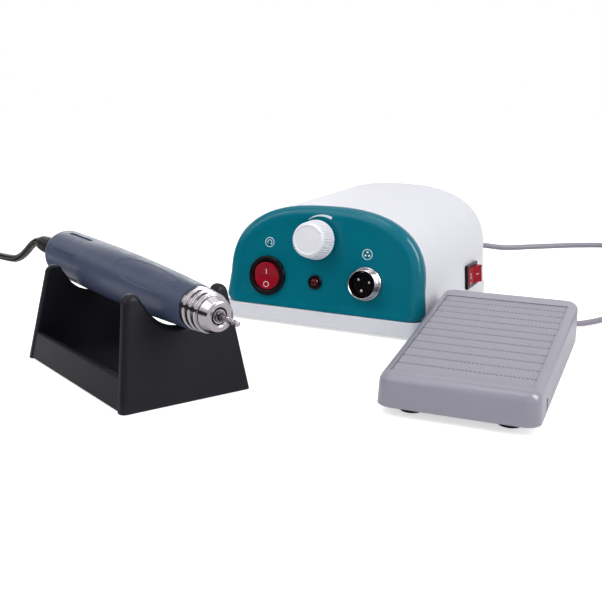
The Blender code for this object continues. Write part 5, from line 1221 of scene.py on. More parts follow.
@dataclass(frozen=True)
class FrontPanel:
    """Teal front cap with a rolled rim, and the signs printed on it."""

    casing: Casing
    roll: float = 0.0060
    bottom_roll: float = 0.0004
    step: float = 0.0005
    corner: float = 0.0045
    wall: float = 0.0026
    sunk: float = -0.00003

    def ring(self, inset: float, depth: float) -> Grid:
        """The closed outline at an inset: the arch, and a foot with two round corners.

        The foot rises with the inset at the ratio of the two rolls, up to the rim's crest.

        Args:
            inset: how far the outline is drawn in.
            depth: depth behind the field.

        Returns:
            The points.
        """
        foot = self.bottom_roll * min(inset, self.roll) / self.roll + max(0.0, inset - self.roll)
        line = self.casing.front_arch(inset, depth)
        floor, right = line[0, 1] + foot, line[0, 0]
        turn = np.linspace(0, math.pi / 2, 13)
        left = np.stack([-right + self.corner * (1 - np.cos(turn)), floor + self.corner * (1 - np.sin(turn))], 1)
        turn = turn + 1.5 * math.pi
        end = np.stack([right - self.corner * (1 - np.cos(turn)), floor + self.corner * (1 + np.sin(turn))], 1)
        return np.vstack([line[1:-1], lift(np.vstack([left, end]), -depth)])

    def field(self, inset: Grid) -> Grid:
        """Height of the field: it rises to the rim by a smooth step of the distance from the edge."""
        return self.step * smoothstep((0.0115 - inset) / 0.0050)

    def build(self) -> None:
        """Build the cap and its prints."""
        turn = np.linspace(math.pi / 2, 0, 15)
        roll = np.column_stack([self.roll * (1 - np.cos(turn)), self.step - self.roll * (1 - np.sin(turn))])
        reach = np.linspace(0.0118, self.roll * 1.02, 14)
        dish = np.column_stack([reach, self.field(reach)])
        side = soften([(0, -0.0062), (0, -0.0076), (self.wall, -0.0076)], 0.0003, 3)
        section = np.vstack([dish, roll, side])
        rings = [self.ring(inset, -height) for inset, height in section]
        inner = self.ring(self.roll - self.wall / 2, self.wall)
        skin = Skin().sheet(np.stack(rings + [inner]), around=True)
        holes = [(*SWITCH_SPOT, 0.0102), (*LAMP_SPOT, 0.0039), (*KNOB_SPOT, 0.0047), (*SOCKET_SPOT, 0.0082)]
        for ring in (rings[0], inner):
            flat, faces = pierced(ring[:, :2], [ring_points(r, 64) + (x, y) for x, y, r in holes])
            skin.flat(lift(flat, ring[0, 2]), faces)
        for x, y, radius in holes:
            rim = ring_points(radius, 64) + (x, y)
            skin.sheet(np.stack([lift(rim, 0.0), lift(rim, -self.wall)]), around=True)
        attach(skin.make("front_cap", TEAL, PANEL), Body.BASE, "teal_panel", "front_panel")
        self.build_speed_arc()
        self.build_turn_sign()
        self.build_socket_sign()

    def stamp(self, name: str, skin: Skin) -> None:
        """Put one printed sign on the panel."""
        attach(skin.make(name, WHITE_INK, PANEL), Body.BASE, "white_shell")

    def build_speed_arc(self) -> None:
        """Arc over the knob: its radius and its width grow evenly with the angle."""
        share = np.linspace(0, 1, 60)
        angle = np.radians(122.5 - 62 * share)
        radius = 0.01290 + 0.00160 * share
        path = KNOB_SPOT + polar(radius, angle)
        self.stamp("speed_arc_print", ribbon(path, 0.00026 + 0.00130 * share, -0.00002,
                                             lambda spot: self.field(self.casing.front.top - spot[:, 1])))

    def build_turn_sign(self) -> None:
        """A circle round an arrow that turns about its middle."""
        centre = np.array([-0.0334, 0.0366])
        skin = ribbon(ring_points(0.0027, 64) + centre, 0.00034, self.sunk, 0.0, joined=True)
        angle = np.radians(np.linspace(-35, 215, 36))
        arc = centre + 0.00135 * polar(1, angle)
        for part in (ribbon(arc, 0.00032, self.sunk, 0.0),
                     ribbon(arc[0] + np.array([(0, 0.0002), (0.0, -0.00075)]), np.array([0.0011, 0.00005]),
                            self.sunk, 0.0)):
            skin.join(part)
        self.stamp("turn_sign_print", skin)

    def build_socket_sign(self) -> None:
        """A circle round three dots, for the three-pin socket."""
        centre = np.array([0.0267, 0.0348])
        skin = ribbon(ring_points(0.0028, 64) + centre, 0.00036, self.sunk, 0.0, joined=True)
        for dot in ring_points(0.00125, 3) @ np.array([[0, 1], [-1, 0]]):
            skin.join(ribbon(ring_points(0.00030, 20) + centre + dot, 0.00055, self.sunk, 0.0, joined=True))
        self.stamp("socket_sign_print", skin)


@dataclass(frozen=True)
class SpeedKnob:
    """White ribbed knob with a raised rim round its face and a pointer nick in the rim."""

    spot: Spot = KNOB_SPOT
    radius: float = 0.0113
    taper: float = 0.0016
    back: float = 0.0038
    front: float = 0.0159
    face: float = 0.0075
    rim: float = 0.0006
    ribs: int = 40
    depth: float = 0.00085
    pointer: float = 28.0

    def build(self) -> None:
        """Turn the profile, then press the ribs into the side and the nick into the rim.

        A rib is half a cosine squared between two flutes. The flutes run out at the shoulder.
        """
        shoulder = self.front - 1.4 * self.rim
        edge = self.radius - self.taper
        profile = soften([(0.0020, self.back + 0.0030), (0.0095, self.back + 0.0030), (0.0095, self.back),
                          (self.radius, self.back), (edge, shoulder - self.rim), (edge - 0.0008, shoulder),
                          (self.face + self.rim, self.front), (self.face, self.front - self.rim * 0.9),
                          (0.0020, self.front - self.rim * 0.55)], 0.00045, 6)
        line = evened(profile, 0.0008)
        angle = whole_turn(self.ribs * 12)
        flute = np.clip(1 - np.cos(self.ribs * angle / 2) ** 2 * 1.8, 0, 1) ** 0.8
        radius, height = line[:, :1], line[:, 1:]
        reach = smoothstep((radius - 0.0087) / 0.0009) * smoothstep((height - self.back - 0.0002) / 0.0006)
        reach = reach * smoothstep((shoulder + 0.0001 - height) / 0.0010)
        radius = radius - self.depth * flute[None] * reach
        bearing = np.degrees(np.abs((angle - math.radians(self.pointer) + math.pi) % (2 * math.pi) - math.pi))
        nick = smoothstep((5.5 - bearing) / 2.5)[None] * smoothstep((line[:, :1] - 0.0060) / 0.0006)
        nick = nick * smoothstep((height - shoulder - self.rim * 0.2) / self.rim)
        skin = Skin().column(spun(radius, angle, height - self.rim * 0.8 * nick))
        stem = soften([(0.0030, -0.0075), (0.0030, self.back + 0.0035)], 0.0003)
        skin.column(lathe(stem, 40))
        place = PANEL @ shifted(*self.spot, 0)
        attach(skin.make("speed_dial", KNOB_WHITE, place, 50), Body.SPEED_KNOB, "white_knob", "speed_knob")


@dataclass(frozen=True)
class DirectionSwitch:
    """Round rocker in a glossy black bezel: its red cap is two slopes that meet in a valley."""

    spot: Spot = SWITCH_SPOT
    radius: float = 0.0080
    crest: float = 0.0014
    rise: float = 0.16
    below: float = 0.0025
    tilt: float = 8.0

    def height(self, spot: Grid) -> Grid:
        """Height of the cap: the crest, plus the rise times the distance from the valley.

        The distance is softened to the root of its square and a small square. Towards the
        edge the cap drops by the square of what is past the flat.

        Args:
            spot: points (x, y) on the cap.

        Returns:
            One height for each.
        """
        along = np.sqrt(spot[:, 1] ** 2 + 0.0006 ** 2) - 0.0006
        past = np.clip(np.hypot(spot[:, 0], spot[:, 1]) - (self.radius - 0.0011), 0, None)
        return self.crest + self.rise * along - 320 * past ** 2

    def build(self) -> None:
        """Build the bezel, the cap and its two marks."""
        place = PANEL @ shifted(*self.spot, 0)
        profile = [(0.0086, -0.0050), (0.0099, -0.0180), (0.0099, GAP), (0.0115, GAP), (0.0115, 0.0012),
                   (0.0108, 0.0022), (0.0094, 0.0023), (0.0086, 0.0017)]
        profile = [(0.0010, -0.0180), *profile[1:], (0.0086, -0.0050), (0.0010, -0.0050)]
        line = soften(profile, 0.0005, 6)
        body = Skin().column(lathe(line, 128))
        attach(body.make("direction_bezel", GLOSS_BLACK, place), Body.BASE, "black_plastic",
               "direction_switch_body")
        tip = place @ turned_about(Axis.X, self.tilt)
        share = np.concatenate([np.linspace(0.02, 0.86, 26), np.linspace(0.875, 1.0, 12)])
        rows = []
        for radius in share * self.radius:
            flat = ring_points(radius, 128)
            rows.append(np.column_stack([flat, self.height(flat)]))
        side = ring_points(self.radius, 128)
        rows += [lift(side, 0.0), lift(side, -self.below)]
        cap = Skin().column(rows)
        attach(cap.make("direction_cap", RED, tip), Body.DIRECTION_ROCKER, "red_rocker", "direction_rocker")
        bar = np.stack([np.zeros(12), np.linspace(0.0012, 0.0042, 12)], 1)
        ring = ring_points(0.00150, 48) * (1.06, 1.0) + (0, -0.0048)
        marks = ribbon(bar, 0.00046, 0.0, self.height).join(ribbon(ring, 0.00040, 0.0, self.height, joined=True))
        attach(marks.make("direction_marks", MARK_INK, tip), Body.DIRECTION_ROCKER, "white_shell")


@dataclass(frozen=True)
class WarningLamp:
    """Small black bezel and the domed red lens in it."""

    spot: Spot = LAMP_SPOT

    def build(self) -> None:
        """Turn the bezel and the lens."""
        place = PANEL @ shifted(*self.spot, 0)
        profile = [(0.0029, -0.0060), (0.0036, -0.0060), (0.0036, GAP), (0.0042, GAP), (0.0042, 0.0010),
                   (0.0036, 0.0016), (0.0031, 0.0014), (0.0029, 0.0010)]
        bezel = lathed("lamp_bezel", profile, GLOSS_BLACK, place, 0.00025, closed=True, steps=72)
        attach(bezel, Body.BASE, "black_plastic", "light_bezel")
        angle = np.linspace(0, math.pi / 2 * 0.97, 14)
        dome = np.column_stack([0.0026 * np.cos(angle), 0.0009 + 0.0021 * np.sin(angle)])
        skin = Skin().column(lathe(np.vstack([[0.0026, -0.0060], [0.0026, 0.0], dome]), 72))
        attach(skin.make("lamp_lens", LENS, place), Body.BASE, "red_lens", "light_lens")


@dataclass(frozen=True)
class MotorSocket:
    """Threaded steel socket ring with a key, its black insert and three bright pins."""

    spot: Spot = SOCKET_SPOT
    radius: float = 0.0082
    bore: float = 0.00735
    length: float = 0.0076
    nut: float = 0.0094
    pin_circle: float = 0.0037

    def build(self) -> None:
        """Turn the ring with its thread, add the key, then the insert and the pins."""
        place = PANEL @ shifted(*self.spot, 0)
        thread = []
        for station in np.arange(0.0027, 0.0066, 0.0007):
            thread += [(self.radius, station), (self.radius - 0.00032, station + 0.00030)]
        profile = [(self.bore, -0.0120), (self.radius - GAP, -0.0120), (self.radius - GAP, GAP), (self.nut, GAP),
                   (self.nut, 0.0016), (self.nut - 0.0005, 0.0022), (self.radius, 0.0022), *thread,
                   (self.radius, 0.0069), (self.radius, 0.0072), (self.radius - 0.0004, self.length),
                   (self.bore + 0.0003, self.length), (self.bore, 0.0072)]
        skin = Skin().sheet(lathe(soften(profile, 0.00018, 4, closed=True), 128), around=True, along=True)
        key = rounded_box(0.0011, 0.0010, 0.0003) + (0, self.bore)
        skin.column([lift(key, 0.0019), lift(key, 0.0069), lift(key * (0.92, 1) + (0, 0.00005), 0.0071)])
        attach(skin.make("socket_ring", STEEL, place), Body.BASE, "polished_steel", "motor_socket_shell")
        line = soften([(0.0008, -0.0117), (0.0070, -0.0117), (0.0070, 0.0016), (0.0008, 0.0016)], 0.0003)
        insert = Skin().column(lathe(line, 96))
        for spot in self.pins():
            collar = soften([(0.00165, 0.0010), (0.00165, 0.0022), (0.00105, 0.0022), (0.00105, 0.0014)], 0.0002)
            insert.sheet(lathe(collar, 32) + (*spot, 0), around=True, along=True)
        attach(insert.make("socket_insert", GLOSS_BLACK, place), Body.BASE, "black_plastic",
               "motor_socket_insert")
        pins = Skin()
        for spot in self.pins():
            angle = np.linspace(0, math.pi / 2 * 0.96, 8)
            tip = np.column_stack([0.0010 * np.cos(angle), 0.0042 + 0.0010 * np.sin(angle)])
            pins.column(lathe(np.vstack([[0.0010, 0.0012], tip]), 32) + (*spot, 0))
        attach(pins.make("socket_pins", STEEL, place), Body.BASE, "polished_steel")

    def pins(self) -> Grid:
        """Middles of the three pins."""
        return self.pin_circle * polar(1, np.radians(20 + 120 * np.arange(3)))


@dataclass(frozen=True)
class PowerSwitch:
    """Mains rocker on the right wall: black frame, red rocker with two slopes and its marks."""

    casing: Casing
    share: float = 0.715
    height: float = 0.0198
    half_x: float = 0.0130
    half_y: float = 0.0077
    flange: float = 0.0020
    rise: float = 0.0022
    tilt: float = 10.0

    def place(self) -> Grid:
        """Frame on the wall: X to the rear, Y up, Z out of the wall.

        Returns:
            The 4 by 4 matrix.
        """
        def spot(share: float, height: float) -> Grid:
            """A place on the wall."""
            foot, shoulder = self.casing.row(share, 0)[:2]
            return foot + (shoulder - foot) * (height - foot[2]) / (shoulder[2] - foot[2])

        middle = spot(self.share, self.height)
        along = unit(spot(1, self.height) - spot(0, self.height))
        up = unit(spot(self.share, self.height + self.half_y) - middle)
        out = unit(np.cross(along, up))
        return BOX @ framed(middle, along, np.cross(out, along), out)

    def build(self) -> None:
        """Build the frame through levels, and the rocker as a section carried across."""
        place = self.place()
        profile = soften([(0.0050, -0.0140), (0.0010, -0.0140), (0.0010, GAP), (0, GAP), (0, self.flange),
                          (0.0019, self.flange), (0.0019, -0.0062), (0.0050, -0.0062)], 0.0004, 5)
        rings = [lift(rounded_box(self.half_x - inset, self.half_y - inset, max(0.0009 - inset / 3, 0.0003)), z)
                 for inset, z in profile]
        surround = Skin().column(rings)
        attach(surround.make("mains_switch_frame", GLOSS_BLACK, place), Body.BASE, "black_plastic",
               "power_switch_body")
        reach, across = self.half_x - 0.0019 - 0.0009, self.half_y - 0.0019 - GAP
        crest = self.flange + self.rise
        outline = soften([(-reach, -0.0015), (reach, -0.0015), (reach, crest - 0.0006), (reach - 0.0006, crest),
                          (0, self.flange), (0.0006 - reach, crest), (-reach, crest - 0.0006)], 0.0005, 5,
                         closed=True)
        sides = soften([(-across, 0.0006), (-across, 0.0), (across, 0.0), (across, 0.0006)], 0.0005, 4)
        middle = outline.mean(0)
        rows = []
        for y, inset in sides:
            inward = outline - middle
            ring = middle + inward * (1 - inset / np.abs(inward).max())
            rows.append(np.column_stack([ring[:, 0], np.full(len(ring), y), ring[:, 1]]))
        tip = place @ turned_about(Axis.Y, -self.tilt)
        rocker = Skin().column(rows)
        attach(rocker.make("mains_rocker", RED, tip), Body.POWER_ROCKER, "red_rocker", "power_rocker")

        def slope(spot: Grid) -> Grid:
            """Height of the rocker's two slopes."""
            return self.flange + self.rise * np.abs(spot[:, 0]) / (reach - 0.0006) + 0.00002

        bar = np.stack([np.linspace(0.0038, 0.0064, 10), np.zeros(10)], 1)
        ring = ring_points(0.0015, 48) - (0.0052, 0)
        marks = ribbon(bar, 0.0005, 0.0, slope).join(ribbon(ring, 0.0005, 0.0, slope, joined=True))
        attach(marks.make("mains_marks", MARK_INK, tip), Body.POWER_ROCKER, "white_shell")


@dataclass(frozen=True)
class RearFittings:
    """Strain relief of the mains lead, fuse cap and the pedal's jack socket."""

    casing: Casing

    def place(self, x: float) -> Grid:
        """Frame on the rear plate: Z to the rear."""
        return BOX @ shifted(x, self.casing.depth - REAR_PLATE, REAR_ROW) @ turned_about(Axis.X, -90)

    def build(self) -> None:
        """Build the three fittings."""
        profile = [(0.0008, -0.0060), (0.0046, -0.0060), (0.0046, GAP), (0.0062, GAP), (0.0062, 0.0020),
                   (0.0048, 0.0020)]
        for index in range(3):
            for part, cut in ((0.12, 0), (0.62, 0), (0.70, 0.0007), (0.92, 0.0007)):
                share = (index + part) / 3
                profile.append((0.0046 - 0.0018 * share - cut, 0.0020 + 0.0200 * share))
        profile += [(0.0028, 0.0216), (0.0026, 0.0220), (0.0008, 0.0220)]
        gland = Skin().column(lathe(soften(profile, 0.0003, 4), 72))
        attach(gland.make("mains_relief", RUBBER, self.place(RELIEF_X)), Body.BASE, "black_rubber", "mains_gland")
        profile = soften([(0.0008, -0.0220), (0.0055, -0.0220), (0.0055, GAP), (0.0068, GAP), (0.0068, 0.0016),
                          (0.0066, 0.0018), (0.0066, 0.0072), (0.0058, 0.0085), (0.0008, 0.0085)], 0.0004, 5)
        angle = whole_turn(288)
        flute = np.clip(np.cos(24 * angle), 0, 1)[None]
        radius, height = profile[:, :1], profile[:, 1:]
        reach = smoothstep((height - 0.0020) / 0.0006) * smoothstep((0.0073 - height) / 0.0006)
        slot = smoothstep((0.0005 - np.abs(radius * np.sin(angle))) / 0.00015) * smoothstep((height - 0.0080) / 0.0003)
        radius = radius - 0.00025 * flute * reach * (radius > 0.006)
        cap = Skin().column(spun(radius, angle, height - 0.0006 * slot))
        attach(cap.make("fuse_cap", GLOSS_BLACK, self.place(FUSE_X)), Body.BASE, "black_plastic", "fuse_holder")
        profile = [(0.0018, -0.0110), (0.0038, -0.0110), (0.0038, GAP), (0.0052, GAP), (0.0052, 0.0015),
                   (0.0047, 0.0019), (0.0040, 0.0019), (0.0038, 0.0022), (0.0021, 0.0022), (0.0018, 0.0019)]
        jack = lathed("jack_socket", profile, STEEL, self.place(JACK_X), 0.0002, closed=True, steps=72)
        attach(jack, Body.BASE, "polished_steel", "pedal_socket")


# Cradle and handpiece
@dataclass(frozen=True)
class Sleeve:
    """Outside of the handpiece's sleeve and its stations, which the cradle follows too."""

    length: float = 0.1357
    radius: float = 0.0122
    front_radius: float = 0.0094
    taper_start: float = 0.0470

    def reach(self, station: Grid | float) -> Grid:
        """Radius at a station: straight, then less a share that grows with the square."""
        run = np.clip((np.asarray(station) - self.taper_start) / (self.length - self.taper_start), 0, 1)
        return self.radius - (self.radius - self.front_radius) * run ** 2


@dataclass(frozen=True)
class Cradle:
    """Black cradle: a tapered tray with rails, and two leaning walls with horns and a saddle."""

    sleeve: Sleeve
    half_length: float = 0.0508
    half_width: float = 0.0315
    height: float = 0.0468
    lean: float = 0.190
    side_lean: float = 0.150
    wall: float = 0.0048
    edge: float = 0.0024
    rail_height: float = 0.0136
    rail_wall: float = 0.0030
    floor: float = 0.0026
    horn: float = 0.0040
    saddle: float = 0.0170
    drop: float = math.tan(math.radians(TOOL_DROP))

    def axis_height(self, x: float) -> float:
        """Height of the handpiece's axis over a place along the cradle."""
        return TOOL_HEIGHT - (x - TOOL_X) * self.drop

    def saddle_floor(self, side: int) -> float:
        """Lowest point of the saddle at one end.

        Args:
            side: 1 for the front end, -1 for the rear.

        Returns:
            The height.
        """
        x = side * (self.half_length - self.height * self.lean)
        station = (x - TOOL_X) / math.cos(math.atan(self.drop))
        return self.axis_height(x + self.wall) - float(self.sleeve.reach(station - self.wall)) - GAP

    def outline(self, side: int, inset: float) -> Grid:
        """Outline (across, up) of an end wall: leaning sides, two round horns and a saddle.

        Args:
            side: 1 for the front end, -1 for the rear.
            inset: how far it is drawn in.

        Returns:
            The points.
        """
        middle_z = self.height - self.horn
        middle_y = self.half_width - self.side_lean * middle_z - self.horn
        low = self.saddle_floor(side) + self.saddle
        reach, radius = self.saddle + inset, self.horn - inset
        turn = np.linspace(0, math.pi * 0.93, 22)
        horn = np.stack([middle_y + radius * np.cos(turn), middle_z + radius * np.sin(turn)], 1)
        widest = math.acos((low - middle_z + 0.0016) / reach)
        sweep = np.linspace(widest, -widest, 61)
        dip = np.stack([reach * np.sin(sweep), low - reach * np.cos(sweep)], 1)
        side_run = np.linspace(0, 1, 14)[:-1, None]
        foot = np.array([self.half_width - inset, 0.0])
        right = np.vstack([foot + (horn[0] - foot) * side_run, horn])
        return np.vstack([right, dip, right[::-1] * (-1, 1)])

    def build_wall(self, skin: Skin, side: int) -> None:
        """An end wall: its outline is drawn in and back along two rounds, then capped.

        Args:
            skin: what the wall is added to.
            side: 1 for the front end, -1 for the rear.
        """
        turn, small = np.linspace(0, math.pi / 2, 9), self.edge / 2
        steps = [(self.edge * 1.3, 0)] + [(self.edge * (1 - math.sin(a)), self.edge * (1 - math.cos(a))) for a in turn]
        steps += [(small * (1 - math.cos(a)), self.wall - small + small * math.sin(a)) for a in turn]
        steps += [(self.edge * 0.8, self.wall)]
        rings = []
        for inset, back in steps:
            across, up = self.outline(side, inset).T
            rings.append(np.stack([side * (self.half_length - self.lean * up - back), across, up], 1))
        skin.column(rings)

    def build(self) -> None:
        """Tray through soft levels, then both walls."""
        profile = soften([(0.0075, GAP), (GAP, GAP), (GAP, self.rail_height), (self.rail_wall, self.rail_height),
                          (self.rail_wall, self.floor), (0.0100, self.floor)], 0.0007, 5)
        rings = [lift(rounded_box(self.half_length - self.lean * z - inset - 0.0002,
                                  self.half_width - self.side_lean * z - inset - 0.0001,
                                  max(0.0040 - inset, 0.0012), 10), z) for inset, z in profile]
        skin = Skin().column(rings)
        for side in (1, -1):
            self.build_wall(skin, side)
        attach(skin.make("cradle_stand", BLACK, STAND, 45), Body.BASE, "black_plastic", "cradle")


@dataclass(frozen=True)
class Handpiece:
    """Sleeve with cooling slots and a ribbed oval grip, the boot, nose, chuck ring, collet, bur."""

    sleeve: Sleeve
    rim: float = 0.0058
    dome: float = 0.0073
    slots: int = 6
    slot_first: float = 188.0
    slot_start: float = 0.0142
    slot_end: float = 0.0391
    slot_half: float = 0.0009
    slot_depth: float = 0.0007
    grip_middle: float = 0.1041
    grip_half: float = 0.0270
    grip_bearing: float = 219.0
    grip_spread: float = 33.0
    rib_pitch: float = 0.00165
    ring_start: float = 0.1360
    ring_end: float = 0.1472
    line_bearing: float = 255.0
    line_half: float = 0.00055

    def bearings(self) -> Grid:
        """Columns round the sleeve: even steps, with more of them at the slots' edges.

        Returns:
            The bearings in radians.
        """
        even = np.arange(0, 360, 2.5)
        offsets = np.degrees(self.slot_half / self.sleeve.radius) * np.array(
            [-1.45, -1.25, -1.05, -0.85, -0.5, 0, 0.5, 0.85, 1.05, 1.25, 1.45])
        starts = self.slot_first + 360 / self.slots * np.arange(self.slots)
        dense = (starts[:, None] + offsets[None]).ravel() % 360
        clear = np.abs((even[:, None] - starts[None] + 180) % 360 - 180).min(1) > offsets[-1] * 1.15
        return np.radians(np.sort(np.concatenate([even[clear], dense])))

    def relief(self, bearing: Grid, station: Grid) -> Grid:
        """How far the sleeve's skin lies under its plain profile.

        A slot is a stadium: its depth times a smooth step of the distance inside its edge. The
        grip is an ellipse, pressed in by a step and filled with ribs round the sleeve, whose
        height is half a cosine of the station and which fade towards the rear.

        Args:
            bearing: bearings of the grid.
            station: stations of the grid.

        Returns:
            One depth for each point of the grid.
        """
        starts = np.radians(self.slot_first + 360 / self.slots * np.arange(self.slots))
        turn = np.abs((bearing[..., None] - starts + math.pi) % (2 * math.pi) - math.pi).min(-1)
        across = turn * self.sleeve.radius
        low, high = self.slot_start + self.slot_half, self.slot_end - self.slot_half
        past = np.clip(low - station, 0, None) + np.clip(station - high, 0, None)
        inside = self.slot_half - np.hypot(across, past)
        dent = self.slot_depth * smoothstep((inside + 0.00022) / 0.00040)
        aside = (bearing - math.radians(self.grip_bearing) + math.pi) % (2 * math.pi) - math.pi
        oval = 1 - np.hypot((station - self.grip_middle) / self.grip_half, aside / math.radians(self.grip_spread))
        press = smoothstep(oval / 0.045)
        rib = 0.5 + 0.5 * np.cos(2 * math.pi * station / self.rib_pitch)
        fade = smoothstep((station - self.grip_middle + 0.004) / 0.014)
        return dent + press * (0.00017 - 0.00014 * rib * fade)

    def build_sleeve(self) -> None:
        """Grid of the sleeve: outside with its relief, front lip, bore and rear wall."""
        turn = np.linspace(0, math.pi / 2, 16)
        dome = np.column_stack([self.rim + (self.sleeve.radius - self.rim) * np.sin(turn),
                                self.dome * (1 - np.cos(turn))])
        ends = np.array([self.slot_start, self.slot_end])
        station = np.concatenate([np.linspace(self.dome, 0.0138, 8)[1:], ends[0] + np.linspace(-0.0002, 0.0016, 10),
                                  np.linspace(0.0170, 0.0368, 14), ends[1] + np.linspace(-0.0016, 0.0002, 10),
                                  np.linspace(0.0402, 0.0620, 16), np.arange(0.0628, 0.1240, 0.00033),
                                  np.linspace(0.1242, self.sleeve.length - 0.0008, 12)])
        skin_line = np.column_stack([self.sleeve.reach(station), station])
        front, long = self.sleeve.front_radius, self.sleeve.length
        inner = soften([(front, long - 0.0012), (front, long), (0.0069, long), (0.0069, 0.1144), (0.0092, 0.1144),
                        (0.0092, 0.0073), (0.0068, 0.0024), (0.0052, 0.0024), (0.0052, 0.0), (self.rim, 0.0)],
                       0.0004, 5)[1:-1]
        line = np.vstack([dome, skin_line, inner])
        bearing = self.bearings()
        outside = np.zeros(len(line))
        outside[len(dome):len(dome) + len(skin_line)] = 1
        depth = self.relief(np.broadcast_to(bearing, (len(line), len(bearing))), line[:, 1:]) * outside[:, None]
        radius = line[:, :1] - depth
        skin = Skin().sheet(spun(radius, bearing, line[:, 1:]), around=True, along=True)
        attach(skin.make("grip_sleeve", SLEEVE, TOOL, 42), Body.HANDPIECE, "blue_grey_sleeve", "handpiece_sleeve")

    def build_boot(self) -> None:
        """Boot that narrows to the cord, with shallow bending grooves and a collar inside."""
        profile = [(0.0008, 0.0047), (0.0066, 0.0047), (0.0066, 0.0027), (0.0049, 0.0027), (0.0049, -0.0030)]
        for station in np.arange(0.0100, 0.0235, 0.0034):
            width = 0.0049 - 0.00050 * (station / 0.0295)
            profile += [(width, -station), (width - 0.00028, -station - 0.0005), (width - 0.00028, -station - 0.0011),
                        (width - 0.00004, -station - 0.0016)]
        turn = np.linspace(0, math.pi / 2, 10)
        tip = np.column_stack([0.0026 + 0.0016 * np.cos(turn), -0.0295 + 0.0040 * (1 - np.sin(turn))])
        line = np.vstack([soften(profile, 0.0004, 4), tip, [0.0008, -0.0295]])
        skin = Skin().column(lathe(evened(line, 0.0012), 72))
        attach(skin.make("cord_boot", RUBBER, TOOL), Body.HANDPIECE, "black_rubber", "cord_relief")

    def build_nose(self) -> None:
        """Nose: flange and tube inside the sleeve, cone and rounded face in front."""
        face, cone = 0.1525, 0.1475
        profile = [(0.0054, 0.1113), (0.0089, 0.1113), (0.0089, 0.1141), (0.0066, 0.1141), (0.0066, cone),
                   (0.0071, cone), (0.0077, cone + 0.0006), (0.0077, cone + 0.0010), (0.0065, face - 0.0011),
                   (0.00615, face - 0.0003), (0.0052, face), (0.0041, face), (0.0037, face - 0.0003),
                   (0.0033, face - 0.0007), (0.0033, cone + 0.0010), (0.0054, cone - 0.0010)]
        nose = lathed("nose_piece", profile, STEEL, TOOL, 0.00055, closed=True, steps=160)
        attach(nose, Body.HANDPIECE, "polished_steel", "nose_cone")

    def bands(self) -> list[Spot]:
        """Profile of the chuck ring's three bands, each smaller than the last, and of their grooves.

        Returns:
            Points (radius, station), four for each band.
        """
        band, line = (self.ring_end - self.ring_start) / 3, []
        for index, crest in enumerate((0.0091, 0.00875, 0.0084)):
            low, high = self.ring_start + band * index, self.ring_start + band * (index + 1)
            line += [(crest, low + 0.0003), (crest, high - band * 0.36), (crest - 0.0007, high - band * 0.27),
                     (crest - 0.0007, high - band * 0.10)]
        return line

    def build_chuck(self) -> None:
        """Chuck ring: its polished bands, a straight end in front and a bore."""
        profile = [(0.0088, self.ring_start), *self.bands()[:-1], (0.0077, self.ring_end), (0.0069, self.ring_end),
                   (0.0069, self.ring_start)]
        ring = lathed("grooved_ring", profile, STEEL, TOOL, 0.00022, closed=True, steps=160)
        attach(ring, Body.CHUCK, "polished_steel", "chuck_ring")

    def build_lines(self) -> None:
        """Black alignment line over the chuck ring's bands and down the cone, one strip on each."""
        cone = [(0.0077, 0.1483), (0.0077, 0.1485), (0.0066, 0.1513), (0.0062, 0.1521)]
        for name, line, body in (("ring_line", self.bands()[:-1], Body.CHUCK), ("cone_line", cone, Body.HANDPIECE)):
            line = soften(line, 0.00022)
            ahead = unit(np.gradient(line, axis=0))
            out = np.stack([ahead[:, 1], -ahead[:, 0]], 1)
            under, over = line - out * 0.00012, line + out * 0.00003
            rows = []
            for low, high in zip(under, over):
                spread = math.radians(self.line_bearing) + self.line_half / high[0] * np.array([-1, 1, 1, -1])
                radius, station = np.array([low[0], low[0], high[0], high[0]]), [low[1], low[1], high[1], high[1]]
                rows.append(np.stack([radius * np.cos(spread), radius * np.sin(spread), station], 1))
            attach(Skin().column(rows).make(name, BLACK_INK, TOOL), body, "dark_steel")

    def build_collet(self) -> None:
        """Collet: a tube inside the spindle, and three jaws with narrow slots between them."""
        start, slot, front = 0.1322, 0.1429, 0.1519
        bore, outside = 0.001475, 0.0018
        section = soften([(bore, slot), (outside, slot), (outside, front + 0.0003), (0.00245, front + 0.0003),
                          (0.00225, front + 0.0009), (bore, front + 0.0009)], 0.00012, 3, closed=True)
        skin = Skin()
        tube = np.array([(bore, start), (outside, start), (outside, slot), (bore, slot)])
        skin.sheet(lathe(tube, 48), around=True, along=True)
        for index in range(3):
            angle = np.radians(120 * index + np.linspace(7, 113, 22))
            radius, station = section.T
            skin.column(spun(radius, angle[:, None], station))
        attach(skin.make("collet_jaws", COLLET_STEEL_WITH_SHADE, TOOL), Body.SPINDLE, "dark_steel", "collet")

    def build_bur(self) -> None:
        """Bur shank with a bevelled tip and a fine groove near it."""
        start, tip, radius, neck = 0.1355, 0.1649, 0.001175, 0.00108
        line = soften([(0.0004, start), (radius, start), (radius, tip - 0.0028), (neck, tip - 0.0027),
                       (neck, tip - 0.0024), (radius, tip - 0.0023), (radius, tip - 0.0003), (0.0009, tip),
                       (0.0003, tip)], 0.0001, 3)
        skin = Skin().column(lathe(evened(line, 0.001), 48))
        attach(skin.make("bur_pin", STEEL, TOOL), Body.SPINDLE, "polished_steel", "bur_shank")

    def build(self) -> None:
        """Build every piece of the handpiece that shows."""
        self.build_sleeve()
        self.build_boot()
        self.build_nose()
        self.build_chuck()
        self.build_lines()
        self.build_collet()
        self.build_bur()


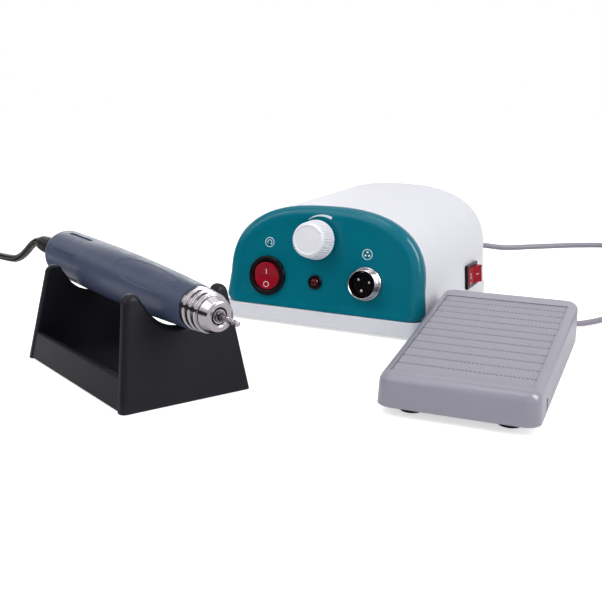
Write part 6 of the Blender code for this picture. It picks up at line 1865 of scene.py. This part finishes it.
# Foot pedal
@dataclass(frozen=True)
class FootPedal:
    """Sloping grey cover with soft edges, its ribbed mat, base, feet, grommet and spring."""

    depth: float = 0.1515
    rear_half: float = 0.0368
    front_half: float = 0.0333
    rear_height: float = 0.0254
    front_height: float = 0.0174
    under: float = 0.0038
    corner: float = 0.0070
    edge: float = 0.0042
    draft: float = 0.0004
    wall: float = 0.0026
    roof: float = 0.0034
    mat_side: float = 0.0042
    mat_front: float = 0.0080
    mat_rear: float = 0.0165
    recess: float = 0.0014
    bands: int = 12
    hinge: float = 0.0210
    lead_x: float = 0.0240
    base_low: float = 0.0035
    base_top: float = 0.0055
    spring_radius: float = 0.0045
    spring_wire: float = 0.0005
    spring_turns: int = 5

    def half(self, y: Grid) -> Grid:
        """Half width at a place along the pedal."""
        return self.front_half + (self.rear_half - self.front_half) * (y / self.depth + 0.5)

    def top(self, y: Grid) -> Grid:
        """Height of the sloping top at a place along the pedal."""
        return self.front_height + (self.rear_height - self.front_height) * (y / self.depth + 0.5)

    def ring(self, inset: float, drop: float | None = None, height: float | None = None) -> Grid:
        """Plan outline, a drop below the sloping top or at a height.

        Four quarter circles joined by straight sides, with stations along both long sides so
        that the notches at the hinge can be pressed into them.

        Args:
            inset: how far it is drawn in.
            drop: how far below the top, where it slopes.
            height: its height, where it is level.

        Returns:
            The points.
        """
        half_y = self.depth / 2 - inset
        radius = max(self.corner - inset, self.corner / 4)
        corners = []
        for quarter, (side_x, side_y) in enumerate(((1, 1), (-1, 1), (-1, -1), (1, -1))):
            angle = math.pi / 2 * (quarter + np.linspace(0, 1, 11))
            half_x = self.half(side_y * half_y) - inset
            corners.append(np.stack([side_x * (half_x - radius) + radius * np.cos(angle),
                                     side_y * (half_y - radius) + radius * np.sin(angle)], 1))
        hinge = self.hinge - self.depth / 2
        near = hinge + np.array([-0.0022, -0.00135, -0.00125, -0.00115, -0.00105, 0,
                                 0.00105, 0.00115, 0.00125, 0.00135, 0.0022])
        even = np.linspace(-half_y + radius, half_y - radius, 26)[1:-1]
        station = np.sort(np.concatenate([even[np.abs(even - hinge) > 0.0028], near]))
        share = (station - corners[3][-1, 1]) / (corners[0][0, 1] - corners[3][-1, 1])
        right = np.stack([corners[3][-1, 0] + (corners[0][0, 0] - corners[3][-1, 0]) * share, station], 1)
        left = right[::-1] * (-1, 1)
        limit = corners[0][-1, 0] - 0.0001
        steps = np.array([0.0042, 0.0034, 0.0033, 0.0031, 0.0030, 0, -0.0030, -0.0031, -0.0033, -0.0034, -0.0042])
        rear = np.clip(self.lead_x + steps, -limit, limit)
        rear = np.stack([rear, np.full(len(rear), half_y)], 1)
        flat = np.vstack([corners[0], rear, corners[1], left, corners[2], corners[3], right])
        rise = self.top(flat[:, 1]) - drop if height is None else np.full(len(flat), height)
        return np.column_stack([flat, rise])

    def notched(self, ring: Grid) -> Grid:
        """A ring lifted where the cover is cut: over the hinge on both sides, and over the lead.

        Args:
            ring: points of one ring.

        Returns:
            The ring with its lifted points.
        """
        hinge = np.abs(ring[:, 1] - self.hinge + self.depth / 2)
        side = smoothstep((0.00135 - hinge) / 0.0003) * (np.abs(ring[:, 0]) > 0.02)
        lead = np.abs(ring[:, 0] - self.lead_x)
        rear = smoothstep((0.0034 - lead) / 0.0004) * (ring[:, 1] > self.depth / 2 - 0.006)
        moved = ring.copy()
        moved[:, 2] += side * (np.maximum(ring[:, 2], 0.0100) - ring[:, 2])
        moved[:, 2] += rear * (np.maximum(ring[:, 2], 0.0144) - ring[:, 2])
        return moved

    def mat_outline(self, grow: float) -> Grid:
        """Plan (x, y) of the mat's field, grown by a little.

        Args:
            grow: how much larger.

        Returns:
            The points.
        """
        front, rear = self.mat_front - grow - self.depth / 2, self.depth / 2 - self.mat_rear + grow
        corners = [(1, rear), (-1, rear), (-1, front), (1, front)]
        plan = [(side * (float(self.half(y)) - self.mat_side + grow), y) for side, y in corners]
        return soften(plan, 0.0010, 6, closed=True)

    def build_cover(self) -> None:
        """Cover: recess floor and walls, flat top, rounded edge, sides with notches, inside."""
        turn = np.linspace(math.pi / 2, 0, 12)
        rounds = [self.ring(self.draft + self.edge * (1 - math.cos(a)), self.edge * (1 - math.sin(a))) for a in turn]
        brim = self.ring(self.draft + self.edge * 1.04, 0.0)
        low = rounds[-1]
        sides = []
        for share in (0.12, 0.3, 0.45, 0.6, 0.8, 0.93):
            foot = self.ring(0.0, height=self.under)
            sides.append(self.notched(low + (foot - low) * share))
        lip = [self.notched(self.ring(inset, height=self.under + rise)) for inset, rise in
               ((0.0, 0.0006), (0.0001, 0.0002), (0.0004, 0.0), (self.wall - 0.0002, 0.0))]
        inside = [self.notched(self.ring(self.wall + 0.0002, height=self.under + 0.0004)),
                  self.ring(self.wall + self.draft, self.roof + self.edge / 2),
                  self.ring(self.wall + self.draft + self.edge / 2, self.roof)]
        skin = Skin().sheet(np.stack([brim, *rounds, *sides, *lip, *inside]), around=True).lid(inside[-1])
        hole = self.mat_outline(GAP)
        flat, faces = pierced(brim[:, :2], [hole])
        skin.flat(np.column_stack([flat, self.top(flat[:, 1])]), faces)
        walls = [np.column_stack([hole, self.top(hole[:, 1]) - drop]) for drop in (0, 0.0001, self.recess)]
        skin.sheet(np.stack(walls), around=True).lid(walls[-1])
        attach(skin.make("pedal_top", PEDAL_GREY, PEDAL, 40), Body.PEDAL_COVER, "grey_pedal", "pedal_cover")

    def build_mat(self) -> None:
        """Mat: rows across it, with eleven dashed grooves pressed in.

        A groove's depth is a smooth step of the distance from its middle, times a wave along
        it that leaves short bridges.
        """
        front, rear = self.mat_front - self.depth / 2, self.depth / 2 - self.mat_rear
        middles = front + (rear - front) / self.bands * np.arange(1, self.bands)
        offsets = np.array([-0.0024, -0.0012, -0.0009, -0.0007, -0.0005, -0.0002, 0, 0.0002, 0.0005, 0.0007, 0.0009,
                            0.0012, 0.0024])
        station = np.sort(np.concatenate([(middles[:, None] + offsets).ravel(), [front, front + 0.0003,
                                          front + 0.0008, rear - 0.0008, rear - 0.0003, rear]]))
        share = np.concatenate([[-1, -0.996, -0.985], np.linspace(-0.975, 0.975, 385), [0.985, 0.996, 1]])
        edge = self.half(station) - self.mat_side
        x = edge[:, None] * share[None]
        away = np.abs(station[:, None] - middles[None]).min(1)
        dash = smoothstep((np.cos(2 * math.pi * x / 0.0009) + 0.5) / 1.0)
        groove = smoothstep((0.00090 - away) / 0.00034)[:, None] * (0.64 + 0.36 * dash)
        brink = np.minimum(np.minimum(station - front, rear - station)[:, None], edge[:, None] - np.abs(x))
        drop = self.recess * 0.22 + 0.00085 * groove + 0.00075 * (1 - smoothstep(brink / 0.0008))
        drop = np.minimum(drop, self.recess - GAP - 0.00015)
        above = np.stack([x, np.repeat(station[:, None], len(share), 1), self.top(station)[:, None] - drop], 2)
        base = self.top(station) - self.recess + GAP
        left = np.stack([x[:, 0], station, base], 1)[:, None]
        right = np.stack([x[:, -1], station, base], 1)[:, None]
        skin = Skin().column(np.concatenate([left, above, right], 1))
        attach(skin.make("tread_mat", MAT_GREY, PEDAL, 50), Body.PEDAL_COVER, "grey_mat", "pedal_mat")

    def build_base(self) -> None:
        """Base plate with its ears and the stop of the lead's grommet."""
        inset, low, high = self.wall + 0.0009, self.base_low, self.base_top
        profile = soften([(0.0080, low), (inset, low), (inset, high), (0.0080, high)], 0.0004, 4)
        skin = Skin().column([self.ring(reach, height=z) for reach, z in profile])
        hinge = self.hinge - self.depth / 2
        x = float(self.half(hinge)) - inset - 0.0022
        for side in (1, -1):
            ear = rounded_box(0.0011, 0.0030, 0.0004) + (side * x, hinge)
            tip = (ear - ear.mean(0)) * 0.8 + ear.mean(0)
            skin.column([lift(ear, high - 0.0010), lift(ear, 0.0104), lift(tip, 0.0108)])
        stop = rounded_box(0.0026, 0.0012, 0.0003) + (self.lead_x, self.depth / 2 - 0.0080 - GAP - 0.0012)
        skin.column([lift(stop, high - 0.0010), lift(stop, 0.0110)])
        attach(skin.make("pedal_bottom", PEDAL_GREY, PEDAL), Body.BASE, "grey_pedal", "pedal_base")

    def build_feet(self) -> None:
        """Four rubber feet with a ribbed sole."""
        y, x = self.depth / 2 - 0.0125, (self.front_half + self.rear_half) / 2 - 0.01475
        for index, (foot_x, foot_y) in enumerate(((x, y), (-x, y), (-x, -y), (x, -y))):
            profile = [(0.0006, 0.0003), (0.0018, 0.0003), (0.0021, 0), (0.0029, 0), (0.0032, 0.0003), (0.0036, 0.0003),
                       (0.0039, 0), (0.0047, 0), (0.0050, 0.0005), (0.0050, 0.0032), (0.0006, 0.0032)]
            foot = Skin().column(lathe(soften(profile, 0.0002, 3), 56))
            attach(foot.make(f"pedal_pad_{index + 1}", RUBBER, PEDAL @ shifted(foot_x, foot_y, 0)), Body.BASE,
                   "black_rubber", f"pedal_foot_{index + 1}")

    def build_grommet(self) -> None:
        """Tapered grommet of the pedal's lead, with bending grooves."""
        profile = [(0.0006, -0.0080), (0.0026, -0.0080), (0.0026, 0.0022)]
        for station in (0.0032, 0.0054, 0.0076):
            width = 0.0026 - 0.0004 * station / 0.0110
            profile += [(width, station), (width - 0.0005, station + 0.0003), (width - 0.0005, station + 0.0009),
                        (width - 0.0001, station + 0.0012)]
        profile += [(0.0022, 0.0106), (0.0020, 0.0110), (0.0006, 0.0110)]
        place = PEDAL @ shifted(self.lead_x, self.depth / 2, self.lead_height()) @ turned_about(Axis.X, -90)
        skin = Skin().column(lathe(soften(profile, 0.0002, 4), 56))
        attach(skin.make("lead_relief", GREY_LEAD, place), Body.BASE, "grey_lead", "pedal_grommet")

    def lead_height(self) -> float:
        """Height at which the lead leaves the pedal."""
        return self.base_top + GAP + 0.0026

    def build_spring(self) -> None:
        """Return spring: a wire along a helix, closed by half a coil of little pitch at each end."""
        y = self.depth / 2 - 0.0500
        low = self.base_top + GAP + self.spring_wire
        high = float(self.top(y - self.spring_radius)) - self.roof - GAP - self.spring_wire
        share = np.linspace(0, 1, 320)
        rise = share + 0.045 * np.sin(2 * math.pi * share) * np.sin(math.pi * share)
        flat = polar(self.spring_radius, 2 * math.pi * self.spring_turns * share) + (0, y)
        path = np.column_stack([flat, low + (high - low) * rise])
        spring = Skin().column(tube_rings(path, self.spring_wire, 14)).make("return_spring", STEEL, PEDAL)
        attach(spring, Body.BASE, "polished_steel", "pedal_spring")
        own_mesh(spring)

    def build(self) -> None:
        """Build every piece of the pedal that shows."""
        self.build_cover()
        self.build_mat()
        self.build_base()
        self.build_feet()
        self.build_grommet()
        self.build_spring()


# Cords and plugs
@dataclass(frozen=True)
class Cord:
    """A cord: straight out of its relief, down a free route, then a neat coil of piled loops."""

    name: str
    nodes: tuple[str, str]
    finish: Finish
    slot: str
    place: Grid
    exit: Point
    heading: Point
    radius: float
    centre: Spot
    mean: float
    layer_turns: float
    start: float
    sense: int
    tail: float
    lie: float
    length: float
    route: tuple[Point, ...]
    rise: tuple[Point, Point] | None = None

    def coil(self, loop_points: int) -> Grid:
        """Middle line of the coil.

        The distance from the coil's middle goes in and out again at a steady rate, the height
        climbs one layer by a smooth step over the half turn where it reverses, and over the last
        three quarters of a turn it rises to where the plug lies.

        Args:
            loop_points: points for each turn.

        Returns:
            The points, with a straight stretch at each end.
        """
        pitch, turns = 2 * self.radius + 0.00045, 2 * self.layer_turns
        done = turns * np.linspace(0, 1, round(turns * loop_points) + 1)
        inward = self.layer_turns - np.abs(self.layer_turns - done)
        across = self.mean + pitch * (self.layer_turns / 2 - inward)
        height = self.radius + GAP + pitch * smoothstep((done - self.layer_turns) / 0.5 + 0.5)
        height += np.clip(self.lie - height, 0, None) * smoothstep(1 - (turns - done) / 0.75)
        angle = math.radians(self.start) + self.sense * 2 * math.pi * done
        middle = np.array(self.centre) - (SHIFT_X, SHIFT_Y)
        line = np.stack([middle[0] + across * np.cos(angle), middle[1] + across * np.sin(angle), height], 1)
        first, last = (self.sense * np.array([-math.sin(a), math.cos(a), 0]) for a in (angle[0], angle[-1]))
        run = self.tail * np.linspace(0, 1, 2 + loop_points // 12)[1:, None]
        return np.vstack([line[0] - first * 2 * self.radius, line, line[-1] + last * run])

    def ahead(self) -> Grid:
        """Direction in which the cord leaves its relief."""
        return self.place[:3, :3] @ np.array(self.heading)

    def free(self, coil: Grid, step: float) -> Grid:
        """Middle line from the relief to the coil: a centripetal Catmull-Rom curve.

        Between two knots the point is the blend of blends of the four points about it, with
        knots spaced by the root of the distance.

        Args:
            coil: the coil's middle line.
            step: the longest span.

        Returns:
            The points.
        """
        ahead = self.ahead()
        first = placed(np.array(self.exit), self.place) + ahead * GAP
        inward = unit(coil[1] - coil[0])
        last = coil[0] - inward * GAP
        middle = np.array(self.route) - (SHIFT_X, SHIFT_Y, 0)
        route = np.vstack([first, first + ahead * 2 * self.radius, middle, last - inward * 2 * self.radius, last])
        ends = np.vstack([2 * route[0] - route[1], route, 2 * route[-1] - route[-2]])
        line = [route[:1]]
        for index in range(len(route) - 1):
            four = ends[index:index + 4]
            knots = np.concatenate([[0], np.cumsum(np.sqrt(np.linalg.norm(np.diff(four, axis=0), axis=1)))])
            count = max(1, round(float(np.linalg.norm(four[2] - four[1])) / step))
            at = (knots[1] + (knots[2] - knots[1]) * np.arange(1, count + 1) / count)[:, None]
            level = [np.broadcast_to(point, (count, 3)) for point in four]
            for reach in (1, 2):
                level = [(level[i] * (knots[i + reach] - at) + level[i + 1] * (at - knots[i]))
                         / (knots[i + reach] - knots[i]) for i in range(len(level) - 1)]
            line.append((level[0] * (knots[2] - at) + level[1] * (at - knots[1])) / (knots[2] - knots[1]))
        return np.vstack(line)

    def line(self, loop_points: int, step: float) -> Grid:
        """The whole middle line."""
        coil = self.coil(loop_points)
        return np.vstack([self.free(coil, step)[:-1], coil])

    def plug_place(self) -> Grid:
        """Frame of the plug: X level, Y up, Z on from the cord's end.

        Returns:
            The 4 by 4 matrix.
        """
        coil = self.coil(24)
        out = unit((coil[-1] - coil[-2]) * (1, 1, 0))
        up = np.array([0.0, 0.0, 1.0])
        return framed(coil[-1] + out * GAP, np.cross(up, out), up, out)

    def build(self) -> Piece:
        """The cord as one tube, its first end inside the relief and its last inside the plug.

        Returns:
            The piece.
        """
        line = self.line(72, 0.0022)
        ahead = self.ahead()
        end = unit(line[-1] - line[-2])
        line = np.vstack([line[0] - ahead * 0.0026, line, line[-1] + end * 0.0026])
        piece = Skin().column(tube_rings(line, self.radius, 22)).make(self.name, self.finish, None, 60)
        return attach(piece, None if self.rise else Body.BASE, self.slot, *self.nodes)

    def declare(self, piece: Piece, plug: Sequence[Piece]) -> None:
        """Log how long the cord is along its middle.

        Args:
            piece: the cord, which is not used.
            plug: what is on its end, which is not used.
        """
        path = self.line(24, 2.6 * 2 * self.radius)
        real = float(np.linalg.norm(np.diff(path, axis=0), axis=1).sum())
        LOG.info("%s is %.3f m long along its middle", self.name, real)
        mouth = placed(np.array(self.exit), self.place)


MOTOR_CORD = Cord(
    "motor_lead", ("motor_cord", "motor_cord_coil"), BLACK_LEAD, "black_lead", TOOL, exit=(0, 0, -0.0295),
    heading=(0, 0, -1), radius=0.0022, centre=(-0.2400, -0.0590), mean=0.0260, layer_turns=3.75, start=90, sense=1,
    tail=0.0200, lie=0.0095, length=1.37, route=(
        (-0.1485, -0.0608, 0.0446), (-0.1535, -0.0582, 0.0419), (-0.1592, -0.0552, 0.0383),
        (-0.1660, -0.0516, 0.0346), (-0.1740, -0.0474, 0.0316), (-0.1845, -0.0419, 0.0300),
        (-0.1962, -0.0358, 0.0290), (-0.2060, -0.0308, 0.0275), (-0.2145, -0.0273, 0.0215),
        (-0.2215, -0.0258, 0.0130)), rise=((-0.2065, -0.0500, 0.0), (-0.1500, -0.0500, 0.0)))
MAINS_CORD = Cord(
    "mains_lead", ("mains_cord", "mains_cord_coil"), GREY_LEAD, "grey_lead",
    BOX @ shifted(RELIEF_X, 0.1440, REAR_ROW) @ turned_about(Axis.X, -90), exit=(0, 0, 0.0220),
    heading=(0, 0, 1), radius=0.0019, centre=(0.1745, 0.2380), mean=0.0228, layer_turns=3.5, start=0, sense=-1,
    tail=0.0220, lie=0.0071, length=1.27, route=(
        (0.0440, 0.1770, 0.0290), (0.0525, 0.1890, 0.0276), (0.0650, 0.1985, 0.0258),
        (0.0850, 0.2140, 0.0262), (0.1140, 0.2410, 0.0262), (0.1350, 0.2600, 0.0250),
        (0.1560, 0.2760, 0.0205), (0.1760, 0.2830, 0.0130), (0.1930, 0.2755, 0.0060)))
PEDAL_CORD = Cord(
    "pedal_lead", ("pedal_cord", "pedal_cord_coil"), GREY_LEAD, "grey_lead", PEDAL, exit=(0.0240, 0.08675, 0.0084),
    heading=(0, 1, 0), radius=0.0017, centre=(0.1800, 0.1290), mean=0.0204, layer_turns=3.75, start=180, sense=-1,
    tail=0.0120, lie=0.0051, length=1.06,
    route=((0.1285, 0.0650, 0.0058), (0.1345, 0.0800, 0.0026), (0.1450, 0.1000, 0.0020)))


@dataclass(frozen=True)
class Plugs:
    """What is on the cords' ends: a round screw plug, a flat two-pin plug and a small jack."""

    def build_motor_plug(self, place: Grid) -> list[Piece]:
        """Turned plug body with grooves at its tail, and the knurled ring that turns on it.

        Args:
            place: frame of the cord's end.

        Returns:
            The two pieces.
        """
        profile = [(0.0010, 0), (0.0042, 0)]
        for station in (0.0012, 0.0026, 0.0040):
            profile += [(0.0042, station), (0.0037, station + 0.0003), (0.0037, station + 0.0008),
                        (0.0042, station + 0.0011)]
        profile += [(0.0042, 0.0066), (0.0078, 0.0132), (0.0078, 0.0190), (0.0074, 0.0192), (0.0074, 0.0200),
                    (0.0078, 0.0202), (0.0078, 0.0277), (0.0064, 0.0277), (0.0064, 0.0380), (0.0050, 0.0380),
                    (0.0050, 0.0350), (0.0010, 0.0350)]
        body = Skin().column(lathe(soften(profile, 0.0003, 4), 96)).make("round_plug_body", STEEL, place)
        attach(body, Body.BASE, "polished_steel", "motor_plug_body")
        section = evened(soften([(0.0067, 0.0280), (0.0088, 0.0280), (0.0092, 0.0284), (0.0092, 0.0426),
                                 (0.0088, 0.0430), (0.0067, 0.0430)], 0.0003, 4), 0.0009)
        angle = whole_turn(216)
        radius, station = section[:, :1], section[:, 1:]
        reach = smoothstep((radius - 0.0087) / 0.0004) * smoothstep((station - 0.0290) / 0.0006)
        radius = radius - 0.0006 * reach * smoothstep(np.cos(12 * angle)[None] * 1.4) * smoothstep(
            (0.0420 - station) / 0.0006)
        ring = Skin().sheet(spun(radius, angle, station), around=True, along=True)
        ring = ring.make("round_plug_ring", STEEL, place)
        attach(ring, Body.PLUG_RING, "polished_steel", "motor_plug_ring")
        return [body, ring]

    def build_mains_plug(self, place: Grid) -> list[Piece]:
        """Flat plug through soft levels, with grip dents, and its two sleeved pins.

        Args:
            place: frame of the cord's end.

        Returns:
            The three pieces.
        """
        levels = np.array([
            (0.00100, 0.00100, 0.0006, 0), (0.00336, 0.00336, 0.0021, 0), (0.0042, 0.0042, 0.00252, 0.0102),
            (0.01232, 0.0068, 0.0042, 0.0204), (0.0176, 0.0068, 0.0042, 0.0272), (0.0176, 0.0068, 0.0042, 0.0340),
            (0.0140, 0.0050, 0.0030, 0.0340)])
        levels = evened(soften_rows(levels, 0.0022), 0.0008)
        rings = []
        for half_x, half_y, corner, z in levels:
            ring = lift(rounded_box(half_x, half_y, min(corner, half_x, half_y)), z)
            dent = 0.0005 * smoothstep(math.cos(2 * math.pi * z / 0.0022) * 1.5) * (0.0206 < z < 0.0312)
            ring[:, 1] -= np.sign(ring[:, 1]) * dent * smoothstep((0.0105 - np.abs(ring[:, 0])) / 0.0010) * (
                np.abs(ring[:, 1]) > half_y * 0.9)
            rings.append(ring)
        body = Skin().column(rings).make("flat_plug_body", GREY_LEAD, place)
        attach(body, Body.BASE, "grey_lead", "mains_plug")
        sleeves, pins, apart = Skin(), Skin(), 0.0095
        for side in (1, -1):
            turn = np.linspace(0, math.pi / 2 * 0.95, 8)
            tip = np.column_stack([0.0019 * np.cos(turn), 0.0513 + 0.0017 * np.sin(turn)])
            pins.column(lathe(np.vstack([[0.0019, 0.0432], tip]), 40) + (side * apart, 0, 0))
            sleeve = soften([(0.0005, 0.0330), (0.0020, 0.0330), (0.0020, 0.0436), (0.0005, 0.0436)], 0.0002)
            sleeves.column(lathe(sleeve, 40) + (side * apart, 0, 0))
        made = [sleeves.make("plug_pin_sleeves", RUBBER, place), pins.make("plug_pins", STEEL, place)]
        attach(made[0], Body.BASE, "black_rubber")
        attach(made[1], Body.BASE, "polished_steel")
        return [body, *made]

    def build_jack(self, place: Grid) -> list[Piece]:
        """Turned jack: a barrel with a fine grip, a stem with two black rings, and its tip.

        Args:
            place: frame of the cord's end.

        Returns:
            The two pieces.
        """
        profile = [(0.0006, 0), (0.00238, 0), (0.00384, 0.0084), (0.0048, 0.0108)]
        for index in range(7):
            station = 0.0122 + 0.0014 * index
            profile += [(0.0048, station), (0.00455, station + 0.0003), (0.00455, station + 0.0006),
                        (0.0048, station + 0.0009)]
        profile += [(0.0048, 0.0236), (0.0044, 0.0240), (0.0017, 0.0240), (0.0017, 0.0346), (0.00119, 0.03528),
                    (0.0017, 0.03596), (0.00057, 0.0380)]
        body = Skin().column(lathe(soften(profile, 0.00015, 3), 64)).make("jack_plug", STEEL, place)
        attach(body, Body.BASE, "polished_steel", "pedal_plug")
        rings = Skin()
        for station in (0.0290, 0.0325):
            band = np.array([(0.0014, station), (0.00174, station), (0.00174, station + 0.0006),
                             (0.0014, station + 0.0006)])
            rings.sheet(lathe(band, 40), around=True, along=True)
        bands = attach(rings.make("jack_rings", GLOSS_BLACK, place), Body.BASE, "black_plastic")
        return [body, bands]

    def build(self) -> None:
        for cord, plug in ((MOTOR_CORD, self.build_motor_plug), (MAINS_CORD, self.build_mains_plug),
                           (PEDAL_CORD, self.build_jack)):
            piece = cord.build()
            cord.declare(piece, plug(cord.plug_place()))
            if cord.rise:
                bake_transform(piece)


# Parts kept from the model
@dataclass(frozen=True)
class KeptParts:
    """Finishes of the model's own parts that stay: what is inside the box, tool and pedal."""

    def finishes(self) -> dict[str, Finish]:
        """Which finish each kept part gets.

        Returns:
            Each part's name with its finish.
        """
        return {
            "transformer": IRON, "circuit_board": BOARD_GREEN, "rear_bush": BUSH_PLASTIC, "motor_can": CAN_STEEL,
            "magnet_ring": MAGNET, "brush_upper": CARBON, "brush_lower": CARBON, "rear_bearing": RACE_STEEL,
            "front_bearing": RACE_STEEL, "armature": COPPER, "spindle": RACE_STEEL, "speed_control": BUSH_PLASTIC,
            "pedal_microswitch": BUSH_PLASTIC, "pedal_hinge_pin": RACE_STEEL,
        }

    def dress(self) -> None:
        """Put the finish on every slot of each kept part."""
        for name, finish in self.finishes().items():
            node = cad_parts[name]
            if not node.material_slots:
                node.data.materials.append(finish.material())
            for holder in node.material_slots:
                holder.material = finish.material()
            LOG.info("%s keeps its shape and is dressed in %s", name, finish.name)


# Studio
@dataclass(frozen=True)
class Lamp:
    """A soft lamp: its place, what it looks at, its two sides and its power."""

    name: str
    place: Point
    target: Point
    sides: Spot
    power: float
    diffuse: bool = True

    def build(self) -> None:
        """Make the lamp and turn it to its target; one without diffuse light gives highlights only."""
        light = bpy.data.lights.new(self.name, "AREA")
        light.shape, light.size, light.size_y, light.energy = "RECTANGLE", *self.sides, self.power
        lamp = linked(self.name, light)
        lamp.location, lamp.visible_diffuse = self.place, self.diffuse
        aim = Vector(self.target) - Vector(self.place)
        lamp.rotation_euler = aim.to_track_quat("-Z", "Y").to_euler()


@dataclass(frozen=True)
class Studio:
    """Camera, pale floor, soft lamps and the dark cards that bright metal reflects."""

    focal: float = 850.0
    image: float = 602.0
    eye: Point = (0.180935, -0.432548, 0.121353)
    right: Point = (0.91164, 0.41025, 0.02484)
    up: Point = (-0.11197, 0.18975, 0.97543)
    back: Point = (0.39544, -0.89202, 0.21891)
    sky: float = 0.55
    floor_white: float = 0.86
    floor_lift: float = 0.60
    floor_shine: float = 0.10
    lamps: tuple[Lamp, ...] = (
        Lamp("overhead", (-0.25, 0.30, 1.35), (0.0, 0.0, 0.0), (0.75, 0.75), 1.6),
        Lamp("key_box", (-0.30, -0.60, 0.85), (0.0, -0.05, 0.03), (0.70, 0.70), 3.0),
        Lamp("left_box", (-1.00, -0.75, 0.80), (0.0, -0.05, 0.03), (0.20, 0.90), 2.6),
        Lamp("right_box", (0.95, -0.12, 0.62), (0.05, 0.0, 0.03), (0.30, 0.90), 4.6),
        Lamp("edge_box", (0.85, 0.02, 0.72), (0.05, 0.0, 0.05), (0.34, 0.60), 10.0, diffuse=False),
        Lamp("top_box", (0.05, -0.20, 1.25), (0.08, -0.08, 0.02), (0.45, 0.45), 3.0, diffuse=False),
        Lamp("back_box", (-0.85, 0.95, 0.42), (-0.05, -0.05, 0.04), (0.90, 0.25), 2.2, diffuse=False),
    )
    cards: tuple[tuple[Point, Point, Spot], ...] = (
        ((-0.42, -0.95, 0.14), (0.0, 0.0, 0.04), (0.95, 0.42)),
        ((-0.62, -0.15, 0.10), (-0.01, -0.135, 0.042), (0.60, 0.20)),
        ((-0.45, 0.14, 0.38), (-0.01, -0.135, 0.042), (0.45, 0.14)),
    )

    def build_camera(self) -> None:
        """Camera at the photograph's angle. Its axes are the columns of its matrix."""
        data = bpy.data.cameras.new("photo_camera")
        data.sensor_width = 36.0
        data.lens = self.focal * data.sensor_width / self.image
        data.clip_start, data.clip_end = 0.02, 30.0
        camera = linked("photo_camera", data)
        place = framed(np.array(self.eye), np.array(self.right), np.array(self.up), np.array(self.back))
        camera.matrix_world = Matrix(place.tolist())
        bpy.context.scene.camera = camera

    def build_sky(self) -> None:
        """Even grey light for diffuse rays, and plain white for what the eye, metal and glass see."""
        world = bpy.data.worlds.new("white_room")
        world.use_nodes = True
        bpy.context.scene.world = world
        tree = world.node_tree
        path = tree.nodes.new("ShaderNodeLightPath")
        seen = None
        for output in ("Is Camera Ray", "Is Glossy Ray", "Is Transmission Ray"):
            if seen is None:
                seen = path.outputs[output]
                continue
            join = tree.nodes.new("ShaderNodeMath")
            join.operation = "MAXIMUM"
            tree.links.new(seen, join.inputs[0])
            tree.links.new(path.outputs[output], join.inputs[1])
            seen = join.outputs[0]
        soft, white = tree.nodes["Background"], tree.nodes.new("ShaderNodeBackground")
        soft.inputs["Color"].default_value = (self.sky, self.sky, self.sky, 1.0)
        soft.inputs["Strength"].default_value = 1.0
        white.inputs["Color"].default_value = (1.0, 1.0, 1.0, 1.0)
        white.inputs["Strength"].default_value = 1.0
        blend = tree.nodes.new("ShaderNodeMixShader")
        tree.links.new(seen, blend.inputs[0])
        tree.links.new(soft.outputs[0], blend.inputs[1])
        tree.links.new(white.outputs[0], blend.inputs[2])
        tree.links.new(blend.outputs[0], tree.nodes["World Output"].inputs[0])

    def build_floor(self) -> None:
        """Plain pale floor that still takes the object's shadow."""
        board = Board("pale_floor")
        spots = board.spots()
        shade = board.noise(spots, 3.0, 1.0)
        white = self.floor_white
        board.plain(Base_Color=board.tint(shade, (white, white, white), (white + 0.01, white + 0.01, white + 0.01)),
                    Roughness=0.9, Specular_IOR_Level=0.1)
        path = board.add("LightPath")
        seen = board.sum(path.outputs["Is Camera Ray"], self.floor_lift, "MULTIPLY")
        shone = board.sum(path.outputs["Is Glossy Ray"], self.floor_shine, "MULTIPLY")
        board.plain(Emission_Color=(1.0, 1.0, 1.0, 1.0), Emission_Strength=board.sum(seen, shone))
        mesh = bpy.data.meshes.new("floor")
        mesh.from_pydata([(-8, -8, -0.0002), (8, -8, -0.0002), (8, 8, -0.0002), (-8, 8, -0.0002)], [], [(0, 1, 2, 3)])
        mesh.materials.append(board.material)
        linked("floor", mesh)

    def build_cards(self) -> None:
        """Dark cards that only glossy rays meet."""
        board = Board("dark_card")
        board.plain(Base_Color=(0.03, 0.03, 0.035, 1.0), Roughness=0.9, Specular_IOR_Level=0.0)
        for index, (place, target, sides) in enumerate(self.cards):
            mesh = bpy.data.meshes.new(f"card_{index + 1}")
            half_x, half_y = sides[0] / 2, sides[1] / 2
            aim = Vector(target) - Vector(place)
            turn = aim.to_track_quat("-Z", "Y").to_matrix()
            corners = [Vector(place) + turn @ Vector((x * half_x, y * half_y, 0)) for x, y in
                       ((-1, -1), (1, -1), (1, 1), (-1, 1))]
            mesh.from_pydata([tuple(c) for c in corners], [], [(0, 1, 2, 3)])
            mesh.materials.append(board.material)
            card = linked(f"card_{index + 1}", mesh)
            card.visible_camera = card.visible_diffuse = card.visible_shadow = card.visible_transmission = False

    def build(self) -> None:
        """Build everything but the camera."""
        scene = bpy.context.scene
        scene.view_settings.view_transform = "Standard"
        self.build_sky()
        self.build_floor()
        self.build_cards()
        for lamp in self.lamps:
            lamp.build()


def main() -> None:
    """Build the camera and the cords first, then each unit, the kept parts and the studio."""
    logging.basicConfig(level=logging.INFO, format="%(name)s: %(message)s")
    studio, sleeve, casing = Studio(), Sleeve(), Casing()
    studio.build_camera()
    Plugs().build()
    for part in (casing, FrontPanel(casing), SpeedKnob(), DirectionSwitch(), WarningLamp(), MotorSocket(),
                 PowerSwitch(casing), RearFittings(casing), Cradle(sleeve), Handpiece(sleeve), FootPedal()):
        LOG.info("building %s", type(part).__name__)
        part.build()
    KeptParts().dress()
    studio.build()


if __name__ == "__main__":
    main()
